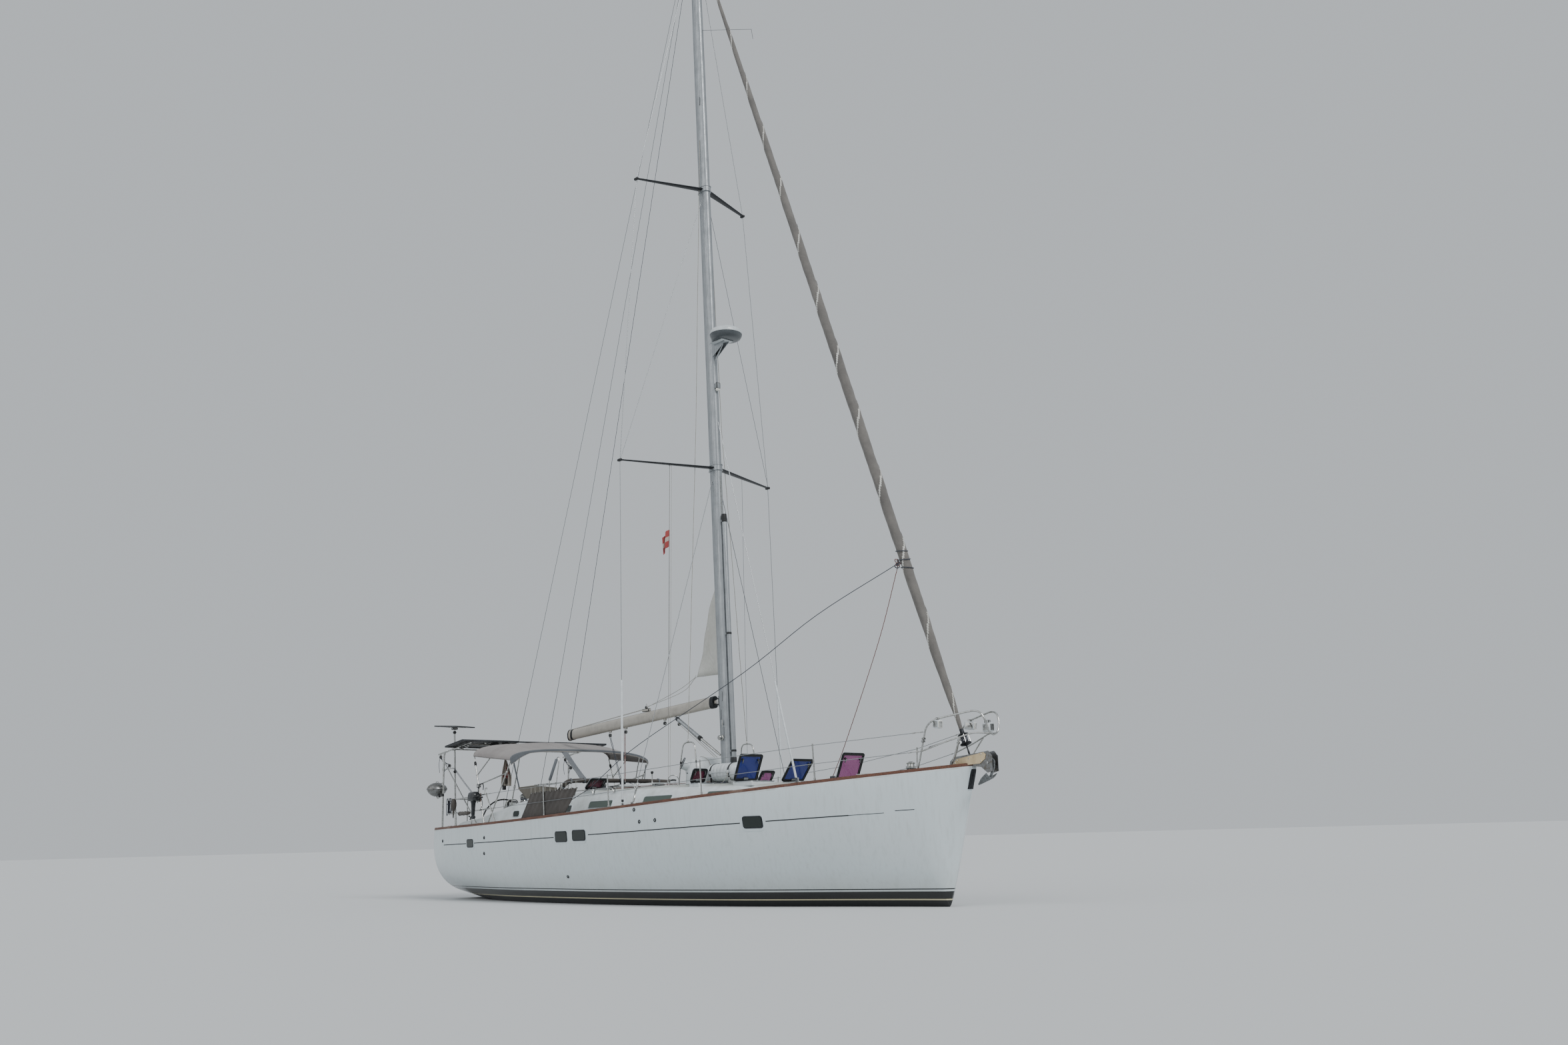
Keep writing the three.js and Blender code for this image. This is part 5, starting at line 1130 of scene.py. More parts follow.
# Standing rigging: wires with turnbuckles or sleeves
def addTurnbuckle(bm, foot, head, start, length, radius, slot):
    along = (Vector(head) - Vector(foot)).normalized()
    rows = [(0.35, 0), (0.35, 0.03), (0.75, 0.05), (1, 0.07), (1, 0.30), (0.6, 0.33), (0.6, 0.67), (1, 0.70),
        (1, 0.93),
            (0.75, 0.95), (0.35, 1.0)]
    addTurned(bm, [(radius * r, start + length * h) for r, h in rows], foot, along, 14, slot)


def addWire(bm, points, radius=0.006, slot=0, sides=8):
    addTube(bm, points, radius, sides, slot)


def chainplate(bm, foot, slot=1, high=0.09):
    foot = Vector(foot)
    addBlock(bm, foot + Vector((-0.042, -0.007, -0.014)), foot + Vector((0.042, 0.007, high)), slot, 0.006)
    addTurned(bm, [(0.0, -0.02), (0.012, -0.02), (0.012, 0.02), (0.0, 0.02)],
        foot + Vector((0, 0, high - 0.02)),
              (0, 1, 0), 12, slot)
    addBlock(bm, foot + Vector((-0.075, -0.03, -0.006)), foot + Vector((0.075, 0.03, 0.006)), slot, 0.005)


def makeRigging(side):
    tag = "port" if side > 0 else "stbd"
    tips = [Vector((mastX(row["z"]) - row["sweep"], side * row["reach"], row["z"])) for row in spreaders]
    foot = Vector((0.377, side * 1.92, deckTop(0.377, 1.92)))
    bm = bmesh.new()
    addWire(bm, [foot + Vector((0, 0, 0.05)), *tips, mastAt(19.91, 0, side * 0.084)])
    along = (tips[0] - foot).normalized()
    # White sleeve over the screw and the first two metres, with its black end caps
    addTurned(bm, [(0.012, 0.12), (0.020, 0.125), (0.020, 2.28), (0.012, 2.30)], foot, along, 18, 2)
    addTurned(bm, [(0.0215, 0.11), (0.0225, 0.112), (0.0225, 0.15), (0.0215, 0.152)], foot, along, 18, 3)
    chainplate(bm, foot)
    finishPiece(bm, "cap_shroud_wire_" + tag, [wire, steel, stayPvc, nylon], stands=["cap_shroud_" + tag])
    bm = bmesh.new()
    foot = Vector((0.64, side * 1.90, deckTop(0.64, 1.90)))
    head = mastAt(7.942, -0.02, side * 0.08)
    addWire(bm, [foot + Vector((0, 0, 0.06)), head])
    addTurnbuckle(bm, foot, head, 0.07, 0.38, 0.017, 1)
    chainplate(bm, foot)
    finishPiece(bm, "lower_shroud_wire_" + tag, [wire, steel], stands=["lower_shroud_" + tag])
    bm = bmesh.new()
    foot = Vector((-6.32, side * 0.42, deckTop(-6.32, 0.42)))
    head = Vector((mastX(20.17) - 0.30, side * 0.02, 20.02))
    addWire(bm, [foot + Vector((0, 0, 0.06)), head])
    addTurnbuckle(bm, foot, head, 0.08, 0.46, 0.018, 1)
    chainplate(bm, foot, 1, 0.1)
    finishPiece(bm, "backstay_wire_" + tag, [wire, steel], stands=["backstay_" + tag])
    # Intermediate shroud, spare halyard to the hoop by the mast, and flag halyard from the spreader
    bm = bmesh.new()
    addWire(bm, [mastAt(13.95, 0, side * 0.08), tips[0] + Vector((0.012, 0, 0.01))], 0.005)
    hoop = Vector((0.74, side * 0.71, 2.872))
    addWire(bm, [mastAt(15.3, 0.02, side * 0.09), mastAt(9.0, -0.16, side * 0.33), hoop], 0.0055, 1)
    low = Vector((0.46, side * 0.96, 2.16))
    high = Vector((mastX(8.192) - 0.286, side * 0.91, 8.175))
    addWire(bm, [low, high], 0.0028, 2, 6)
    addTurned(bm, [(0.006, 0), (0.016, 0.012), (0.016, 0.04), (0.006, 0.06), (0.006, 0.075)],
        hoop + Vector((0, 0, -0.01)),
              (0, 0, 1), 12, 3)
    finishPiece(bm, "running_lines_" + tag, [wire, whiteRope, navyRope, steel])


def makeInnerStay():
    bm = bmesh.new()
    foot = Vector((2.92, 0, surfaceZ(2.92, 0)))
    head = mastAt(9.19, 0.115)
    along = (head - foot).normalized()
    addWire(bm, [foot + Vector((0, 0, 0.05)), head])
    addTurned(bm, [(0.012, 0.09), (0.020, 0.095), (0.020, 1.88), (0.012, 1.90)], foot, along, 18, 2)
    chainplate(bm, foot)
    finishPiece(bm, "inner_stay_wire", [wire, steel, stayPvc], stands=["inner_stay"])
    # Lifting line of the boom and the wires of the foresail's swivel
    bm = bmesh.new()
    addWire(bm, [Vector((-4.235, 0, 3.47)), Vector((mastX(20.0) - 0.16, 0.0, 20.03))], 0.005, 1)
    addWire(bm, [mastAt(17.9, 0.12, 0.02), Vector((2.12, 0.02, 17.15)), Vector((2.18, 0, 16.9))], 0.004, 1)
    finishPiece(bm, "lifting_line", [wire, navyRope])


# Rolled headsail: a spiral of cloth with the leech tape's pale edge and the sheets wound round
genoaRows = [
    {"x": 0.40, "r": 0.030}, {"x": 0.52, "r": 0.036}, {"x": 0.90, "r": 0.058}, {"x": 2.0, "r": 0.080},
        {"x": 4.5, "r": 0.092},
    {"x": 8.0, "r": 0.090}, {"x": 11.5, "r": 0.078}, {"x": 14.5, "r": 0.058}, {"x": 17.0, "r": 0.034},
        {"x": 18.2, "r": 0.018},
]
genoaFoot = Vector((6.89, 0, 2.31))
genoaHead = Vector((mastX(20.17) + 0.16, 0, 20.02))


def genoaPoint(height, turn, radius):
    along = (genoaHead - genoaFoot).normalized()
    across = Vector((0, 1, 0))
    other = along.cross(across)
    return genoaFoot + along * height + (across * math.cos(turn) + other * math.sin(turn)) * radius


def makeGenoa():
    bm = bmesh.new()
    sides, steps = 40, 420
    rings = []
    for k in range(steps + 1):
        height = 0.40 + 17.8 * k / steps
        base = smoothAt(genoaRows, "r", height)
        spin = height * 4.6
        ring = []
        for i in range(sides):
            turn = 2 * math.pi * i / sides
            # The spiral's step falls away over one turn, crossed by slack folds
            phase = ((turn - spin) / (2 * math.pi)) % 1
            fold = noise.noise(Vector((math.cos(turn) * 1.6, math.sin(turn) * 1.6, height * 5))) * 0.06
            small = noise.noise(Vector((math.cos(turn) * 4, math.sin(turn) * 4, height * 14))) * 0.025
            ring.append(genoaPoint(height, turn, base * (1.02 - 0.14 * phase + fold + small)))
        rings.append(ring)
    made = addRings(bm, rings, 0)
    for k in range(steps):
        height = 0.40 + 17.8 * (k + 0.5) / steps
        for i in range(sides):
            phase = ((2 * math.pi * (i + 0.5) / sides - height * 4.6) / (2 * math.pi)) % 1
            if 0.02 < phase < 0.075:
                face = next(f for f in made[k][i].link_faces if made[k + 1][(i + 1) % sides] in f.verts)
                face.material_index = 1
    top = (genoaHead - genoaFoot).length
    addTube(bm, [genoaPoint(h, 0, 0) for h in (18.15, top - 0.02)], 0.014, 10, 2)
    addTurned(bm, [(0.012, 0), (0.034, 0.01), (0.034, 0.10), (0.026, 0.13), (0.034, 0.16), (0.034, 0.24),
        (0.014, 0.26)],
              genoaPoint(18.22, 0, 0), genoaHead - genoaFoot, 20, 2)
    return finishPiece(bm, "headsail_roll", [sunStrip, sailcloth, black], stands=["furled_genoa"], sharp=70)


def makeSheets():
    # Both sheets leave the clew's knot; one goes aft outside the shrouds, one to the foredeck
    bm = bmesh.new()
    knot = Vector((5.66, -0.09, 5.50))
    for height, spin in ((3.30, 0.0), (3.46, 0.4), (3.62, 0.2)):
        loop = [genoaPoint(height + 0.05 * math.sin(t + spin), t, 0.098) for t in
                [2 * math.pi * i / 24 for i in range(24)]]
        addTube(bm, loop, 0.008, 8, 0, closed=True)
    for k in range(5):
        centre = knot + Vector((random.uniform(-0.03, 0.02), random.uniform(-0.03, 0.02),
            random.uniform(-0.05, 0.04)))
        ring = [centre + Vector((0.032 * math.cos(a), 0.024 * math.sin(a + k), 0.030 * math.sin(a))) for a in
                [2 * math.pi * i / 16 for i in range(16)]]
        addTube(bm, ring, 0.008, 8, k % 2, closed=True)
    car = Vector((-1.84, -(hullHalf(-1.84) - 0.43), 1.775))
    addWire(bm, curvePath([knot, (4.0, -0.43, 4.82), (2.41, -0.76, 3.97), (0.0, -1.26, 2.875),
        (-0.883, -1.441, 2.358),
                           (-1.254, -1.517, 2.113)], 6)
                               + [car + Vector((0.04, 0, 0.06)), car + Vector((-0.02, 0, 0.0))], 0.007, 0)
    addWire(bm, curvePath([car, (-2.9, -1.66, 1.88), (-3.82, -1.45, 2.02), (-3.90, -1.41, 2.03)], 5), 0.007,
        0)
    addPulley(bm, car, (0, 0.5, 1), 0.036, 2, 2)
    addWire(bm, curvePath([knot, (5.0, 0.05, 4.3), (3.9, 0.30, 2.75), (3.45, 0.36, 2.12)], 6), 0.007, 1)
    addBlock(bm, (3.40, 0.33, surfaceZ(3.43, 0.36) - 0.004), (3.50, 0.39, 2.13), 2, 0.012)
    return finishPiece(bm, "headsail_sheets", [navyRope, fleckRope, nylon])


def makeFurlerDrum():
    bm = bmesh.new()
    rows = [(0.010, -0.225), (0.016, -0.20), (0.016, 0.03), (0.012, 0.05), (0.012, 0.12), (0.032, 0.128),
        (0.088, 0.148),
            (0.093, 0.156), (0.090, 0.164), (0.048, 0.172), (0.044, 0.20)]
    addTurned(bm, rows, genoaFoot, genoaHead - genoaFoot, 36, 0)
    rows = [(0.044, 0.262), (0.050, 0.285), (0.084, 0.294), (0.090, 0.302), (0.084, 0.310), (0.040, 0.328),
        (0.034, 0.36),
            (0.034, 0.399)]
    addTurned(bm, rows, genoaFoot, genoaHead - genoaFoot, 36, 0)
    # Furling line wound on the drum
    coil = [genoaPoint(0.185 + 0.085 * t / 60, 2 * math.pi * t / 12, 0.050) for t in range(61)]
    addTube(bm, coil, 0.006, 8, 1)
    addTube(bm, [genoaPoint(0.27, 0, 0.052), (6.78, -0.12, 2.56), (6.42, -0.40, 2.42)], 0.005, 8, 1)
    for turn in (0.8, 2.4, 3.9, 5.5):
        addTube(bm, [genoaPoint(0.15, turn, 0.080), genoaPoint(0.305, turn, 0.080)], 0.005, 8, 2)
    return finishPiece(bm, "furling_drum", [black, navyRope, steel], stands=["furler_drum"])


# Boom and what hangs on it
boomLine = {"front": (0.64, 3.64), "back": (-4.27, 3.362), "high": 0.215, "wide": 0.13}


def boomAt(x, down=0.0, side=0.0):
    (x0, z0), (x1, z1) = boomLine["front"], boomLine["back"]
    return Vector((x, side, z0 + (z1 - z0) * (x0 - x) / (x0 - x1) - down))


def addPulley(bm, centre, along, size, shell, sheave):
    # A block: two cheeks, a wheel between them and a shackle above
    centre, along = Vector(centre), Vector(along).normalized()
    for out in (-0.018, 0.012):
        rows = [(0.0, out), (size, out), (size * 1.02, out + 0.003), (size, out + 0.006), (0.0, out + 0.006)]
        addTurned(bm, rows, centre, (0, 1, 0), 20, shell)
    addTurned(bm, [(0.0, -0.010), (size * 0.8, -0.010), (size * 0.66, 0.0), (size * 0.8, 0.010),
        (0.0, 0.010)], centre,
              (0, 1, 0), 20, sheave)
    shackle = [centre + along * (size * 0.9 + 0.045 * math.sin(a)) + Vector((0.016 * math.cos(a), 0, 0))
        for a in
               [math.pi * i / 8 for i in range(9)]]
    addTube(bm, shackle, 0.004, 8, sheave)


def makeBoom():
    b = boomLine
    bm = bmesh.new()
    xs = [b["front"][0] - 4.91 * k / 12 for k in range(13)]
    rings = []
    for x in xs:
        centre = boomAt(x)
        ring = []
        for i in range(36):
            turn = 2 * math.pi * i / 36
            c, s = math.cos(turn), math.sin(turn)
            ring.append(centre + Vector((0, math.copysign(abs(c) ** 0.8, c) * b["wide"] / 2,
                                         math.copysign(abs(s) ** 0.8, s) * b["high"] / 2)))
        rings.append(ring)
    addRings(bm, rings, 0)
    # Outhaul track along the top, end castings and reef bands
    for side in (-1, 1):
        addBlock(bm, (-4.2, side * 0.017 - 0.005, -0.004), (0.5, side * 0.017 + 0.005, 0.006), 1, 0.002,
                 Matrix.Translation(boomAt(0, -0.1075) - Vector((0, 0, 0))) @ Matrix.Rotation(-0.0566, 4,
                     "Y"))
    for x, grow, wide in ((-4.262, 0.012, 0.018), (-4.16, 0.006, 0.06), (0.58, 0.008, 0.10)):
        rings = []
        for step in (0, wide):
            centre = boomAt(x + step)
            rings.append([centre + Vector((0, math.copysign(abs(math.cos(t)) ** 0.8, math.cos(t))
                * (b["wide"] / 2 + grow),
                                           math.copysign(abs(math.sin(t)) ** 0.8, math.sin(t))
                                               * (b["high"] / 2 + grow)))
                          for t in [2 * math.pi * i / 36 for i in range(36)]])
        addRings(bm, rings, 2)
    addTurned(bm, [(0.0, -0.05), (0.045, -0.05), (0.05, -0.044), (0.05, 0.044), (0.045, 0.05), (0.0, 0.05)],
              boomAt(-4.262, -0.02), (0, 1, 0), 24, 2)
    # Sail car on the track with the two outhaul lines to it
    addBlock(bm, (-1.62, -0.034, 3.64), (-1.40, 0.034, 3.70), 2, 0.012)
    addPulley(bm, (-1.51, 0.0, 3.725), (0, 0, 1), 0.030, 3, 1)
    for side in (-1, 1):
        addTube(bm, [(-1.50, side * 0.02, 3.70), boomAt(-4.20, -0.112, side * 0.02)], 0.005, 8, 4)
    # Hanging blocks
    for x in (-2.80, -2.25, -0.93):
        addBlock(bm, boomAt(x, 0.135, -0.02), boomAt(x, 0.095, 0.02) + Vector((0.07, 0, 0)), 1, 0.006)
        addPulley(bm, boomAt(x + 0.03, 0.19), (0, 0, 1), 0.034, 3, 1)
    # Neck and eye at the mast
    addTurned(bm, [(0.014, -0.04), (0.034, -0.04), (0.034, 0.04), (0.014, 0.04)], (0.7755, 0, 3.64),
        (-0.039, 0, 1), 28, 1)
    addBlock(bm, (0.62, -0.022, 3.604), (0.745, 0.022, 3.676), 1, 0.008)
    return finishPiece(bm, "boom_spar", [sparCream, steel, black, nylon, whiteRope], body="boom",
        stands=["boom"], sharp=45)


def makeVang():
    bm = bmesh.new()
    top, bottom = Vector((-0.56, 0, 3.455)), Vector((0.816, 0, 2.64))
    length = (bottom - top).length
    rows = [(0.0, 0.0), (0.022, 0.0), (0.022, 0.05), (0.038, 0.07), (0.038, 0.90), (0.033, 0.92)]
    addTurned(bm, rows, top, bottom - top, 28, 0)
    rows = [(0.026, 0.88), (0.026, length - 0.08), (0.020, length - 0.06), (0.020, length - 0.01)]
    addTurned(bm, rows, top, bottom - top, 28, 1)
    addTurned(bm, [(0.040, 0.06), (0.043, 0.065), (0.043, 0.11), (0.040, 0.115)], top, bottom - top, 28, 2)
    addTurned(bm, [(0.040, 0.86), (0.043, 0.865), (0.043, 0.93), (0.036, 0.935)], top, bottom - top, 28, 2)
    for side in (-1, 1):
        addTube(bm, [top + Vector((0.10, side * 0.03, -0.11)), bottom + Vector((-0.14, side * 0.03, -0.03))],
            0.005, 8, 3)
    addPulley(bm, top + Vector((0.12, 0, -0.145)), (0, 0, 1), 0.032, 2, 1)
    return finishPiece(bm, "vang_strut", [alloy, steel, nylon, whiteRope], body="boom", stands=["vang"])


def makeGooseneck():
    bm = bmesh.new()
    turn = Matrix.Translation((0.7755, 0, 3.64)) @ Matrix.Rotation(-math.radians(2.24), 4, "Y")
    for low in (0.046, -0.064):
        addBlock(bm, (-0.036, -0.036, low), (0.060, 0.036, low + 0.017), 0, 0.01, turn)
    addBlock(bm, (0.0585, -0.05, -0.10), (0.066, 0.05, 0.10), 0, 0.002, turn)
    made = bmesh.new()
    addTurned(made, [(0.0, -0.072), (0.018, -0.070), (0.018, -0.064), (0.012, -0.064), (0.012, 0.063),
        (0.018, 0.064),
                     (0.018, 0.071), (0.0, 0.073)], (0, 0, 0), (0, 0, 1), 24, 1)
    bmesh.ops.transform(made, matrix=turn, verts=made.verts)
    pin = bpy.data.meshes.new("pin")
    made.to_mesh(pin)
    made.free()
    bm.from_mesh(pin)
    return finishPiece(bm, "gooseneck_casting", [black, steel], stands=["gooseneck"])


def makeMainClew():
    # The bit of mainsail left out of the mast: a soft triangle
    corners = (Vector((mastX(5.89) - 0.134, 0, 5.89)), Vector((mastX(4.15) - 0.134, 0, 4.15)),
        Vector((0.10, 0, 4.17)))
    bm = bmesh.new()
    steps = 16
    grid = {}
    for i in range(steps + 1):
        for j in range(steps + 1 - i):
            a, b = i / steps, j / steps
            p = corners[0] * (1 - a - b) + corners[1] * a + corners[2] * b
            hollow = 0.05 * math.sin(math.pi * min(1, b / max(1e-6, 1 - a))) * (1 - a) if a < 0.999 else 0
            p = p + Vector((-hollow * (1 - a - b),
                0.028 * math.sin(2.6 * (p.z - 4)) * b * 2 + 0.008 * math.sin(19 * b + 6 * a), 0))
            grid[i, j] = bm.verts.new(p)
    for i in range(steps):
        for j in range(steps - i):
            bm.faces.new((grid[i, j], grid[i + 1, j], grid[i, j + 1]))
            if i + j < steps - 1:
                bm.faces.new((grid[i + 1, j], grid[i + 1, j + 1], grid[i, j + 1]))
    for face in bm.faces:
        face.smooth = True
    made = finishPiece(bm, "mainsail_clew", [sailcloth], stands=["main_clew"], outward=False)
    thick = made.modifiers.new("thickness", "SOLIDIFY")
    thick.thickness = 0.002
    thick.offset = 0
    bm = bmesh.new()
    addTube(bm, [corners[2] + Vector((0.02 * math.cos(a), 0, 0.01 + 0.02 * math.sin(a))) for a in
                 [2 * math.pi * i / 20 for i in range(20)]], 0.004, 8, 0, closed=True)
    addTube(bm, curvePath([corners[2] + Vector((-0.01, 0, 0)), (-0.45, 0.01, 3.98), (-1.47, 0.02, 3.74)], 5),
        0.005, 8, 1)
    addTube(bm, curvePath([corners[2] + Vector((0.0, -0.02, -0.02)), (-0.30, -0.03, 3.92),
        (-1.48, -0.02, 3.73)], 5), 0.005, 8, 1)
    rim = finishPiece(bm, "clew_ring", [steel, whiteRope])
    return rim


def makePole():
    bm = bmesh.new()
    low, high = mastAt(2.42, 0.197), mastAt(7.23, 0.197)
    length = (high - low).length
    rows = [(0.0, -0.01), (0.030, 0.0), (0.046, 0.10), (0.046, length - 0.10), (0.030, length),
        (0.0, length + 0.01)]
    addTurned(bm, rows, low, high - low, 32, 0)
    for end, run in ((0.0, 0.16), (length - 0.16, 0.16)):
        addTurned(bm, [(0.0475, end), (0.050, end + 0.01), (0.050, end + run - 0.01), (0.0475, end + run)],
            low, high - low,
                  32, 1)
    for z in (2.70, 4.90, 7.10):
        at = mastAt(z, 0.135)
        addBlock(bm, at + Vector((-0.012, -0.03, -0.03)), at + Vector((0.03, 0.03, 0.03)), 1, 0.008)
        addTurned(bm, [(0.0465, -0.02), (0.052, -0.018), (0.052, 0.018), (0.0465, 0.02)], mastAt(z, 0.197),
            high - low, 32, 1)
    # Track that the pole's inner end runs on
    track = [[mastAt(z, a, b) for a, b in ((0.130, -0.016), (0.141, -0.016), (0.141, 0.016),
        (0.130, 0.016))] for z in (2.5, 8.0)]
    addRings(bm, track, 2)
    return finishPiece(bm, "downwind_pole", [alloy, nylon, steel], stands=["whisker_pole"])


def makeRadar():
    bm = bmesh.new()
    z = 10.70
    front = mastX(z) + 0.135
    centre = (front + 0.345, 0, z + 0.04)
    rows = [(0.0, 0.0), (0.22, 0.0), (0.285, 0.025), (0.314, 0.075), (0.320, 0.105)]
    addTurned(bm, rows, centre, (0, 0, 1), 64, 2)
    rows = [(0.322, 0.108), (0.322, 0.132), (0.312, 0.172), (0.285, 0.205), (0.22, 0.236), (0.12, 0.251),
        (0.0, 0.255)]
    addTurned(bm, rows, centre, (0, 0, 1), 64, 0)
    # Bracket: side webs, tray and brace
    for side in (-1, 1):
        web = [[(front + x, side * y, z + h) for x,
            h in ((-0.04, -0.24), (-0.04, 0.03), (0.36, 0.03), (0.36, 0.0))]
               for y in (0.050, 0.060)]
        addRings(bm, web, 1, smooth=False)
    addBlock(bm, (front + 0.02, -0.15, z + 0.022), (front + 0.40, 0.15, z + 0.038), 1, 0.006)
    addTube(bm, [(front - 0.02, 0, z - 0.32), (front + 0.25, 0, z + 0.0)], 0.016, 14, 1)
    addTube(bm, curvePath([(front + 0.2, 0.03, z + 0.02), (front + 0.06, 0.04, z - 0.10),
        (front - 0.02, 0.03, z - 0.2)], 5),
            0.006, 8, 3)
    return finishPiece(bm, "radar_dome_set", [radomeWhite, alloy, greyEnamel, nylon], stands=["radar"],
        sharp=50)


makeToeRail()
makeMast()
for row in spreaders:
    makeSpreaders(row)
for side in (-1, 1):
    makeRigging(side)
makeInnerStay()
print("mast and standing rigging made")
makeGenoa()
makeSheets()
makeFurlerDrum()
makeBoom()
makeVang()
makeGooseneck()
makeMainClew()
makePole()
makeRadar()
print("sails, boom and radar made")
# Bent tubes, frames and cloth grids used by the deck gear
def bentPath(points, reach=0.06, steps=4):
    points = [Vector(p) for p in points]
    path = [points[0]]
    for before, here, after in zip(points, points[1:], points[2:]):
        start = here + (before - here).normalized() * min(reach, 0.45 * (before - here).length)
        end = here + (after - here).normalized() * min(reach, 0.45 * (after - here).length)
        path += [start.lerp(here, k / steps).lerp(here.lerp(end, k / steps), k / steps)
            for k in range(steps + 1)]
    return path + [points[-1]]


def addBent(bm, points, radius, slot=0, reach=0.06, sides=12):
    addTube(bm, bentPath(points, reach), radius, sides, slot)


def ringPath(centre, across, other, count=24):
    # Points round an ellipse given by its two half axes
    turns = [2 * math.pi * k / count for k in range(count)]
    return [Vector(centre) + Vector(across) * math.cos(t) + Vector(other) * math.sin(t) for t in turns]


def addFrame(bm, outer, inner, low, high, slot, turn):
    # A flat frame between two outlines of as many points
    loops = [[bm.verts.new(turn @ Vector((x, y, z))) for x, y in outline]
             for outline, z in ((outer, low), (outer, high), (inner, high), (inner, low))]
    for here, there in zip(loops, loops[1:] + loops[:1]):
        for k in range(len(here)):
            after = (k + 1) % len(here)
            bm.faces.new((here[k], here[after], there[after], there[k])).material_index = slot


def addGrid(bm, across, along, point, slotAt=None):
    # A sheet of points from two shares, 0 to 1
    grid = [[bm.verts.new(point(i / across, j / along)) for i in range(across + 1)]
        for j in range(along + 1)]
    for j in range(along):
        for i in range(across):
            face = bm.faces.new((grid[j][i], grid[j][i + 1], grid[j + 1][i + 1], grid[j + 1][i]))
            face.smooth = True
            face.material_index = slotAt((i + 0.5) / across, (j + 0.5) / along) if slotAt else 0


def clothPiece(bm, name, finishes, stands=(), thickness=0.003, body="yacht"):
    made = finishPiece(bm, name, finishes, body, stands=stands, sharp=80, outward=False)
    thick = made.modifiers.new("thickness", "SOLIDIFY")
    thick.thickness = thickness
    thick.offset = 0
    return made


# Winches: drum, feeder ring, top cap and the turns of rope on them
winches = [
    {"x": -3.90, "y": 1.34, "radius": 0.095, "height": 0.190},
        {"x": -2.14, "y": 0.60, "radius": 0.070, "height": 0.150},
]
winchDrum = [(1.0, 0.0), (1.0, 0.10), (0.80, 0.16), (0.62, 0.30), (0.58, 0.48), (0.66, 0.62), (0.92, 0.66),
    (0.95, 0.70),
             (0.60, 0.73), (0.60, 0.75), (0.93, 0.77), (0.95, 0.80), (0.72, 0.85)]
winchCap = [(0.72, 0.85), (0.60, 0.93), (0.32, 0.97), (0.30, 1.0), (0.14, 1.0), (0.13, 0.92), (0.0, 0.92)]


def makeWinches(side):
    bm = bmesh.new()
    for w in winches:
        top = smoothAt(coamingRows, "top", w["x"]) if w["x"] < -3 else surfaceZ(w["x"], w["y"])
        base = Vector((w["x"], side * w["y"], top - 0.003))
        for rows, slot in ((winchDrum, 0), (winchCap, 1)):
            addTurned(bm, [(w["radius"] * r, w["height"] * h) for r, h in rows], base, (0, 0, 1), 32, slot)
        turns = [2 * math.pi * k / 14 for k in range(14 * 3 + 1)]
        rope = [base + Vector((math.cos(t) * w["radius"] * 0.70, math.sin(t) * w["radius"] * 0.70,
                               w["height"] * 0.3 + 0.0021 * t * 1.1)) for t in turns]
        addTube(bm, rope, 0.006, 8, 2)
        addTube(bm, curvePath([rope[-1], rope[-1] + Vector((-0.05, -side * 0.06, -0.01)),
                               base + Vector((-0.12, -side * 0.09, 0.02))], 5), 0.006, 8, 2)
    # Handle left standing in the roof winch
    hub = Vector((winches[1]["x"], side * winches[1]["y"], surfaceZ(-2.14, 0.6) + 0.135))
    if side > 0:
        addTurned(bm, [(0.016, 0.0), (0.016, 0.03), (0.011, 0.04), (0.011, 0.20), (0.014, 0.21)], hub,
            (0, 0, 1), 14, 0)
        addTurned(bm, [(0.014, 0.20), (0.026, 0.215), (0.030, 0.235), (0.024, 0.255), (0.0, 0.262)], hub,
            (0, 0, 1), 18, 1)
    return finishPiece(bm, "winches_" + ("port" if side > 0 else "stbd"), [steel, nylon, navyRope])


# Opening hatches: alloy rim, rubber seal, tinted pane, two dogs and hinge barrels
hatchLook = {"rim": 0.030, "seal": 0.016, "corner": 0.045, "lift": 0.0093}


def hatchOutline(hatch, inset):
    outline = roundedOutline(hatch["length"] - 2 * inset, hatch["width"] - 2 * inset,
                             max(0.012, hatchLook["corner"] - inset))
    return [(x + 0.005 + hatch["length"] / 2, y) for x, y in outline]


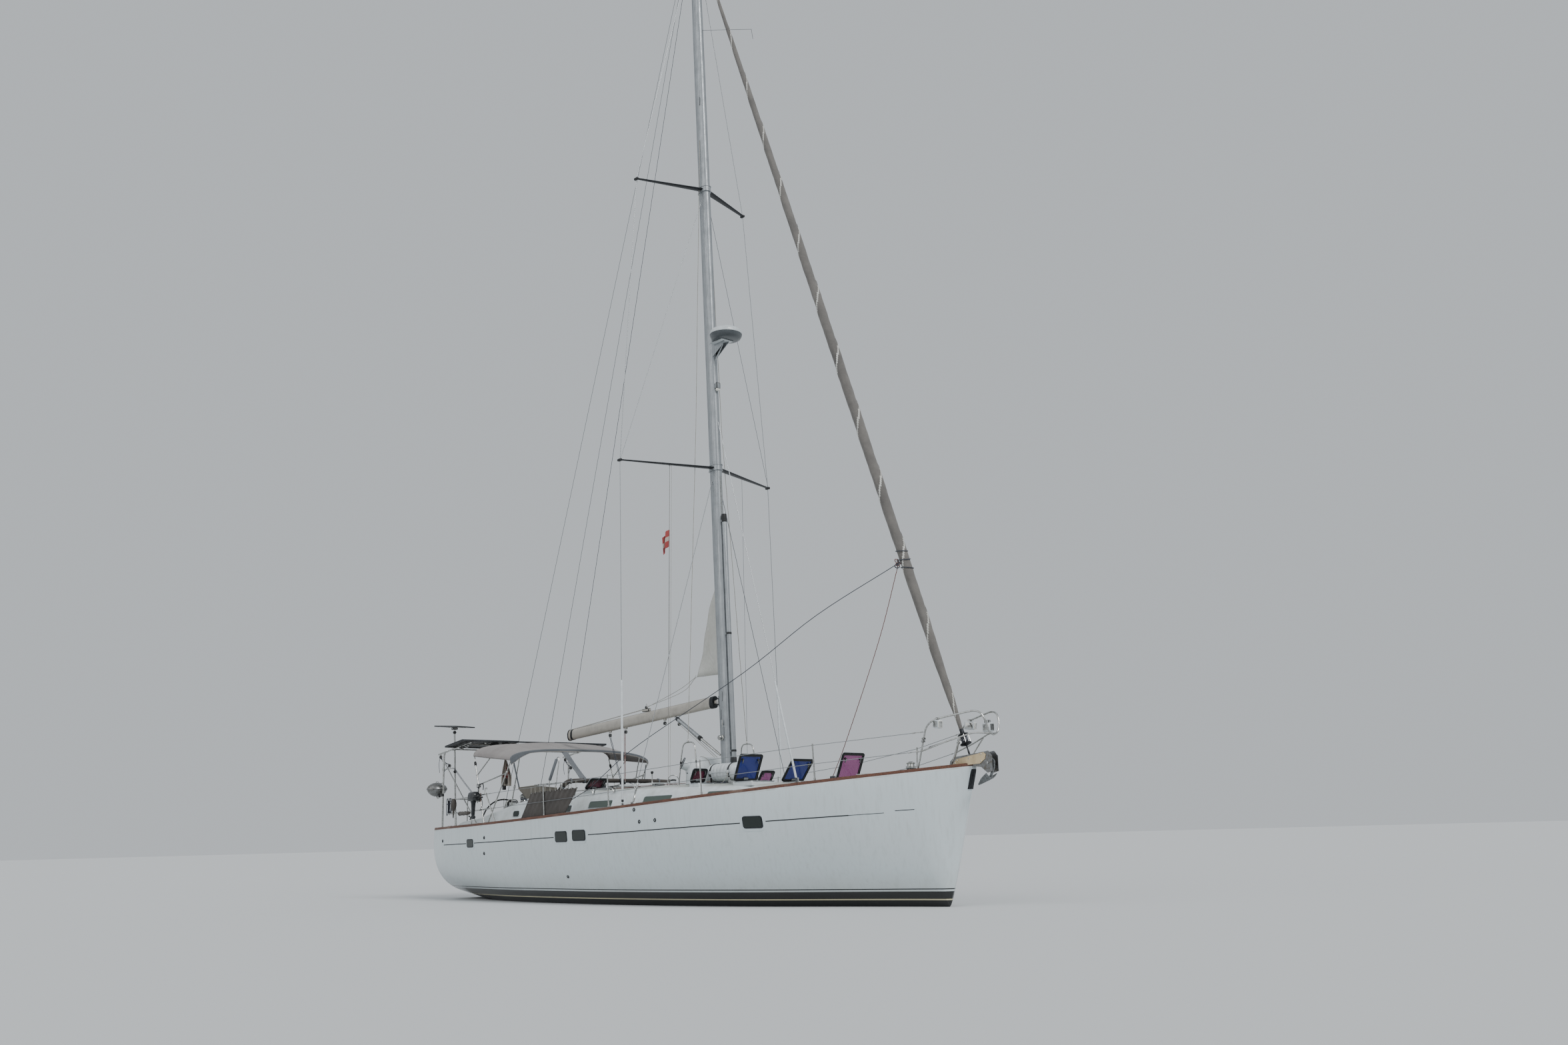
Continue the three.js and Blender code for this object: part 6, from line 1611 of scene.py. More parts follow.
def makeHatch(hatch):
    seat = hatchSeat(hatch)
    turn = Matrix.Translation((hatch["x"], hatch["y"], seat))
    bm = bmesh.new()
    addFrame(bm, hatchOutline(hatch, -0.004), hatchOutline(hatch, 0.032), -0.012, 0.0008, 0, turn)
    addFrame(bm, hatchOutline(hatch, 0.014), hatchOutline(hatch, 0.024), 0.0008, 0.0030, 1, turn)
    finishPiece(bm, "hatch_sill_" + hatch["name"], [alloy, rubber])
    bm = bmesh.new()
    turn = Matrix.Translation((hatch["x"], hatch["y"], seat + hatchLook["lift"]))
    turn = turn @ Matrix.Rotation(-math.radians(hatch["open"]), 4, "Y")
    rim, seal = hatchLook["rim"], hatchLook["seal"]
    addFrame(bm, hatchOutline(hatch, 0.0), hatchOutline(hatch, 0.008), -0.003, 0.010, 1, turn)
    addFrame(bm, hatchOutline(hatch, 0.0), hatchOutline(hatch, rim), 0.010, 0.020, 0, turn)
    addFrame(bm, hatchOutline(hatch, 0.004), hatchOutline(hatch, rim - 0.004), 0.020, 0.0235, 0, turn)
    addFrame(bm, hatchOutline(hatch, rim - 0.016), hatchOutline(hatch, rim + seal), -0.002, 0.010, 2, turn)
    pane = hatchOutline(hatch, rim - 0.001)
    loops = [[bm.verts.new(turn @ Vector((x, y, z))) for x, y in pane] for z in (0.0105, 0.0195)]
    for k in range(len(pane)):
        after = (k + 1) % len(pane)
        bm.faces.new((loops[0][k], loops[0][after], loops[1][after], loops[1][k])).material_index = 3
    bm.faces.new(loops[0]).material_index = 3
    bm.faces.new(loops[1]).material_index = 3
    # Dogs near the free edge, a friction arm's foot by the hinge and the hinge barrels
    long, wide = hatch["length"], hatch["width"]
    for share in (-0.33, 0.33):
        at = Vector((long * 0.80, wide * share, 0.0))
        addTurned(bm, [(0.0, -0.018), (0.017, -0.018), (0.022, -0.012), (0.022, 0.010)], turn @ at,
                  turn.to_3x3() @ Vector((0, 0, 1)), 18, 2)
        addBlock(bm, at + Vector((-0.065, -0.009, -0.026)), at + Vector((0.012, 0.009, -0.014)), 2, 0.004,
            turn)
        at = Vector((0.0, wide * share, 0.0))
        addBlock(bm, at + Vector((-0.004, -0.028, 0.004)), at + Vector((0.045, 0.028, 0.016)), 2, 0.004,
            turn)
        addTurned(bm, [(0.0, -0.03), (0.0085, -0.03), (0.0085, 0.03), (0.0, 0.03)], turn @ at, (0, 1, 0), 16,
            2)
    addBlock(bm, (0.030, -0.055, -0.010), (0.075, 0.055, 0.010), 2, 0.006, turn)
    return finishPiece(bm, "hatch_cover_" + hatch["name"], [alloy, black, nylon, hatch["pane"]],
                       body="hatch_lid_" + hatch["name"], stands=["hatch_lid_" + hatch["name"]], sharp=35)


# Windows in the coachroof's slope and lockers in the coamings: x run, heights, pane
roofWindows = [
    {"x": (-1.54, -0.81), "z": (1.750, 1.862), "pane": 2, "rim": 0.022},
        {"x": (-2.30, -2.12), "z": (1.700, 1.812), "pane": 1, "rim": 0.018},
    {"x": (0.10, 0.86), "z": (1.792, 1.894), "pane": 2, "rim": 0.022},
        {"x": (1.75, 2.35), "z": (1.838, 1.916), "pane": 2, "rim": 0.020},
]


def roofSide(x, z, proud=0.0):
    foot, shoulder, low = (smoothAt(roofRows, key, x) for key in ("foot", "shoulder", "low"))
    sunk = sheerZ(x) - 0.015
    slope = Vector((low - sunk, foot - shoulder)).normalized()
    y = foot + (shoulder - foot) * (z - sunk) / (low - sunk)
    return y + slope.x * proud, z + slope.y * proud


def coamingSide(x, z, proud=0.0):
    foot, outer, top = (smoothAt(coamingRows, key, x) for key in ("foot", "outer", "top"))
    sunk = sheerZ(x) - 0.01
    share = (z - sunk) / (top - sunk)
    return foot + (foot * 0.4 + outer * 0.6 - foot) * share * 2 + proud, z


def makeWindows(side):
    bm = bmesh.new()
    for window in roofWindows + [{"x": (-3.92, -3.73), "z": (1.665, 1.765), "pane": 1, "rim": 0.016,
        "coaming": True}]:
        (x0, x1), (z0, z1) = window["x"], window["z"]
        place = coamingSide if window.get("coaming") else roofSide

        def onSlope(x, z, out):
            y, height = place(x, z, out)
            return Vector((x, side * y, height))

        middle = ((x0 + x1) / 2, (z0 + z1) / 2)
        rim = window["rim"]
        skinPatch(bm, shiftedOutline(x0 - rim, x1 + rim, z0 - rim, z1 + rim, 0.05), middle, onSlope, 0.010,
            0)
        skinPatch(bm, shiftedOutline(x0, x1, z0, z1, 0.035), middle, onSlope, 0.013, window["pane"])
        # Rounded lip round the pane
        lip = [onSlope(x, z, 0.012) for x, z in shiftedOutline(x0 - 0.006, x1 + 0.006, z0 - 0.006,
            z1 + 0.006, 0.04)]
        addTube(bm, lip, 0.0055, 8, 3, closed=True)
    return finishPiece(bm, "cabin_windows_" + ("port" if side > 0 else "stbd"),
        [gelcoat, smokedPane, greenPane, alloy])


# Vents under steel hoops, grab rails, organisers, clutches, tracks and cleats
ventSpots = [(-0.12, 0.40), (-2.19, 0.87)]
railFeet = [-2.20, -1.55, -0.90, -0.25]
cleatSpots = [5.45, 0.95, -6.30]


def addCleat(bm, base, along, size=0.13):
    base, along = Vector(base), Vector(along).normalized()
    for way in (-1, 1):
        horn = [base + along * (way * size * s) + Vector((0, 0, h)) for s,
            h in ((0.22, 0.0), (0.24, 0.03), (0.55, 0.048), (1.0, 0.056))]
        addTube(bm, curvePath(horn, 4), 0.014, 12, 0, taper=[1.15 - 0.06 * k for k in range(13)])
    addTube(bm, [base + along * (way * size * 0.56) + Vector((0, 0, 0.048)) for way in (-1, 1)], 0.013, 12,
        0)
    addBlock(bm, base - Vector((0.055, 0.03, 0.004)), base + Vector((0.055, 0.03, 0.006)), 0, 0.004)


def makeRoofGear(side):
    bm = bmesh.new()
    for x, y in ventSpots:
        base = Vector((x, side * y, surfaceZ(x, y) - 0.004))
        addTurned(bm, [(0.075, 0.0), (0.075, 0.035), (0.060, 0.045), (0.055, 0.075), (0.0, 0.075)], base,
            (0, 0, 1), 28, 1)
        addTurned(bm, [(0.0, 0.080), (0.055, 0.080), (0.066, 0.088), (0.060, 0.100), (0.030, 0.112),
            (0.0, 0.115)], base, (0, 0, 1), 28, 2)
        hoop = [base + Vector((0, -0.105, 0)), base + Vector((0, -0.105, 0.11)),
            base + Vector((0, -0.06, 0.185)),
                base + Vector((0, 0.06, 0.185)), base + Vector((0, 0.105, 0.11)),
                    base + Vector((0, 0.105, 0))]
        spun = [base + Matrix.Rotation(math.radians(-35), 3, "Z") @ (p - base) for p in hoop]
        addBent(bm, spun, 0.008, 0, 0.07)
    # Grab rail on the shoulder
    for start, end in zip(railFeet, railFeet[1:]):
        z = roofTop(start, 2) + 0.055
        y0, y1 = (smoothAt(roofRows, "shoulder", x) + 0.015 for x in (start, end))
        addBent(bm, [(start + 0.02, side * y0, z - 0.09), (start + 0.05, side * y0, z),
            (end - 0.05, side * y1, z),
                     (end - 0.02, side * y1, z - 0.09)], 0.0125, 0, 0.05)
    # Organiser, lines and clutches
    spots = (0.500, 0.545, 0.590, 0.635)
    addBlock(bm, (-0.42, min(side * 0.46, side * 0.68), surfaceZ(-0.4, 0.6) + 0.002),
             (-0.30, max(side * 0.46, side * 0.68), surfaceZ(-0.4, 0.5) + 0.040), 3, 0.012)
    addBlock(bm, (-1.86, min(side * 0.47, side * 0.67), surfaceZ(-1.8, 0.6) - 0.002),
             (-1.72, max(side * 0.47, side * 0.67), surfaceZ(-1.8, 0.5) + 0.060), 2, 0.014)
    for k, y in enumerate(spots):
        line = [(-0.40, side * y, surfaceZ(-0.4, y) + 0.022), (-1.1, side * y, surfaceZ(-1.1, y) + 0.014),
                (-1.80, side * y, surfaceZ(-1.8, y) + 0.022)]
        if side < 0:
            line.insert(0, (0.84, side * (0.11 + 0.012 * k), surfaceZ(0.8, 0.1) + 0.03))
        addTube(bm, line, 0.006, 8, 4 + k % 2)
        addBlock(bm, (-1.90, side * y - 0.014, surfaceZ(-1.8, y) + 0.050),
            (-1.74, side * y + 0.014, surfaceZ(-1.8, y) + 0.074), 2, 0.006)
    # Sheet track and car on the side deck
    ends = [(x, hullHalf(x) - 0.43) for x in (-2.75, 0.30)]
    corners = ((-0.016, -0.003), (-0.016, 0.016), (0.016, 0.016), (0.016, -0.003))
    rows = [[Vector((x, side * (y + a), deckTop(x, y) + b)) for a, b in corners] for x, y in ends]
    addRings(bm, rows, 3)
    car = Vector((-1.84, side * (hullHalf(-1.84) - 0.43), deckTop(-1.84, 1.72)))
    addBlock(bm, car + Vector((-0.07, -0.026, 0.012)), car + Vector((0.07, 0.026, 0.045)), 0, 0.01)
    addPulley(bm, car + Vector((0.02, 0, 0.085)), (0, 0, -1), 0.040, 2, 0)
    for x in cleatSpots:
        y = hullHalf(x) - 0.13
        addCleat(bm, (x, side * y, deckTop(x, y) - 0.002),
            (1, side * (hullHalf(x + 0.1) - hullHalf(x - 0.1)) / 0.2, 0), 0.15 if x > 5 else 0.12)
    # Flush smoked deck light beside the sea hood
    z = surfaceZ(-1.02, 0.72)
    tilt = Matrix.Translation((-1.02, side * 0.72, z)) @ Matrix.Rotation(side * 0.075, 4, "X").inverted()
    addFrame(bm, roundedOutline(0.36, 0.22, 0.05), roundedOutline(0.30, 0.16, 0.03), -0.006, 0.008, 3, tilt)
    addBlock(bm, (-0.152, -0.082, -0.006), (0.152, 0.082, 0.005), 6, 0.004, tilt)
    return finishPiece(bm, "roof_gear_" + ("port" if side > 0 else "stbd"),
                       [steel, radomeWhite, nylon, black, whiteRope, fleckRope, smokedPane])


# Way below: sliding hatch, step, frame and the sea hood's trim
def makeWayBelow():
    bm = bmesh.new()
    z = roofTop(-2.0, 0)
    rings = []
    for x in (-2.335, -2.315, -1.72, -1.70):
        low = 0.006 if x in (-2.335, -1.70) else 0.040
        rings.append([(x, y, z - 0.004 + (low + 0.008) * (1 - (y / 0.40) ** 4))
            for y in [-0.36 + 0.045 * k for k in range(17)]]
                     + [(x, 0.36, z - 0.012), (x, -0.36, z - 0.012)])
    addRings(bm, rings, 0)
    addBent(bm, [(-2.28, -0.12, z + 0.03), (-2.28, -0.12, z + 0.065), (-2.28, 0.12, z + 0.065),
        (-2.28, 0.12, z + 0.03)], 0.008, 1, 0.03)
    for side in (-1, 1):
        addBlock(bm, (-2.352, side * 0.345 - 0.015, 1.425), (-2.325, side * 0.345 + 0.015, 2.05), 2, 0.005)
        addBlock(bm, (-2.33, side * 0.385 - 0.012, z - 0.02), (-0.98, side * 0.385 + 0.012, z + 0.022), 3,
            0.004)
    for x, height in ((-2.10, 1.62), (-1.93, 1.42)):
        addBlock(bm, (x - 0.09, -0.25, height - 0.03), (x + 0.09, 0.25, height), 2, 0.008)
    for side in (-1, 1):
        addBlock(bm, (-2.20, side * 0.265 - 0.012, 1.315), (-1.70, side * 0.265 + 0.012, 1.64), 2, 0.006)
    addBlock(bm, (-1.70, -0.325, 1.313), (-1.655, 0.325, 2.055), 2, 0.004)
    return finishPiece(bm, "companionway_joinery", [smokedPane, steel, mahogany, alloy])


# Teak on the soles, seats and platform, in panels with a margin
def makeTeak():
    bm = bmesh.new()
    panels = [
        (-4.38, -2.42, -1.19, -0.62, 1.42), (-4.38, -2.42, 0.62, 1.19, 1.42),
            (-4.42, -2.40, -0.50, -0.12, 0.96),
        (-4.42, -2.40, 0.12, 0.50, 0.96), (-6.20, -5.44, -1.32, 1.32, 0.96),
            (-5.38, -4.50, -0.62, 0.62, 0.96),
        (-6.60, -6.28, -0.25, 0.25, 0.96), (-7.05, -6.68, -0.70, 0.70, 0.48),
    ]
    for x0, x1, y0, y1, z in panels:
        addBlock(bm, (x0, y0, z + 0.0002), (x1, y1, z + 0.008), 0, 0.002)
    return finishPiece(bm, "teak_panels", [teak])


# Cockpit table with folded leaves, fiddles and a bottle well
def makeTable():
    bm = bmesh.new()
    addBlock(bm, (-4.148, -0.088, 0.9605), (-2.952, 0.088, 1.5975), 0, 0.03)
    addBlock(bm, (-4.248, -0.208, 1.604), (-2.852, 0.208, 1.632), 1, 0.012)
    for side in (-1, 1):
        addBlock(bm, (-4.245, side * 0.216 - 0.009, 1.24), (-2.855, side * 0.216 + 0.009, 1.622), 1, 0.008)
        for x in (-4.0, -3.55, -3.1):
            addTurned(bm, [(0.0, -0.035), (0.007, -0.035), (0.007, 0.035), (0.0, 0.035)],
                (x, side * 0.212, 1.630), (1, 0, 0), 12, 2)
        addBent(bm, [(-4.20, side * 0.175, 1.632), (-4.20, side * 0.175, 1.64), (-2.90, side * 0.175, 1.64),
            (-2.90, side * 0.175, 1.632)], 0.006, 1, 0.02)
    addBent(bm, [(-4.17, -0.075, 1.05), (-4.235, -0.075, 1.05), (-4.235, -0.075, 1.57),
        (-4.235, 0.075, 1.57), (-4.235, 0.075, 1.05), (-4.17, 0.075, 1.05)],
            0.0125, 2, 0.05)
    addBlock(bm, (-3.95, -0.092, 1.10), (-3.15, 0.092, 1.42), 0, 0.03)
    return finishPiece(bm, "cockpit_table_set", [deckCoat, mahogany, steel], stands=["cockpit_table"])


# Wheels and their pedestals
helm = {"x": -5.26, "y": 1.0, "z": 1.53, "radius": 0.52}


def makeWheel(side):
    bm = bmesh.new()
    tag = "port" if side > 0 else "stbd"
    hub = Vector((helm["x"], side * helm["y"], helm["z"]))
    addTube(bm, ringPath(hub, (0, helm["radius"], 0), (0, 0, helm["radius"]), 72), 0.0152, 14, 0,
        closed=True)
    # Hide's lacing along the inner side of the rim, and the king spoke's knot
    for k in range(108):
        t = 2 * math.pi * k / 108
        inner = hub + Vector((0.0, math.cos(t), math.sin(t))) * (helm["radius"] - 0.0135)
        slant = Vector((0.004, -math.sin(t) * 0.006, math.cos(t) * 0.006))
        addTube(bm, [inner - slant, inner + slant], 0.0016, 5, 3)
    addTube(bm, ringPath(hub + Vector((0, 0, helm["radius"])), (0.019, 0, 0), (0, 0, 0.019), 16), 0.004, 8,
        3, closed=True)
    for k in range(5):
        t = 2 * math.pi * (k + 0.25) / 5
        out = Vector((0, math.cos(t), math.sin(t)))
        addTube(bm, [hub + Vector((0.012, 0, 0)) + out * 0.03, hub + Vector((0.006, 0, 0)) + out * 0.2,
            hub + out * (helm["radius"] - 0.008)],
                0.008, 10, 1, taper=[1.3, 1.0, 0.9])
    addTurned(bm, [(0.0, -0.028), (0.030, -0.026), (0.048, -0.012), (0.050, 0.012), (0.036, 0.024),
        (0.016, 0.03), (0.016, 0.165), (0.0, 0.165)],
              hub, (1, 0, 0), 32, 1)
    addTurned(bm, [(0.0, -0.045), (0.012, -0.044), (0.020, -0.034), (0.020, -0.026)], hub, (1, 0, 0), 6, 2)
    return finishPiece(bm, "steering_wheel_rim_" + tag, [hide, steel, black, whiteRope],
        body="steering_wheel_" + tag,
                       stands=["steering_wheel_" + tag])


def makePedestal(side):
    bm = bmesh.new()
    tag = "port" if side > 0 else "stbd"
    y = side * helm["y"]
    rings = []
    rows = [(0.9605, 0.150, 0.080, 0.380), (1.02, 0.146, 0.080, 0.368), (1.25, 0.130, 0.076, 0.328),
        (1.50, 0.120, 0.072, 0.300),
            (1.66, 0.124, 0.066, 0.314), (1.75, 0.130, 0.062, 0.330), (1.775, 0.118, 0.075, 0.318)]
    for z, half, front, back in rows:
        middle = (front + back) / 2
        rings.append([(helm["x"] + middle + x, y + w, z) for x,
            w in roundedOutline(back - front, 2 * half, 0.045)])
    body = bmesh.new()
    addRings(body, rings, 0)
    bore = bmesh.new()
    addTurned(bore, [(0.0, -0.05), (0.022, -0.05), (0.022, 0.19), (0.0, 0.19)],
        (helm["x"] + 0.03, y, helm["z"]), (1, 0, 0), 20, 0)
    body = combined(body, [("DIFFERENCE", bore)])
    mesh = bpy.data.meshes.new("column")
    body.to_mesh(mesh)
    body.free()
    bm.from_mesh(mesh)
    top = Vector((helm["x"] + 0.20, y, 1.772))
    # Compass: black bowl under a clear dome, inside its guard's silver ring
    addTurned(bm, [(0.095, 0.0), (0.095, 0.05), (0.088, 0.062), (0.070, 0.062)], top, (0, 0, 1), 32, 1)
    addTurned(bm, [(0.070, 0.062), (0.066, 0.085), (0.052, 0.106), (0.028, 0.118), (0.0, 0.122)], top,
        (0, 0, 1), 32, 3)
    addTube(bm, ringPath(top + Vector((0, 0, 0.058)), (0.096, 0, 0), (0, 0.096, 0), 32), 0.005, 8, 2,
        closed=True)
    x = helm["x"] + 0.35
    legs = [(x, y - 0.17, 0.9605), (x, y - 0.17, 1.80), (x, y - 0.12, 2.03), (x, y + 0.12, 2.03),
        (x, y + 0.17, 1.80), (x, y + 0.17, 0.9605)]
    addBent(bm, legs, 0.012, 2, 0.07)
    for way in (-1, 1):
        addTurned(bm, [(0.030, 0.0), (0.030, 0.008), (0.013, 0.012), (0.013, 0.02)],
            (x, y + way * 0.17, 0.961), (0, 0, 1), 20, 2)
    addBlock(bm, (x - 0.058, y - 0.178, 1.642), (x + 0.010, y + 0.178, 1.667), 0, 0.008)
    # Instrument pod with round dials and engine lever
    addBlock(bm, (x - 0.055, y - 0.115, 1.86), (x + 0.012, y + 0.115, 2.005), 1, 0.03)
    for way in (-1, 1):
        addTurned(bm, [(0.0, -0.062), (0.034, -0.062), (0.042, -0.056), (0.042, -0.05)],
            (x, y + way * 0.055, 1.932), (1, 0, 0), 28, 4)
    if side < 0:
        addTurned(bm, [(0.0, 0.0), (0.03, 0.0), (0.03, 0.02), (0.02, 0.03), (0.0, 0.03)],
            (x - 0.19, y - 0.112, 1.40), (0, -1, 0), 20, 2)
        addTube(bm, [(x - 0.19, y - 0.135, 1.40), (x - 0.22, y - 0.145, 1.52)], 0.007, 10, 2)
        addTurned(bm, [(0.0, -0.02), (0.014, -0.016), (0.018, 0.0), (0.014, 0.016), (0.0, 0.02)],
            (x - 0.225, y - 0.146, 1.535), (0, 0, 1), 16, 1)
    return finishPiece(bm, "helm_pedestal_" + tag, [deckCoat, nylon, steel, lens, smokedPane],
        stands=["wheel_pedestal_" + tag])


for side in (-1, 1):
    makeWinches(side)
    makeWindows(side)
    makeRoofGear(side)
    makeWheel(side)
    makePedestal(side)
for hatch in hatches:
    makeHatch(hatch)
makeWayBelow()
makeTeak()
makeTable()
print("deck gear, hatches and helm made")
# Guard rails: posts in sockets, two wires, end screws
railPosts = [-1.99, 0.10, 2.49, 4.66]
railLook = {"inset": 0.095, "high": 0.620, "lean": 0.035, "middle": 0.310, "post": 0.013, "wire": 0.005}


def pushpitLeg(side, up):
    share = up / 0.62
    return Vector((-3.96 - 0.42 * share, side * (1.95 - 0.005 * share), deckTop(-3.96, 1.95) + up))


def pulpitLeg(side, up):
    share = up / 0.69
    return Vector((6.16 + 0.25 * share, side * (0.40 + 0.028 * share), deckTop(6.16, 0.40) + up))


def postPoint(x, side, up):
    y = straightAt(hullRows, "half", x) - railLook["inset"]
    return Vector((x, side * (y + railLook["lean"] * up / railLook["high"]), deckTop(x, y) + up))


def makeLifelines(side):
    bm = bmesh.new()
    for x in railPosts:
        foot, top = postPoint(x, side, 0), postPoint(x, side, railLook["high"])
        rows = [(0.034, 0.0), (0.034, 0.006), (0.019, 0.010), (0.019, 0.088), (0.0135, 0.092), (0.013, 0.30),
            (0.0165, 0.302),
                (0.0165, 0.316), (0.013, 0.318), (0.013, 0.605), (0.016, 0.608), (0.016, 0.622),
                    (0.008, 0.632), (0.0, 0.633)]
        addTurned(bm, rows, foot, top - foot, 16, 0)
    for up in (railLook["middle"], 0.605):
        ends = [pushpitLeg(side, up), *[postPoint(x, side, up) for x in railPosts], pulpitLeg(side, up)]
        addTube(bm, ends, railLook["wire"], 8, 1)
        for here, there in ((ends[0], ends[1]), (ends[-1], ends[-2])):
            addTurnbuckle(bm, here, there, 0.02, 0.21, 0.010, 0)
    return finishPiece(bm, "guard_wires_" + ("port" if side > 0 else "stbd"), [steel, wire],
        stands=["lifelines_" + ("port" if side > 0 else "stbd")])


# Bow: rails, lamps, roller, anchor and windlass
def makePulpit():
    bm = bmesh.new()
    for side in (-1, 1):
        top = [(6.56, 0.410, 2.840), (7.20, 0.215, 2.935), (7.33, 0.190, 2.900), (7.39, 0.160, 2.760),
            (7.40, 0.110, 2.600), (7.395, 0, 2.558)]
        foot = pulpitLeg(side, 0)
        addBent(bm, [foot, pulpitLeg(side, 0.69), *[(x, side * y, z) for x, y, z in top]], 0.014, 0, 0.09)
        middle = [(6.70, 0.350, 2.480), (7.15, 0.200, 2.600), (7.392, 0.080, 2.580)]
        addBent(bm, [pulpitLeg(side, 0.31), *[(x, side * y, z) for x, y, z in middle]], 0.012, 0, 0.08)
        deck = deckTop(6.64, 0.16)
        addTube(bm, [(6.64, side * 0.16, deck), (6.96, side * 0.275, 2.545)], 0.012, 12, 0)
        for base in (foot, Vector((6.64, side * 0.16, deck))):
            addTurned(bm, [(0.034, -0.006), (0.034, 0.008), (0.016, 0.014), (0.016, 0.03)], base, (0, 0, 1),
                20, 0)
        # Clamps on the leg, and a white lamp housing with its lens under the top rail
        for up in (0.46, 0.50):
            at = pulpitLeg(side, up)
            addBlock(bm, at - Vector((0.028, 0.022, 0.014)), at + Vector((0.028, 0.022, 0.014)), 1, 0.006)
        turn = Matrix.Translation((6.62, side * 0.385, 2.765)) @ Matrix.Rotation(side * 0.35, 4,
            "Z") @ Matrix.Rotation(0.12, 4, "Y")
        addBlock(bm, (-0.095, -0.045, -0.065), (0.075, 0.045, 0.065), 2, 0.02, turn)
        addBlock(bm, (0.070, -0.038, -0.055), (0.092, 0.038, 0.055), 3, 0.012, turn)
        addBlock(bm, (-0.055, -0.012, 0.06), (0.015, 0.012, 0.10), 1, 0.004, turn)
    # Two-colour lamp box behind the front bend, and its plug
    addBlock(bm, (7.10, 0.09, 2.62), (7.26, 0.20, 2.76), 2, 0.02)
    for k in range(4):
        addBlock(bm, (7.262, 0.10 + 0.024 * k, 2.64), (7.268, 0.112 + 0.024 * k, 2.74), 1, 0.002)
    addBlock(bm, (7.13, 0.11, 2.755), (7.22, 0.17, 2.80), 1, 0.008)
    return finishPiece(bm, "pulpit_rails", [steel, nylon, radomeWhite, lens], stands=["bow_pulpit"])


bowCheek = [(6.52, 2.07), (6.56, 2.20), (6.64, 2.26), (7.14, 2.30), (7.33, 2.32), (7.40, 2.24), (7.40, 2.01),
    (7.30, 1.99),
            (7.18, 2.08), (7.03, 2.10), (7.01, 2.165), (6.862, 2.165), (6.86, 2.075)]
creamPlate = [(6.60, 2.125), (6.70, 2.225), (7.245, 2.300), (7.285, 2.262), (7.265, 2.195), (7.17, 2.135),
    (6.62, 2.115)]


def addPlate(bm, outline, y0, y1, slot, place=None):
    # A plate cut to an outline of (x, z), between two sides
    place = place or Matrix()
    loops = [[bm.verts.new(place @ Vector((x, y, z))) for x, z in outline] for y in (y0, y1)]
    for k in range(len(outline)):
        after = (k + 1) % len(outline)
        bm.faces.new((loops[0][k], loops[0][after], loops[1][after], loops[1][k])).material_index = slot
    for loop in loops:
        bm.faces.new(loop).material_index = slot


def makeBowRoller():
    bm = bmesh.new()
    for side in (-1, 1):
        addPlate(bm, bowCheek, side * 0.064, side * 0.076, 0)
        addPlate(bm, creamPlate, side * 0.0775, side * 0.089, 1)
        for x, z in ((6.665, 2.165), (6.72, 2.205), (7.20, 2.275), (7.19, 2.17), (6.95, 2.22)):
            addTurned(bm, [(0.011, 0.0), (0.009, 0.004), (0.0, 0.006)], (x, side * 0.089, z), (0, side, 0),
                12, 3)
        addTurned(bm, [(0.0, 0.0), (0.020, 0.0), (0.020, 0.014), (0.0, 0.018)], (7.32, side * 0.076, 2.138),
            (0, side, 0), 6, 3)
    addBlock(bm, (6.56, -0.066, 2.162), (7.27, 0.066, 2.182), 0, 0.004)
    grooved = [(0.0, -0.058), (0.045, -0.058), (0.045, -0.040), (0.028, -0.014), (0.024, 0.0),
        (0.028, 0.014), (0.045, 0.040), (0.045, 0.058), (0.0, 0.058)]
    addTurned(bm, grooved, (7.32, 0, 2.138), (0, 1, 0), 28, 2)
    addTurned(bm, [(0.0, -0.07), (0.009, -0.07), (0.009, 0.07), (0.0, 0.07)], (7.22, 0, 2.245), (0, 1, 0),
        14, 3)
    return finishPiece(bm, "bow_roller_frame", [plate, bowCream, nylon, steel], stands=["bow_roller"])


def makeAnchor():
    bm = bmesh.new()
    top = 2.1837
    shank = [(6.62, top), (7.345, top), (7.378, 2.14), (7.378, 2.09), (7.31, 1.925), (7.35, 1.915),
        (7.418, 2.085), (7.418, top - 0.010),
             (7.36, top + 0.038), (6.62, top + 0.030)]
    addPlate(bm, shank, -0.048, -0.028, 0)
    rows = [(7.08, 0.008, 1.810, 1.820), (7.14, 0.048, 1.826, 1.852), (7.20, 0.085, 1.846, 1.892),
        (7.28, 0.108, 1.870, 1.936), (7.35, 0.125, 1.895, 1.972)]
    rings = []
    for x, half, low, wing in rows:
        # Concave fluke with turned-up wings, heavier along its tip
        ring = [(x, -0.038 + half * s, low + (wing - low) * abs(s) ** 1.7)
            for s in (-1, -0.7, -0.35, 0, 0.35, 0.7, 1)]
        ring += [(x, -0.038 + half * s, low + 0.014 + (wing - low) * abs(s) ** 1.7)
            for s in (1, 0.7, 0.35, 0, -0.35, -0.7, -1)]
        rings.append(ring)
    addRings(bm, rings, 0)
    addTube(bm, [(7.30, -0.038, 1.90), (7.335, -0.038, 1.945)], 0.022, 12, 0)
    addTube(bm, ringPath((6.665, -0.038, top + 0.014), (0.026, 0, 0), (0, 0.026, 0), 20), 0.007, 8, 0,
        closed=True)
    return finishPiece(bm, "bower_anchor", [galvanised], stands=["anchor"])


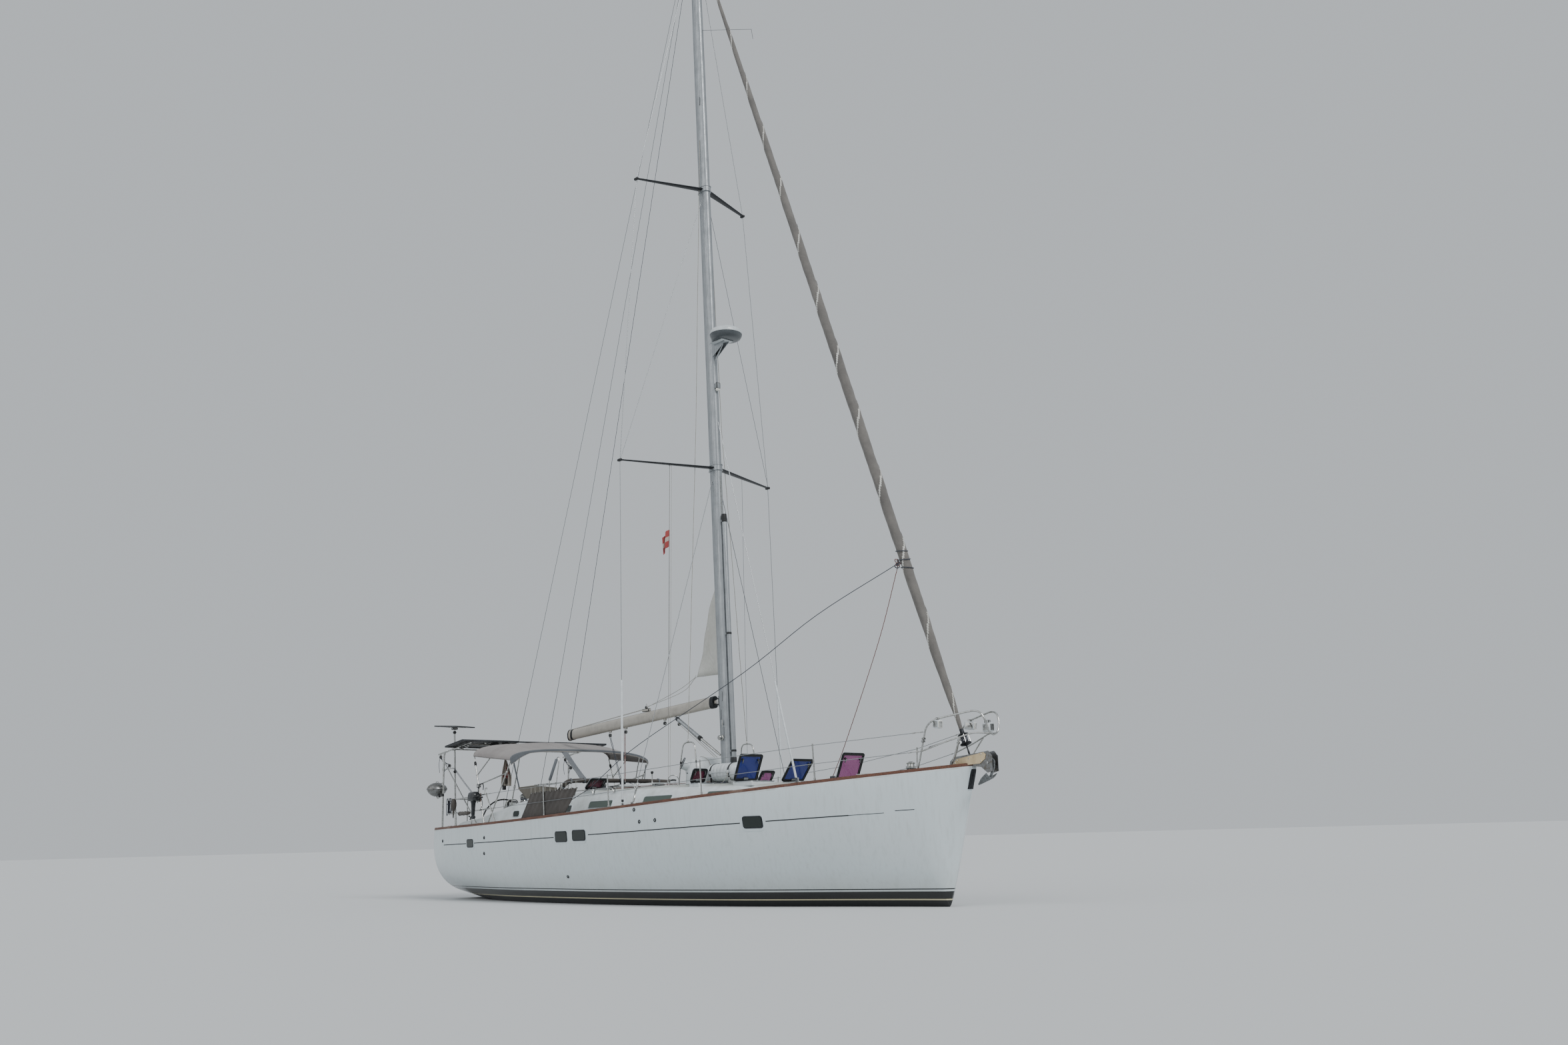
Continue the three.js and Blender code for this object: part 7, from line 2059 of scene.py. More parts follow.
def makeWindlass():
    bm = bmesh.new()
    base = Vector((5.65, 0, deckTop(5.65, 0) - 0.002))
    rows = [(0.130, 0.0), (0.130, 0.020), (0.122, 0.032), (0.095, 0.040), (0.092, 0.058), (0.060, 0.070),
        (0.056, 0.112)]
    addTurned(bm, rows, base, (0, 0, 1), 36, 0)
    rings = []
    for k, (wide, high) in enumerate(((0.084, 0.060), (0.062, 0.078), (0.062, 0.092), (0.085, 0.110))):
        rings.append([base + Vector((math.cos(t) * wide * (1 + 0.10 * math.cos(8 * t) * (k in (1, 2))),
                                     math.sin(t) * wide * (1 + 0.10 * math.cos(8 * t) * (k in (1, 2))),
                                         high)) for t in
                      [2 * math.pi * i / 48 for i in range(48)]])
    addRings(bm, rings, 1)
    rows = [(0.080, 0.118), (0.085, 0.124), (0.085, 0.132), (0.062, 0.142), (0.056, 0.166), (0.072, 0.182),
        (0.074, 0.190), (0.040, 0.205),
            (0.030, 0.214), (0.0, 0.216)]
    addTurned(bm, rows, base, (0, 0, 1), 36, 0)
    # Foot switches, chain pipe and locker lids of the foredeck
    for side in (-1, 1):
        at = Vector((5.38, side * 0.12, deckTop(5.38, 0.12) - 0.001))
        addTurned(bm, [(0.036, 0.0), (0.036, 0.012), (0.024, 0.018), (0.0, 0.020)], at, (0, 0, 1), 24, 2)
    addBlock(bm, (5.78, -0.05, deckTop(5.8, 0) - 0.004), (5.90, 0.05, deckTop(5.84, 0) + 0.022), 0, 0.014)
    addBlock(bm, (5.97, -0.20, deckTop(6.2, 0) - 0.012), (6.40, 0.20, deckTop(6.2, 0.1) + 0.010), 3, 0.012)
    addBlock(bm, (6.14, -0.02, deckTop(6.2, 0.1) + 0.009), (6.20, 0.02, deckTop(6.2, 0.1) + 0.018), 0, 0.004)
    return finishPiece(bm, "anchor_windlass", [steel, galvanised, nylon, deckCoat], stands=["windlass"])


# Stern rails and what hangs on them
def makePushpit(side):
    bm = bmesh.new()
    tag = "port" if side > 0 else "stbd"
    corner, inner = deckTop(-6.56, 1.64), deckTop(-6.8, 1.0)
    for up in (0.310, 0.605):
        rail = [pushpitLeg(side, up), (-5.045, side * 1.88, deckTop(-5.045, 1.88) + up),
            (-5.90, side * 1.78, corner + up),
                (-6.42, side * 1.69, corner + up), (-6.70, side * 1.50, inner + up),
                    (-6.80, side * 1.0, inner + up)]
        addBent(bm, rail, 0.013, 0, 0.14)
    legs = [
        (pushpitLeg(side, 0), pushpitLeg(side, 0.62)),
        (Vector((-5.045, side * 1.88, deckTop(-5.045, 1.88))), Vector((-5.045, side * 1.88, 2.13))),
        (Vector((-5.90, side * 1.755, deckTop(-5.9, 1.755))), Vector((-5.90, side * 1.78, corner + 0.33))),
        (Vector((-6.80, side * 1.0, deckTop(-6.8, 1.0))), Vector((-6.80, side * 1.0, inner + 0.632))),
    ]
    for foot, top in legs:
        addTube(bm, [foot, top], 0.013, 14, 0)
        addTurned(bm, [(0.034, 0.0), (0.034, 0.007), (0.019, 0.012), (0.019, 0.05), (0.014, 0.054)], foot,
            top - foot, 20, 0)
        addTurned(bm, [(0.0135, 0.0), (0.014, 0.006), (0.008, 0.014), (0.0, 0.015)], top, top - foot, 14, 0)
    # Gate hooks above the leg, and an outboard pad or a horseshoe buoy on the rail
    for off in (0.0, 0.05):
        hook = pushpitLeg(side, 0.60) + Vector((-0.02 - off, 0, 0))
        addTube(bm, curvePath([hook, hook + Vector((0, 0, 0.10)), hook + Vector((0.035, 0, 0.13)),
            hook + Vector((0.06, 0, 0.10))], 4), 0.006, 8, 0)
    if side < 0:
        addBlock(bm, (-4.88, -1.895, 1.985), (-4.68, -1.865, 2.155), 1, 0.008)
    else:
        addTube(bm, [Vector((-6.745, 1.22 + 0.20 * math.cos(t), inner + 0.42 + 0.26 * math.sin(t))) for t in
                     [math.radians(-55 - 250 * k / 24) for k in range(25)]], 0.055, 14, 2)
        for t in (-95, -180, -265):
            a = math.radians(t)
            at = Vector((-6.745, 1.22 + 0.20 * math.cos(a), inner + 0.42 + 0.26 * math.sin(a)))
            addTurned(bm, [(0.056, -0.02), (0.058, -0.018), (0.058, 0.018), (0.056, 0.02)], at,
                (0, -math.sin(a), math.cos(a)), 20, 3)
    return finishPiece(bm, "pushpit_rails_" + tag, [steel, mahogany, paleCloth, nylon],
        stands=["pushpit_" + tag])


def makeRailBundles():
    # Tied bundles on the starboard stern rail: a small net bag, a coil of line and a rolled cover
    bm = bmesh.new()
    inner = deckTop(-6.8, 1.0)
    top = Vector((-6.02, -1.77, deckTop(-6.56, 1.64) + 0.605))
    rings = []
    for k in range(15):
        s = k / 14
        wide = (0.045 + 0.055 * math.sin(math.pi * min(1, s * 1.5)) - 0.03 * s)
        rings.append([top + Vector((math.cos(t) * wide
            * (1 + 0.22 * noise.noise(Vector((math.cos(t) * 2, math.sin(t) * 2, s * 6)))),
                                    math.sin(t) * wide * 0.6, 0.012 - 0.40 * s))
                                        for t in [2 * math.pi * i / 20 for i in range(20)]])
    addRings(bm, rings, 0)
    hang = Vector((-6.66, -1.525, inner + 0.60))
    for k in range(7):
        deep = 0.34 + random.uniform(-0.03, 0.03)
        out = Vector((random.uniform(-0.02, 0.02), random.uniform(-0.02, 0.02), 0))
        loop = [hang + out + Vector((0.055 * math.sin(t) * (0.6 + 0.1 * k), 0.012 * k - 0.036,
            -deep * (1 - math.cos(t)) / 2 + 0.015)) for t in
                [2 * math.pi * i / 28 for i in range(28)]]
        addTube(bm, loop, 0.007, 8, 1, closed=True)
    addTube(bm, ringPath(hang + Vector((0, 0, -0.10)), (0.05, 0, 0), (0, 0.055, 0.01), 18), 0.009, 8, 1,
        closed=True)
    rings = []
    for k in range(25):
        s = k / 24
        centre = Vector((-5.15 - 0.62 * s, -1.865 + 0.07 * s, deckTop(-6.56, 1.64) + 0.300))
        rings.append([centre + Vector((0, math.cos(t), math.sin(t)))
            * (0.040 + 0.012 * noise.noise(Vector((s * 9, math.cos(t) * 1.5, math.sin(t) * 1.5))))
                      * min(1, 0.3 + 6 * min(s, 1 - s)) for t in [2 * math.pi * i / 18 for i in range(18)]])
    addRings(bm, rings, 2)
    return finishPiece(bm, "rail_bundles", [umber, navyRope, umber])


# Arch, its solar panels, and the small panel on its post
archLook = {"x": -6.80, "foot": 1.600, "half": 1.615, "tube": 0.020, "rail": 0.018, "railBack": -7.01,
    "railFront": -5.58,
            "cross": (-6.40, -5.80), "braceTop": 2.95, "braceFoot": (-4.90, 1.815)}
rack = {"back": -6.33, "front": -5.57, "half": 1.85, "z": 3.19, "slope": 0.125, "thick": 0.036,
    "notch": 0.46, "notchBack": -5.86}


def rackZ(x):
    return rack["z"] + (x - rack["back"]) * rack["slope"]


def railAt(x, y):
    return Vector((x, y, rackZ(x) - archLook["rail"] + 0.001))


def addSocket(bm, base, along, radius, slot=0):
    rows = [(2.4, 0.0), (2.4, 0.35), (1.25, 0.6), (1.25, 2.4), (1.02, 2.6)]
    addTurned(bm, [(radius * r, radius * h) for r, h in rows], base, along, 24, slot)


def addClamp(bm, at, along, radius, slot):
    addTurned(bm, [(radius, -0.030), (radius + 0.009, -0.026), (radius + 0.009, 0.026), (radius, 0.030)], at,
        along, 20, slot)


def makeArch():
    bm = bmesh.new()
    look = archLook
    for side in (-1, 1):
        y = side * look["half"]
        foot = Vector((look["x"], side * look["foot"], deckTop(look["x"], look["foot"])))
        bend = railAt(look["x"] + 0.02, y)
        addBent(bm, [foot, bend, railAt(-6.62, y)], look["tube"], 0, 0.11, 18)
        addTube(bm, [railAt(look["railBack"], y), railAt(look["railFront"], y)], look["rail"], 16, 0)
        for x, way in ((look["railBack"], -1), (look["railFront"], 1)):
            addTurned(bm, [(0.0185, 0.0), (0.019, 0.004), (0.012, 0.012), (0.0, 0.013)], railAt(x, y),
                (way, 0, way * rack["slope"]), 16, 2)
        braceX, braceY = look["braceFoot"]
        braceFoot = Vector((braceX, side * braceY, deckTop(braceX, braceY)))
        braceTop = Vector((look["x"], y, look["braceTop"]))
        addTube(bm, [braceTop, braceFoot], 0.013, 14, 0)
        addSocket(bm, foot, (0, 0, 1), look["tube"])
        addSocket(bm, braceFoot, (0, 0, 1), 0.014)
        for at, along in ((braceTop, (0, 0, 1)), (Vector((look["x"], y, 2.44)), (0, 0, 1))):
            addClamp(bm, at, along, look["tube"] + 0.001, 0)
        # Davit tackle under the rail: a double block aloft, one below, and the parts of rope between
        high, low = railAt(-6.93, y) - Vector((0, 0, 0.07)), Vector((-6.62, y - side * 0.05, 2.82))
        for off in (-0.022, 0.0, 0.022):
            addWire(bm, curvePath([high + Vector((off, 0, -0.02)),
                high.lerp(low, 0.5) + Vector((off, 0.01, -0.03)), low + Vector((off, 0, 0.03))], 4),
                    0.005, 1)
        for at in (high, low):
            addPulley(bm, at, (1, 0, 0), 0.036, 2, 0)
        addTube(bm, [railAt(-6.93, y), high], 0.008, 10, 0)
        addTube(bm, [low, Vector((look["x"] + 0.02, y, 2.70))], 0.006, 8, 1)
        fall = curvePath([high + Vector((-0.03, 0, 0)), high + Vector((-0.07, 0, -0.16)),
            high + Vector((-0.03, 0, -0.34))], 5)
        addWire(bm, fall, 0.005, 1)
    for x in look["cross"]:
        addTube(bm, [railAt(x, -look["half"]), railAt(x, look["half"])], 0.015, 16, 0)
        for side in (-1, 1):
            addClamp(bm, railAt(x, side * look["half"]), (1, 0, rack["slope"]), look["rail"] + 0.001, 0)
    # Rod from the starboard leg to the panel's post, and stay lines down to the quarter
    addTube(bm, [(-6.80, -1.612, 2.75), (-6.58, -1.485, 2.77)], 0.011, 14, 0)
    addClamp(bm, Vector((-6.80, -1.612, 2.75)), (0, 0, 1), 0.021, 0)
    for off in (0.0, 0.028, 0.056):
        start = Vector((-6.57 + off, -1.49, 2.76))
        addWire(bm, [start, start.lerp(Vector((-4.86 + off, -1.90, 2.06)), 0.5) - Vector((0, 0, 0.012)),
            Vector((-4.86 + off, -1.90, 2.06))], 0.0035, 1)
    # Flood lamps under the starboard rail
    for x in (-6.02, -5.78):
        addBlock(bm, railAt(x, -1.615) + Vector((-0.045, -0.04, -0.075)),
            railAt(x, -1.615) + Vector((0.045, 0.03, -0.022)), 2, 0.012)
    return finishPiece(bm, "stern_arch_tubes", [steel, navyRope, nylon], stands=["stern_arch"])


def addPanel(bm, x0, x1, y0, y1):
    # One panel: frame, glass with its cells, a black back painted dark for the shade under the panel,
    # junction box and leads
    thick = rack["thick"]
    middle = Vector(((x0 + x1) / 2, (y0 + y1) / 2, rackZ((x0 + x1) / 2)))
    turn = Matrix.Translation(middle) @ Matrix.Rotation(-math.atan(rack["slope"]), 4, "Y")
    long, wide = (x1 - x0) / math.cos(math.atan(rack["slope"])), y1 - y0
    addFrame(bm, roundedOutline(long, wide, 0.006, 2), roundedOutline(long - 0.05, wide - 0.05, 0.004, 2),
        0.0, thick, 0, turn)
    addBlock(bm, (-long / 2 + 0.02, -wide / 2 + 0.02, thick - 0.014),
        (long / 2 - 0.02, wide / 2 - 0.02, thick - 0.006), 1, 0.0, turn)
    # The back in black nylon is painted shade under the panel
    addBlock(bm, (-long / 2 + 0.02, -wide / 2 + 0.02, thick - 0.019),
        (long / 2 - 0.02, wide / 2 - 0.02, thick - 0.0145), 2, 0.0, turn)
    addBlock(bm, (-0.06, -0.05, 0.0), (0.06, 0.05, thick - 0.019), 2, 0.006, turn)
    for y in (-0.02, 0.02):
        addTube(bm, [turn @ Vector(p) for p in ((0.05, y, 0.010), (0.20, y * 2, 0.004),
            (long / 2 - 0.03, y * 3, 0.012))], 0.004, 6, 2)


def makePanels():
    bm = bmesh.new()
    r = rack
    for side in (-1, 1):
        inner, outer = sorted((side * (r["notch"] + 0.004), side * r["half"]))
        addPanel(bm, r["back"], r["front"], inner, outer)
    addPanel(bm, r["back"], r["notchBack"], -r["notch"], r["notch"])
    addBlock(bm, (-5.605, -r["notch"] - 0.002, rackZ(-5.6) + 0.002),
        (-5.572, r["notch"] + 0.002, rackZ(-5.6) + 0.032), 0, 0.004)
    # Controllers hung under the panels, with a fan ring each
    for x, y in ((-5.72, -0.98), (-5.70, -0.72)):
        low = rackZ(x) - 0.085
        addBlock(bm, (x - 0.06, y - 0.075, low), (x + 0.06, y + 0.075, rackZ(x) + 0.004), 2, 0.014)
        addTurned(bm, [(0.0, 0.0), (0.052, 0.0), (0.052, 0.012), (0.040, 0.014), (0.036, 0.006),
            (0.0, 0.006)], (x + 0.058, y, low + 0.045), (1, 0, 0), 24, 2)
    addTurned(bm, [(0.0, 0.0), (0.020, 0.0), (0.020, 0.02), (0.0, 0.028)],
        (-5.70, -1.22, rackZ(-5.7) + 0.004), (0, 0, -1), 16, 3)
    return finishPiece(bm, "rack_solar_panels", [black, cells, nylon, lens], stands=["solar_panels"])


def makePost():
    bm = bmesh.new()
    foot = Vector((-6.56, -1.41, deckTop(-6.56, 1.41)))
    head = Vector((-6.56, -1.50, 3.64))
    addTube(bm, [foot, head], 0.020, 18, 0)
    addTurned(bm, [(0.044, 0.0), (0.044, 0.01), (0.026, 0.02), (0.026, 0.07)], foot, head - foot, 24, 0)
    for share, slot in ((0.56, 2), (0.955, 2)):
        at = foot.lerp(head, share)
        addTurned(bm, [(0.020, -0.03), (0.030, -0.026), (0.030, 0.026), (0.020, 0.03)], at, head - foot, 20,
            slot)
        addTurned(bm, [(0.0, -0.045), (0.010, -0.045), (0.010, 0.045), (0.0, 0.045)], at, (0, 1, 0), 12, 0)
    addBlock(bm, (-6.618, -1.556, 3.60), (-6.502, -1.444, 3.652), 2, 0.016)
    turn = Matrix.Translation((-6.56, -1.50, 3.665)) @ Matrix.Rotation(math.radians(12), 4,
        "Z") @ Matrix.Rotation(math.radians(4), 4, "Y")
    addFrame(bm, roundedOutline(0.72, 0.54, 0.008, 2), roundedOutline(0.67, 0.49, 0.006, 2), -0.011, 0.013,
        1, turn)
    addBlock(bm, (-0.34, -0.25, -0.001), (0.34, 0.25, 0.009), 3, 0.0, turn)
    for y in (-0.16, 0.16):
        addBlock(bm, (-0.31, y - 0.018, -0.013), (0.31, y + 0.018, -0.001), 0, 0.003, turn)
    return finishPiece(bm, "post_solar_panel", [steel, black, nylon, cells], stands=["solar_post"])


# Kettle barbecue, outboard motor and boarding ladder
def makeBarbecue():
    bm = bmesh.new()
    base = Vector((-7.015, -1.64, 2.18))
    bowl = [(0.0, 0.004), (0.06, 0.0), (0.12, 0.024), (0.172, 0.068), (0.206, 0.116), (0.216, 0.146),
        (0.226, 0.148), (0.226, 0.156)]
    addTurned(bm, bowl, base, (0, 0, 1), 40, 0)
    cover = [(0.223, 0.157), (0.221, 0.166), (0.196, 0.218), (0.148, 0.258), (0.094, 0.284), (0.040, 0.295),
        (0.0, 0.296)]
    addTurned(bm, cover, base, (0, 0, 1), 40, 0)
    addBent(bm, [base + Vector((-0.05, 0.0, 0.288)), base + Vector((-0.05, 0.0, 0.32)),
        base + Vector((0.05, 0.0, 0.32)), base + Vector((0.05, 0.0, 0.288))],
            0.007, 1, 0.02)
    for t in (0.6, 2.4, 3.8, 5.4):
        out = Vector((math.cos(t), math.sin(t), 0))
        addBlock(bm, base + out * 0.217 + Vector((-0.012, -0.012, 0.135)),
            base + out * 0.217 + Vector((0.012, 0.012, 0.175)), 0, 0.004)
    for k in range(10):
        t = 2 * math.pi * k / 10
        addTurned(bm, [(0.009, -0.002), (0.009, 0.003), (0.0, 0.003)],
            base + Vector((math.cos(t) * 0.157, math.sin(t) * 0.157, 0.245)),
                  (math.cos(t), math.sin(t), 1.2), 10, 2)
    clamp = Vector((-6.80, -1.611, 2.20))
    addBent(bm, [base + Vector((0, 0, 0.01)), base + Vector((0.03, 0, -0.05)),
        clamp + Vector((-0.06, 0, -0.02)), clamp], 0.012, 1, 0.03)
    addClamp(bm, clamp, (0, 0, 1), 0.021, 2)
    # Gas valve and bottle beneath the bowl
    addTurned(bm, [(0.0, 0.0), (0.022, 0.0), (0.022, 0.05), (0.010, 0.06), (0.010, 0.10)],
        base + Vector((0.13, -0.01, -0.02)), (0.2, 0, 1), 18, 2)
    return finishPiece(bm, "kettle_barbecue", [plate, steel, nylon], stands=["barbecue"])


def makeOutboard():
    bm = bmesh.new()
    # Cowl of two mouldings, tiller, clamp and leg
    rows = [(2.000, 0.108, 0.072), (2.012, 0.128, 0.084), (2.060, 0.138, 0.088), (2.064, 0.132, 0.084),
        (2.070, 0.139, 0.089),
            (2.120, 0.138, 0.086), (2.165, 0.122, 0.074), (2.186, 0.090, 0.052), (2.190, 0.040, 0.022)]
    rings = [[(-4.78 + x, -1.99 + y, z) for x, y in roundedOutline(2 * a, 2 * b, min(a, b) * 0.55)] for z, a,
        b in rows]
    addRings(bm, rings, 0)
    addRings(bm, [[(-4.78 + x, -2.0 + y, z) for x, y in roundedOutline(a, b, min(a, b) * 0.35)] for z, a,
        b in
                  ((1.745, 0.072, 0.06), (1.80, 0.076, 0.062), (1.95, 0.084, 0.080), (2.002, 0.12, 0.10))],
                      1)
    addRings(bm, [[(-4.78 + x, -2.0 + y, z) for x, y in roundedOutline(a, b, min(a, b) * 0.35)] for z, a,
        b in
                  ((1.64, 0.10, 0.030), (1.70, 0.085, 0.034), (1.745, 0.074, 0.058))], 1)
    addTurned(bm, [(0.0, -0.10), (0.018, -0.09), (0.030, -0.03), (0.030, 0.05), (0.012, 0.07)],
        (-4.78, -2.0, 1.675), (1, 0, 0), 20, 1)
    for way in (0, 1, 2):
        t = 2 * math.pi * way / 3 + 0.4
        blade = [Vector((-4.885, -2.0 + math.cos(t) * r, 1.675 + math.sin(t) * r)) for r in (0.012, 0.05)]
        addTube(bm, blade, 0.016, 8, 2, taper=[0.6, 1.0])
    addBlock(bm, (-4.86, -1.958, 2.042), (-4.70, -1.892, 2.148), 2, 0.01)
    for x in (-4.83, -4.73):
        addTube(bm, [(x, -1.93, 1.96), (x, -1.93, 2.04)], 0.007, 10, 3)
        addTube(bm, [(x - 0.022, -1.93, 1.962), (x + 0.022, -1.93, 1.962)], 0.005, 8, 3)
    addTube(bm, [(-4.66, -1.985, 2.03), (-4.56, -1.98, 2.06), (-4.46, -1.978, 2.065)], 0.012, 12, 2,
        taper=[0.9, 1.0, 1.5])
    addTube(bm, curvePath([(-4.70, -1.91, 2.09), (-4.61, -1.90, 2.02), (-4.58, -1.91, 1.90),
        (-4.63, -1.93, 1.80)], 5), 0.006, 8, 2)
    return finishPiece(bm, "small_outboard", [enamel, black, nylon, steel], stands=["outboard_motor"])


def makeLadder():
    bm = bmesh.new()
    foot = Vector((-7.125, 0, 0.505))
    for side in (-1, 1):
        y = side * 0.18
        addTube(bm, [foot + Vector((0, y, 0.0)), foot + Vector((0, y, 0.79))], 0.014, 14, 0)
        addTurned(bm, [(0.0145, 0.0), (0.0145, 0.006), (0.008, 0.012), (0.0, 0.013)],
            foot + Vector((0, y, 0.788)), (0, 0, 1), 14, 1)
        addTurned(bm, [(0.0, -0.022), (0.020, -0.022), (0.020, 0.022), (0.0, 0.022)],
            foot + Vector((0, y, 0)), (0, 1, 0), 18, 0)
    for share in (0.28, 0.58, 0.88):
        z = 0.8 * share
        addTube(bm, [foot + Vector((0, -0.18, z)), foot + Vector((0, 0.18, z))], 0.011, 12, 0)
        for k in range(-5, 6):
            addTurned(bm, [(0.011, -0.010), (0.0125, -0.008), (0.0125, 0.008), (0.011, 0.010)],
                foot + Vector((0, 0.028 * k, z)), (0, 1, 0), 12, 1)
    addTube(bm, [foot + Vector((0, -0.2, 0)), foot + Vector((0, 0.2, 0))], 0.011, 12, 0)
    return finishPiece(bm, "stern_ladder", [steel, nylon], body="boarding_ladder",
        stands=["boarding_ladder"])


for side in (-1, 1):
    makeLifelines(side)
    makePushpit(side)
makePulpit()
makeBowRoller()
makeAnchor()
makeWindlass()
makeRailBundles()
makeArch()
makePanels()
makePost()
makeBarbecue()
makeOutboard()
makeLadder()
print("rails, arch, bow and stern gear made")


# Cockpit shade: hoops and struts, the canopy with its seams, sleeves and front band
shade = {
    "half": 1.745, "full": 2.7, "hoop": 0.0304, "tube": 0.013,
    "bows": [{"x": -5.30, "side": 2.940, "crown": 3.260}, {"x": -4.65, "side": 2.865, "crown": 3.240},
             {"x": -3.80, "side": 2.775, "crown": 3.045}],
    "inward": (0.014, 0.0, -0.014), "sag": 0.014, "cloth": 0.0155,
    "backFoot": (-4.76, 1.75), "frontFoot": (-4.62, 1.75), "fork": 2.54, "tie": (2.34, 2.53),
        "pole": (-4.12, 1.50, 2.912),
}


def shadeAt(x, share, down=0.0):
    # A point of the shade from starboard to port, so far under its outer line
    rows = shade["bows"]
    side, crown = straightAt(rows, "side", x), straightAt(rows, "crown", x)
    blunt = 2 / shade["full"]
    across, up = -math.cos(math.pi * share), max(0.0, math.sin(math.pi * share))
    way = math.copysign(1, across)
    out = Vector((0, way * abs(across) ** (2 - blunt) / shade["half"],
        up ** (2 - blunt) / (crown - side))).normalized()
    return Vector((x, way * shade["half"] * abs(across) ** blunt,
        side + (crown - side) * up ** blunt)) - out * down


def shareAt(y):
    # The share along a bow where the shade is so far to port
    level = min(1.0, abs(y) / shade["half"]) ** (shade["full"] / 2)
    return math.acos(-math.copysign(level, y)) / math.pi


def shadeSag(x, share):
    rows = shade["bows"]
    low, high = (rows[0]["x"], rows[1]["x"]) if x < rows[1]["x"] else (rows[1]["x"], rows[2]["x"])
    middle = math.sin(math.pi * min(max((x - low) / (high - low), 0), 1))
    pull = 0.0022 * noise.noise(Vector((x * 2.2 + share * 9, share * 14, 3.7)))
    return shade["sag"] * middle * math.sin(math.pi * share) ** 0.6 + pull * middle


def shadeLeg(bow, foot, side, z):
    rows, lean = shade["bows"], shade["inward"]
    top = Vector((rows[bow]["x"] + lean[bow], side * (shade["half"] - shade["hoop"]), rows[bow]["side"]))
    low = Vector((foot[0], side * foot[1], deckTop(foot[0], foot[1])))
    return top.lerp(low, (z - top.z) / (low.z - top.z))


def makeShadeFrame():
    bm = bmesh.new()
    s = shade
    for bow, lean in zip(s["bows"], s["inward"]):
        arc = [shadeAt(bow["x"], shareAt(y), s["hoop"]) + Vector((lean, 0, 0)) for y in
               [s["half"] * math.sin(math.pi / 2 * k / 24) for k in range(-24, 25)]]
        addTube(bm, arc, s["tube"], 16, 0)
    for side in (-1, 1):
        backTop, backLow = shadeLeg(0, s["backFoot"], side, 2.94), shadeLeg(0, s["backFoot"], side,
            deckTop(*s["backFoot"]))
        frontTop, frontLow = shadeLeg(2, s["frontFoot"], side, 2.775), shadeLeg(2, s["frontFoot"], side,
            deckTop(*s["frontFoot"]))
        fork = shadeLeg(0, s["backFoot"], side, s["fork"])
        middle = Vector((s["bows"][1]["x"], side * (s["half"] - s["hoop"]), s["bows"][1]["side"]))
        ties = [shadeLeg(0, s["backFoot"], side, s["tie"][0]),
            shadeLeg(2, s["frontFoot"], side, s["tie"][1])]
        poleX, poleY, poleTop = s["pole"]
        poleFoot = Vector((poleX, side * poleY, smoothAt(coamingRows, "top", poleX) - 0.001))
        poleHead = Vector((frontTop.x, side * poleY, poleTop))
        for start, end in ((backTop, backLow), (frontTop, frontLow), (middle, fork), ties,
            (poleHead, poleFoot)):
            addTube(bm, [start, end], s["tube"], 14, 0)
        for foot, head in ((backLow, backTop), (frontLow, frontTop), (poleFoot, poleHead)):
            addSocket(bm, foot, head - foot, 0.0135)
        # Silver joints where tubes meet, and the black slide on the aft leg
        for at, along in ((fork, backTop - backLow), (ties[0], backTop - backLow),
            (ties[1], frontTop - frontLow),
                          (poleFoot.lerp(poleHead, 0.36), poleHead - poleFoot),
                              (frontLow.lerp(frontTop, 0.37), frontTop - frontLow)):
            addTurned(bm, [(0.0135, -0.042), (0.018, -0.038), (0.018, 0.038), (0.0135, 0.042)], at, along,
                16, 0)
            addTurned(bm, [(0.0, -0.024), (0.008, -0.024), (0.008, 0.024), (0.0, 0.024)], at, (0, 1, 0), 10,
                0)
        slide = shadeLeg(0, s["backFoot"], side, 2.79)
        addTurned(bm, [(0.0135, -0.045), (0.024, -0.036), (0.027, 0.0), (0.024, 0.036), (0.0135, 0.045)],
            slide, backTop - backLow, 20, 1)
    # Hook and strap hanging from the starboard tie
    hook = shadeLeg(0, s["backFoot"], -1, 2.33) + Vector((0.03, -0.015, 0))
    addBlock(bm, hook - Vector((0.05, 0.025, 0.045)), hook + Vector((0.06, 0.025, 0.03)), 1, 0.014)
    bend = [hook + Vector((0.03, 0, 0.01)), hook + Vector((0.15, 0, 0.03)), hook + Vector((0.20, 0, -0.02)),
        hook + Vector((0.19, 0, -0.10))]
    addTube(bm, curvePath(bend, 5), 0.011, 12, 1, taper=[1.2 - 0.03 * k for k in range(16)])
    addBlock(bm, (hook.x - 0.004, hook.y - 0.016, hook.z - 0.30),
        (hook.x + 0.002, hook.y + 0.016, hook.z - 0.03), 2, 0.0)
    return finishPiece(bm, "shade_tubes", [steel, nylon, slate], stands=["shade_frame"])


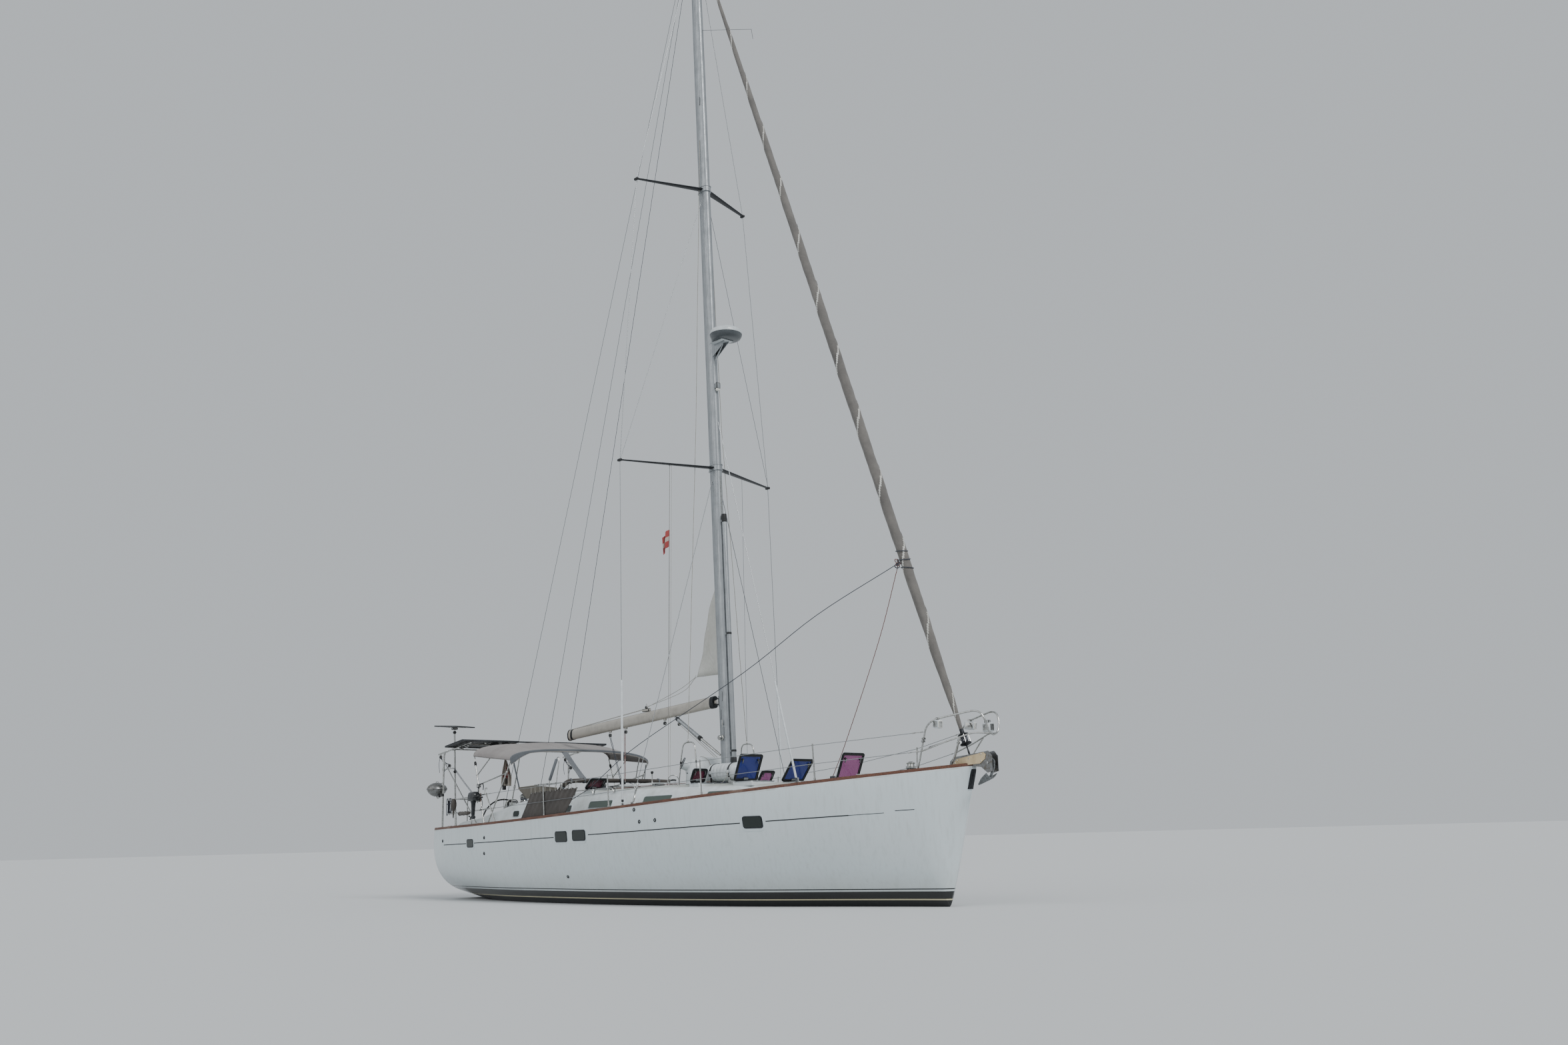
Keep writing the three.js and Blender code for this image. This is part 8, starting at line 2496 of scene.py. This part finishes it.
def makeCanopy():
    s = shade
    low, high = s["bows"][0]["x"], s["bows"][-1]["x"]
    bm = bmesh.new()
    addGrid(bm, 112, 54, lambda i, j: shadeAt(low + (high - low) * j,
        shareAt(s["half"] * math.sin(math.pi / 2 * (2 * i - 1))),
                                              s["cloth"] + shadeSag(low + (high - low) * j, i)))
    canopy = clothPiece(bm, "shade_canopy_cloth", [taupe], stands=["shade_canopy"], thickness=0.003)
    # Felled seams fore and aft, and hems along the edges, laid on the cloth
    bm = bmesh.new()
    spots = [(shareAt(y), 0.011) for y in (-1.12, -0.38, 0.38, 1.12)] + [(0.012, 0.03), (0.988, 0.03)]
    for share, half in spots:
        wide = half / (math.pi * s["half"] * 0.62)

        def seam(i, j, share=share, wide=wide):
            x = low + 0.004 + (high - low - 0.008) * j
            at = min(max(share + wide * (2 * i - 1), 0.0005), 0.9995)
            return shadeAt(x, at, s["cloth"] + shadeSag(x, at) - 0.0022)
        addGrid(bm, 3, 54, seam)
    for x0, x1 in ((low + 0.001, low + 0.042),):
        addGrid(bm, 96, 2, lambda i, j, x0=x0, x1=x1: shadeAt(x0 + (x1 - x0) * j, 0.002 + 0.996 * i,
                                                              s["cloth"] + shadeSag(x0 + (x1 - x0) * j, i)
                                                                  - 0.0022))
    trim = clothPiece(bm, "shade_seams", [taupe], thickness=0.0016)
    # Sleeves that hold the cloth to each hoop
    bm = bmesh.new()
    for bow, lean in zip(s["bows"], s["inward"]):
        def sleeve(i, j, bow=bow, lean=lean):
            share = 0.03 + 0.94 * j
            turn = math.pi * (1.22 * i - 0.11)
            reach = 0.0165 + 0.0012 * noise.noise(Vector((j * 60, i * 3, bow["x"])))
            flare = max(0.0, abs(2 * i - 1) - 0.72) * 0.07
            x = bow["x"] + lean - math.cos(turn) * reach + math.copysign(flare, 2 * i - 1)
            down = s["hoop"] + math.sin(turn) * reach
            return shadeAt(min(max(x, low + 0.001), high - 0.001), share, max(down, 0.0185))
        addGrid(bm, 14, 90, sleeve)
    sleeves = clothPiece(bm, "shade_sleeves", [taupe], thickness=0.0016)
    # Band that faces the front hoop, in slate cloth and deepest at the starboard corner; its colour and
    # shape partly stand for painted light and shade on the front facing
    bm = bmesh.new()

    def band(i, j):
        share = 0.001 + 0.998 * i
        edge = math.sin(math.pi * share) ** 0.7
        # The deeper drop near the starboard corner follows where the front facing caught the light: painted
        # light along with the band's own slate colour
        drop = 0.070 - 0.026 * edge + 0.095 * min(1, share / 0.05) * max(0, min(1, (0.27 - share) / 0.13))
        if j < 0.3:
            return shadeAt(high - 0.028 + 0.030 * j / 0.3, share,
                s["cloth"] - 0.0035 + 0.004 * (j / 0.3) ** 3)
        t = (j - 0.3) / 0.7
        ripple = 0.002 * noise.noise(Vector((i * 30, t * 2, 9.1)))
        return shadeAt(high, share, s["cloth"]) + Vector((0.002 + 0.010 * math.sin(math.pi / 2 * t) + ripple,
            0, -drop * t))
    addGrid(bm, 110, 10, band)
    front = clothPiece(bm, "shade_front_band", [slate], thickness=0.0022)
    bm = bmesh.new()
    addTube(bm, [band(k / 110, 1.0) for k in range(111)], 0.0035, 8, 0)
    piping = finishPiece(bm, "shade_band_piping", [paleCloth])


def ribbon(bm, start, end, wide, across, steps=14, sag=0.0, slot=0, twist=0.0):
    # A flat strap between two points
    start, end, across = Vector(start), Vector(end), Vector(across).normalized()
    along = (end - start).normalized()

    def point(i, j):
        side = Matrix.Rotation(twist * j, 3, along) @ across
        return start.lerp(end, j) + side * wide * (i - 0.5) - Vector((0, 0, sag * 4 * j * (1 - j)))
    addGrid(bm, 3, steps, lambda i, j: point(i, j), (lambda i, j: slot))


def makeStraps():
    bm = bmesh.new()
    ribbon(bm, (-3.80, -1.655, 2.745), (-3.875, -1.475, 2.245), 0.040, (1, 0.2, 0), sag=0.004)
    ribbon(bm, (-3.80, 1.655, 2.745), (-3.60, 1.46, 2.24), 0.040, (1, -0.2, 0), sag=0.004)
    clothPiece(bm, "shade_side_straps", [slate], thickness=0.003)
    bm = bmesh.new()
    start, end = Vector((-3.80, -0.44, 2.975)), Vector((-2.425, -0.87, 2.335))
    across = Vector((0.25, 1, 0)).normalized()
    addGrid(bm, 8, 30, lambda i, j: start.lerp(end, j) + across * 0.145 * (i - 0.5)
        * (1 - 0.18 * math.sin(math.pi * j))
            + Vector((0, 0, -0.012 * 4 * j * (1 - j) + 0.006 * math.cos(2 * math.pi * i)
                * math.sin(math.pi * j))))
    web = clothPiece(bm, "shade_fore_strap", [slate], thickness=0.003)


# Weather cloth laced inside the starboard guard rail beside the cockpit
sideCloth = [{"x": -2.90, "low": 1.600, "high": 1.625}, {"x": -2.48, "low": 1.612, "high": 2.078},
    {"x": -1.99, "low": 1.635, "high": 2.090},
             {"x": -1.30, "low": 1.670, "high": 2.106}, {"x": -0.85, "low": 2.080, "high": 2.112}]


def railY(x, z):
    y = straightAt(hullRows, "half", x) - railLook["inset"]
    return -(y + railLook["lean"] * (z - deckTop(x, y)) / railLook["high"])


def makeSideCloth():
    # Slanted ends: the foot runs from aft to x -1.30, the head from x -2.48 forward
    def corner(i, j):
        x = (-2.90 + 1.60 * i) * (1 - j) + (-2.48 + 1.63 * i) * j
        z = straightAt(sideCloth, "low", min(x, -1.30)) * (1 - j) + straightAt(sideCloth, "high",
            max(x, -2.48)) * j
        lace = 0.5 - 0.5 * math.cos(2 * math.pi * i * 9)
        z -= 0.018 * lace * max(0, j - 0.85) / 0.15
        belly = 0.010 * math.sin(math.pi * j) * (1 + 0.6
            * noise.noise(Vector((i * 7, j * 3, 1.3)))) + 0.004 * math.sin(i * 57) * j
        return Vector((x, railY(x, z) + 0.014 + belly, z))
    bm = bmesh.new()
    addGrid(bm, 80, 26, corner)
    cloth = clothPiece(bm, "side_weather_cloth", [umber], stands=["side_cloth"], thickness=0.002)
    # Hems and bolt ropes, eyelets and the lacing over the upper wire
    bm = bmesh.new()
    for i0, i1, j0, j1 in ((0, 1, 0.0, 0.0), (0, 0, 0, 1), (1, 1, 0, 1), (0, 1, 1, 1)):
        path = [corner(i0 + (i1 - i0) * k / 40, j0 + (j1 - j0) * k / 40) for k in range(41)]
        addTube(bm, path, 0.0045, 8, 0)
    for k in range(10):
        i = k / 9
        at = corner(min(max(i, 0.012), 0.988), 0.972)
        addTurned(bm, [(0.006, -0.0045), (0.013, -0.004), (0.013, 0.004), (0.006, 0.0045)], at, (0, 1, 0),
            14, 1)
        top = Vector((at.x, railY(at.x, at.z + 0.03) + 0.004, deckTop(at.x, -railY(at.x, at.z)) + 0.605))
        loop = [at.lerp(top, 0.5) + Vector((0.004 * math.sin(2 * t), 0.012 * math.cos(t),
            (0.5 * (top - at).length + 0.012) * math.sin(t))) for t in
                [2 * math.pi * n / 14 for n in range(14)]]
        addTube(bm, loop, 0.0025, 6, 2, closed=True)
    trim = finishPiece(bm, "side_cloth_trim", [umber, steel, whiteRope])


# Spray hood folded flat across the aft end of the coachroof, and its loose side panel
hoodLook = {"radius": 0.056, "core": 0.018, "turns": 2.5,
            "path": [(-2.76, 1.33, 2.01), (-2.44, 1.29, 2.262), (-2.365, 1.12, 2.306), (-2.36, 0.60, 2.316)],
            "ties": (0.10, 0.235, 0.36, 0.5, 0.64, 0.765, 0.90)}
hoodPanel = [{"x": -3.90, "y": 1.470, "low": 2.218, "high": 2.238},
    {"x": -3.60, "y": 1.458, "low": 2.003, "high": 2.246},
             {"x": -3.35, "y": 1.440, "low": 2.025, "high": 2.255},
                 {"x": -2.64, "y": 1.352, "low": 2.060, "high": 2.180}]


def hoodCentre(share):
    half = [Vector(p) for p in hoodLook["path"]]
    path = [Vector((x, -y, z)) for x, y, z in half] + list(reversed(half))
    path = curvePath(path, 12)
    place = share * (len(path) - 1)
    i = min(int(place), len(path) - 2)
    return path[i].lerp(path[i + 1], place - i), (path[i + 1] - path[i]).normalized()


def makeFoldedHood():
    h = hoodLook
    bm = bmesh.new()

    def rolled(i, j):
        centre, along = hoodCentre(j)
        up = Vector((0, 0, 1))
        forward = along.cross(up).normalized()
        up = forward.cross(along)
        turn = 2 * math.pi * h["turns"] * i + 1.1
        pinch = sum(math.exp(-((j - t) / 0.012) ** 2) for t in h["ties"])
        reach = h["core"] + (h["radius"] - 0.003 - h["core"]) * i
        reach *= 1 - 0.13 * pinch + 0.09 * noise.noise(Vector((j * 26, math.cos(turn) * 0.8,
            math.sin(turn) * 0.8 + i)))
        squash = 0.90 + 0.05 * noise.noise(Vector((j * 11, 5.0, 0)))
        return centre + forward * math.cos(turn) * reach * 1.04 + up * math.sin(turn) * reach * squash
    addGrid(bm, 66, 150, rolled)
    roll = clothPiece(bm, "folded_hood_roll", [umber], stands=["folded_hood"], thickness=0.0026)
    bm = bmesh.new()
    for t in h["ties"]:
        centre, along = hoodCentre(t)
        across = along.orthogonal().normalized()
        other = along.cross(across)
        addRings(bm, [[centre + along * w + (across * math.cos(a) + other * math.sin(a)) * r for a in
                       [2 * math.pi * k / 28 for k in range(28)]] for w,
                           r in ((-0.016, 0.054), (-0.015, 0.0565), (0.015, 0.0565), (0.016, 0.054))], 0)
    ties = finishPiece(bm, "hood_ties", [slate])

    # Side panel hung over the coaming, stiffened by a bare tube along its head
    def panel(i, j):
        x = -3.90 + 1.26 * i
        low, high = straightAt(hoodPanel, "low", x), straightAt(hoodPanel, "high", x)
        y = straightAt(hoodPanel, "y", x)
        z = low + (high - low) * j
        fold = 0.010 * noise.noise(Vector((i * 5, j * 2.2, 7.7))) + 0.006 * math.sin(8 * i + 3 * j)
        return Vector((x, -y - 0.004 + fold * (1 - 0.5 * j), z))
    bm = bmesh.new()
    addGrid(bm, 60, 16, panel)
    cloth = clothPiece(bm, "hood_side_panel", [olive], thickness=0.0026)
    bm = bmesh.new()
    addTube(bm, [panel(k / 40, 0.0) for k in range(41)], 0.004, 8, 0)
    addTube(bm, [panel(k / 40, 1.0) for k in range(41)], 0.006, 8, 0)
    hem = finishPiece(bm, "hood_panel_hem", [olive])
    bm = bmesh.new()
    addBent(bm, [(-3.35, -1.436, 2.262), (-2.40, -1.40, 2.272), (-2.40, -1.40, 2.10), (-2.44, -1.33, 2.05)],
        0.011, 0, 0.05, 14)
    for x in (-3.20, -2.90, -2.60):
        addTurned(bm, [(0.011, -0.012), (0.0135, -0.011), (0.0135, 0.011), (0.011, 0.012)],
            (x, -1.436 - (x + 3.35) * -0.038, 2.262 + (x + 3.35) * 0.0105),
                  (1, 0, 0), 14, 1)
    finishPiece(bm, "hood_tube", [steel, nylon])


# Ensign hung limp under the shade, and the courtesy flag on its halyard
def makeEnsign():
    top, drop, wide = Vector((-4.62, -1.36, 2.885)), 0.60, 0.42
    gather = 0.52

    def point(i, j):
        # Cloth hung from one upper corner: narrow aloft, wider and more folded below
        spread = 0.10 + 0.90 * min(1, j * 1.5) ** 0.8
        run = (i - 0.35) * wide * gather * spread
        wave = 0.033 * math.sin(i * 19 + 1.2 * j) * (0.75 + 0.25
            * j) + 0.012 * noise.noise(Vector((i * 4, j * 3, 2.2)))
        slant = 0.05 * i * i
        return top + Vector((run * 0.70 + wave * 0.71, run * 0.71 - wave * 0.70,
            -drop * (j * (1 - 0.10 * i)) - slant))

    def mark(i, j):
        # Plain marks of a made-up ensign: a dark red crescent of patches and a grey-green panel
        if 0.72 < j < 0.93 and 0.30 < i < 0.62:
            return 2
        ring = math.hypot((i - 0.52) * 1.3, j - 0.52)
        if 0.12 < ring < 0.20 and not (i < 0.45 and j < 0.55):
            return 1
        if (int(i * 14) * 7 + int(j * 18) * 5) % 23 == 0 and 0.22 < j < 0.8:
            return 1
        return 0
    bm = bmesh.new()
    addGrid(bm, 72, 64, point, mark)
    flag = clothPiece(bm, "ensign", [paleCloth, redCloth, olive], thickness=0.0016)
    bm = bmesh.new()
    addTube(bm, curvePath([top + Vector((0.01, -0.02, 0.07)), top + Vector((0, 0, 0.02)), top], 5), 0.004, 8,
        1)
    tab = point(0.30, 1.0)
    addBlock(bm, tab - Vector((0.035, 0.03, 0.075)), tab + Vector((0.03, 0.03, 0.01)), 0, 0.008)
    addTube(bm, [top, top + Vector((0.004, -0.004, -0.02))], 0.008, 10, 0)
    fittings = finishPiece(bm, "ensign_toggle", [nylon, whiteRope])


def makeCourtesyFlag():
    low, high = Vector((0.46, -0.96, 2.16)), Vector((0.51, -0.91, 8.18))
    bm = bmesh.new()
    addWire(bm, [low, low.lerp(high, 0.5) + Vector((0.01, 0.0, 0)), high], 0.003, 0)
    addWire(bm, [low + Vector((0.03, 0.02, 0)), high + Vector((0.03, 0.02, 0))], 0.003, 0)
    addTurned(bm, [(0.0, -0.012), (0.020, -0.010), (0.020, 0.010), (0.0, 0.012)], high, (0, 1, 0), 16, 1)
    addTurned(bm, [(0.0, -0.012), (0.020, -0.010), (0.020, 0.010), (0.0, 0.012)], low, (0, 1, 0), 16, 1)
    finishPiece(bm, "flag_halyard", [whiteRope, steel])

    def point(i, j):
        hoist = low.lerp(high, (6.57 + 0.33 * j - low.z) / (high.z - low.z))
        wave = 0.030 * math.sin(i * 9 + j) * (0.2 + i)
        return hoist + Vector((-0.115 * i, -0.010 - 0.06 * i + wave, -0.13 * i * i - 0.02 * i))
    bm = bmesh.new()
    addGrid(bm, 30, 24, point, lambda i, j: 1 if 0.38 < j < 0.62 else 0)
    flag = clothPiece(bm, "courtesy_flag", [redCloth, paleCloth], thickness=0.0012)


makeShadeFrame()
makeCanopy()
makeStraps()
makeSideCloth()
makeFoldedHood()
makeEnsign()
makeCourtesyFlag()
print("canvas and flags made")


# Gear on the coachroof: granny bars, life raft, vent hood, stowed fender and the tackle under the boom
barPath = [(0.520, 0.760, None), (0.540, 0.730, 2.50), (0.580, 0.710, 2.80), (0.640, 0.700, 2.865),
           (0.860, 0.700, 2.865), (0.930, 0.700, 2.80), (0.990, 0.720, 2.50), (1.030, 0.740, None)]


def addFoot(bm, foot, slot=0):
    addTurned(bm, [(0.034, -0.002), (0.034, 0.006), (0.019, 0.011), (0.017, 0.032), (0.0, 0.032)], foot,
        (0, 0, 1), 24, slot)
    for k in range(3):
        turn = 2 * math.pi * k / 3 + 0.5
        spot = foot + Vector((0.026 * math.cos(turn), 0.026 * math.sin(turn), 0))
        addTurned(bm, [(0.004, 0.004), (0.004, 0.010), (0.0, 0.011)], spot, (0, 0, 1), 10, slot)


def makeGrannyBars(side):
    bm = bmesh.new()
    path = [Vector((x, side * y, surfaceZ(x, y) - 0.003 if z is None else z)) for x, y, z in barPath]
    addBent(bm, path, 0.013, 0, 0.07, 16)
    addFoot(bm, path[0])
    addFoot(bm, path[-1])
    # Low rail that leads off the aft leg and round the gear
    rail = [path[1], Vector((0.465, side * 0.60, 2.51)), Vector((0.455, side * 0.20, 2.51)),
            Vector((0.450, side * 0.13, surfaceZ(0.45, 0.13) - 0.003))]
    if side < 0:
        addBent(bm, rail, 0.011, 0, 0.05, 14)
        addFoot(bm, rail[-1])
    for foot in (path[1], path[6]):
        addTurned(bm, [(0.0135, -0.02), (0.0165, -0.018), (0.0165, 0.018), (0.0135, 0.02)], foot, (0, 0, 1),
            16, 1)
    name = "port" if side > 0 else "stbd"
    return finishPiece(bm, "granny_bar_" + name, [steel, nylon], stands=["granny_bars_" + name])


def addBand(bm, centre, across, up, width, thick, slot):
    # A webbing strap round an oval, lying along the x direction
    count = 48
    rings = []
    for k in range(count):
        turn = 2 * math.pi * k / count
        rings.append([Vector((centre[0] + shift, centre[1] + (across + out) * math.cos(turn),
            centre[2] + (up + out) * math.sin(turn)))
                      for shift, out in ((-width / 2, 0), (width / 2, 0), (width / 2, thick),
                          (-width / 2, thick))])
    rings.append(rings[0])
    addRings(bm, rings, slot, caps=False)


raft = {"y": -0.42, "z": 2.285, "across": 0.190, "up": 0.165, "ends": (1.085, 1.935)}


def makeLifeRaft():
    bm = bmesh.new()
    rows = [(1.086, 0.30), (1.090, 0.52), (1.104, 0.72), (1.126, 0.87), (1.154, 0.955), (1.180, 0.99)]
    for k in range(7):
        x = 1.200 + 0.096 * k
        rows += [(x, 0.995), (x + 0.012, 0.972), (x + 0.028, 0.970), (x + 0.040, 0.995)]
    rows += [(1.848, 0.985), (1.876, 0.94), (1.902, 0.86), (1.920, 0.72), (1.930, 0.52), (1.934, 0.30)]
    rings = []
    for x, share in rows:
        ring = []
        for k in range(56):
            turn = 2 * math.pi * k / 56
            lump = 1 + 0.006 * noise.noise(Vector((x * 5, math.cos(turn) * 1.6, math.sin(turn) * 1.6)))
            blunt = (abs(math.cos(turn)) ** 2.4 + abs(math.sin(turn)) ** 2.4) ** (-1 / 2.4)
            ring.append(Vector((x, raft["y"] + raft["across"] * share * lump * blunt * math.cos(turn),
                                raft["z"] + raft["up"] * share * lump * blunt * math.sin(turn))))
        rings.append(ring)
    addRings(bm, rings, 0)
    # Joint of the two half shells, straps, cradles and the slip hook
    rim = roundedOutline(0.836, 2 * raft["across"] * 1.03, 0.12)
    middle = (raft["ends"][0] + raft["ends"][1]) / 2
    addRings(bm, [[Vector((middle + x * grow, raft["y"] + y * grow, raft["z"] + z)) for x, y in rim]
                  for z, grow in ((-0.011, 0.99), (-0.009, 1.0), (0.009, 1.0), (0.011, 0.99))], 0)
    for x in (1.25, 1.76):
        addBand(bm, (x, raft["y"], raft["z"]), raft["across"] * 1.035, raft["up"] * 1.035, 0.042, 0.004, 1)
        for way in (-1, 1):
            addBlock(bm, (x - 0.030, raft["y"] + way * 0.202 - 0.008, raft["z"] - 0.03),
                (x + 0.030, raft["y"] + way * 0.202 + 0.008, raft["z"] + 0.03), 2, 0.004)
        profile = [(-0.165, 2.03), (0.165, 2.03), (0.165, 2.20), (0.150, 2.20), (0.10, 2.145), (0.0, 2.128),
            (-0.10, 2.145), (-0.150, 2.20), (-0.165, 2.20)]
        base = surfaceZ(x, abs(raft["y"])) - 0.006
        rows = [[Vector((x + shift, raft["y"] + y, max(base, z) if z > 2.05 else base)) for y, z in profile]
            for shift in (-0.022, 0.022)]
        addRings(bm, rows, 2, smooth=False)
    addTube(bm, curvePath([(1.76, -0.62, 2.29), (1.80, -0.66, 2.20), (1.70, -0.68, 2.10),
        (1.52, -0.64, 2.07)], 6), 0.005, 8, 3)
    return finishPiece(bm, "life_raft_canister", [radomeWhite, nylon, steel, whiteRope],
        stands=["life_raft"])


def makeVentHood():
    bm = bmesh.new()
    base = Vector((0.680, -0.480, surfaceZ(0.68, 0.48) - 0.004))
    bell = [(0.196, 0.0), (0.196, 0.016), (0.188, 0.024), (0.190, 0.060), (0.189, 0.140), (0.186, 0.240),
        (0.178, 0.310),
            (0.160, 0.370), (0.132, 0.412), (0.098, 0.437), (0.060, 0.450), (0.024, 0.455), (0.0, 0.456)]
    addTurned(bm, bell, base, (0, 0, 1), 56, 0)
    mouth = base + Vector((-0.108, -0.196, 0.372))
    way = Vector((-0.42, -0.80, 0.40)).normalized()
    addTurned(bm, [(0.098, -0.13), (0.104, 0.018), (0.112, 0.026), (0.112, 0.036), (0.096, 0.040),
        (0.090, 0.030), (0.084, -0.02)], mouth, way, 44, 0)
    addTurned(bm, [(0.0, 0.006), (0.092, 0.006), (0.092, 0.018), (0.0, 0.018)], mouth, way, 36, 1)
    addTurned(bm, [(0.1125, 0.024), (0.1145, 0.026), (0.1145, 0.036), (0.1125, 0.038)], mouth, way, 40, 1)
    # Screws of the foot ring, a small drain plug and the hood's moulded seam
    for k in range(8):
        turn = 2 * math.pi * k / 8
        spot = base + Vector((0.192 * math.cos(turn), 0.192 * math.sin(turn), 0.0))
        addTurned(bm, [(0.005, 0.014), (0.005, 0.019), (0.0, 0.020)], spot, (0, 0, 1), 8, 2)
    plug = base + Vector((-0.02, -0.185, 0.20))
    addTurned(bm, [(0.013, -0.01), (0.013, 0.008), (0.009, 0.011), (0.0, 0.011)], plug, (-0.1, -1, 0), 16, 1)
    addTurned(bm, [(0.1885, 0.196), (0.1905, 0.199), (0.1905, 0.205), (0.1885, 0.208)], base, (0, 0, 1), 48,
        0)
    return finishPiece(bm, "vent_hood_bell", [radomeWhite, black, steel], stands=["vent_hood"])


def makeStowedFender():
    bm = bmesh.new()
    centre = Vector((0.330, 0.160, roofTop(0.33, 0) + 0.244))
    half = [(0.0, 0.560), (0.020, 0.560), (0.030, 0.548), (0.044, 0.544), (0.090, 0.532), (0.142, 0.506),
        (0.186, 0.468),
            (0.220, 0.416), (0.240, 0.356), (0.248, 0.290), (0.2485, 0.20), (0.2485, 0.10), (0.2485, 0.004),
                (0.2465, 0.0)]
    profile = [(r, h) for r, h in half] + [(r, -h) for r, h in reversed(half[:-1])]
    addTurned(bm, [(r * 0.996, h) for r, h in profile], centre, (0, 1, 0), 56, 0)
    for way in (-1, 1):
        eye = [centre + Vector((0.026 * math.cos(t), way * (0.575 + 0.026 * math.sin(t)) - way * 0.012, 0))
            for t in
               [2 * math.pi * k / 20 for k in range(20)]]
        addTube(bm, eye, 0.010, 10, 0, closed=True)
    # Lashings that hold it down to the grab rails
    for y in (-0.22, 0.30):
        loop = []
        for k in range(33):
            turn = math.pi * (1.18 - 1.36 * k / 32)
            loop.append(Vector((centre.x + 0.256 * math.cos(turn), centre.y + y + 0.01 * math.sin(3 * turn),
                centre.z + 0.256 * math.sin(turn))))
        ends = [Vector((x, p.y, surfaceZ(x, abs(p.y)) + 0.006)) for x,
            p in ((loop[0].x - 0.03, loop[0]), (loop[-1].x + 0.03, loop[-1]))]
        addTube(bm, [ends[0]] + loop + [ends[1]], 0.005, 8, 1)
    return finishPiece(bm, "stowed_round_fender", [radomeWhite, whiteRope], stands=["stowed_fender"])


def makeMainTackle():
    # The falls of the mainsheet from the boom's blocks down to the block group on the roof
    bm = bmesh.new()
    low = Vector((-2.20, -0.08, surfaceZ(-2.2, 0.08) + 0.145))
    for k, x in enumerate((-2.80, -2.25)):
        top = boomAt(x, 0.155)
        for shift in (-0.018, 0.018):
            foot = low + Vector((0.05 - 0.10 * (1 - k) + shift, 0.012 * (1 if k else -1), 0.02))
            addTube(bm, [foot.lerp(top + Vector((shift, 0, 0)), step / 16) for step in range(17)], 0.006, 8,
                k)
    for x in (-0.055, 0.035):
        addPulley(bm, low + Vector((x, 0, 0)), (0, 0, -1), 0.042, 2, 3)
    addBlock(bm, low + Vector((-0.10, -0.036, -0.128)), low + Vector((0.09, 0.036, -0.082)), 2, 0.010)
    addBlock(bm, low + Vector((-0.13, -0.055, -0.150)), low + Vector((0.12, 0.055, -0.122)), 3, 0.006)
    addTube(bm, curvePath([low + Vector((0.03, 0.02, 0.02)), low + Vector((0.12, 0.20, -0.05)),
        low + Vector((0.16, 0.40, -0.10)),
                           Vector((-1.98, 0.46, surfaceZ(-1.98, 0.46) + 0.022))], 8), 0.006, 8, 0)
    falls = finishPiece(bm, "mainsheet_falls", [navyRope, fleckRope, black, steel], body=None)
    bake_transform(falls)


def makePaddedArm():
    # A light hoop with one padded leg, standing on the starboard coaming
    bm = bmesh.new()
    hoop = [(-3.02, -1.310, None), (-3.02, -1.300, 2.32), (-3.00, -1.135, 2.80), (-2.94, -1.130, 2.81),
            (-2.91, -1.150, 2.72), (-2.91, -1.240, None)]
    path = [Vector((x, y, smoothAt(coamingRows, "top", x) - 0.002 if z is None else z)) for x, y, z in hoop]
    addBent(bm, path, 0.010, 0, 0.05, 12)
    addFoot(bm, path[0])
    addFoot(bm, path[-1])
    sleeve = [path[1].lerp(path[2], share) for share in (0.04, 0.08, 0.5, 0.90, 0.94)]
    addTube(bm, sleeve, 0.030, 20, 1, taper=[0.62, 1.0, 1.0, 1.0, 0.62])
    return finishPiece(bm, "padded_arm", [steel, slate])


for side in (-1, 1):
    makeGrannyBars(side)
makeLifeRaft()
makeVentHood()
makeStowedFender()
makeMainTackle()
makePaddedArm()
print("coachroof gear made")


# Every solid of the frame that still shows takes its finish
shown = {
    "keel": antifouling, "rudder": antifouling, "drive_leg": greyEnamel, "propeller": bronze,
}
for name, node in nodes.items():
    node.data.materials.clear()
    node.data.materials.append(shown.get(name, steel))


# Pale studio floor at the waterline, soft light and the camera in its low boat
viewLine = {"place": (21.271, -16.728, 1.087), "azimuth": 47.913, "pitch": 12.772, "roll": 1.462,
    "focalPixels": 2092.6,
            "width": 2352}


def setStage():
    mesh = bpy.data.meshes.new("floor")
    far = 900
    mesh.from_pydata([(-far, -far, 0), (far, -far, 0), (far, far, 0), (-far, far, 0)], [], [(0, 1, 2, 3)])
    floor = bpy.data.objects.new("floor", mesh)
    bpy.context.scene.collection.objects.link(floor)
    mesh.materials.append(newFinish("pale floor", "#c9cbcc", 0.7)[0])
    world = bpy.data.worlds.new("studio")
    bpy.context.scene.world = world
    world.use_nodes = True
    glow = world.node_tree.nodes["Background"]
    glow.inputs["Color"].default_value = hexColor("#dfe5ea")
    glow.inputs["Strength"].default_value = 0.75
    for name, energy, angle, turn in (("key light", 2.2, 25, (48, 8, 78)),
        ("fill light", 0.7, 60, (60, 0, -10))):
        data = bpy.data.lights.new(name, "SUN")
        data.energy = energy
        data.angle = math.radians(angle)
        lamp = bpy.data.objects.new(name, data)
        lamp.rotation_euler = [math.radians(a) for a in turn]
        bpy.context.scene.collection.objects.link(lamp)


def setCamera():
    v = viewLine
    azimuth, pitch, roll = (math.radians(v[key]) for key in ("azimuth", "pitch", "roll"))
    forward = Vector((-math.sin(azimuth) * math.cos(pitch), math.cos(azimuth) * math.cos(pitch),
        math.sin(pitch)))
    level = Vector((math.cos(azimuth), math.sin(azimuth), 0))
    rise = level.cross(forward)
    right = level * math.cos(roll) - rise * math.sin(roll)
    up = level * math.sin(roll) + rise * math.cos(roll)
    data = bpy.data.cameras.new("camera")
    data.sensor_width = 36
    data.lens = v["focalPixels"] / v["width"] * data.sensor_width
    data.clip_end = 2000
    camera = bpy.data.objects.new("camera", data)
    turn = Matrix((right, up, -forward)).transposed().to_4x4()
    camera.matrix_world = Matrix.Translation(v["place"]) @ turn
    bpy.context.scene.collection.objects.link(camera)
    bpy.context.scene.camera = camera


setStage()
setCamera()
print("stage and camera set")
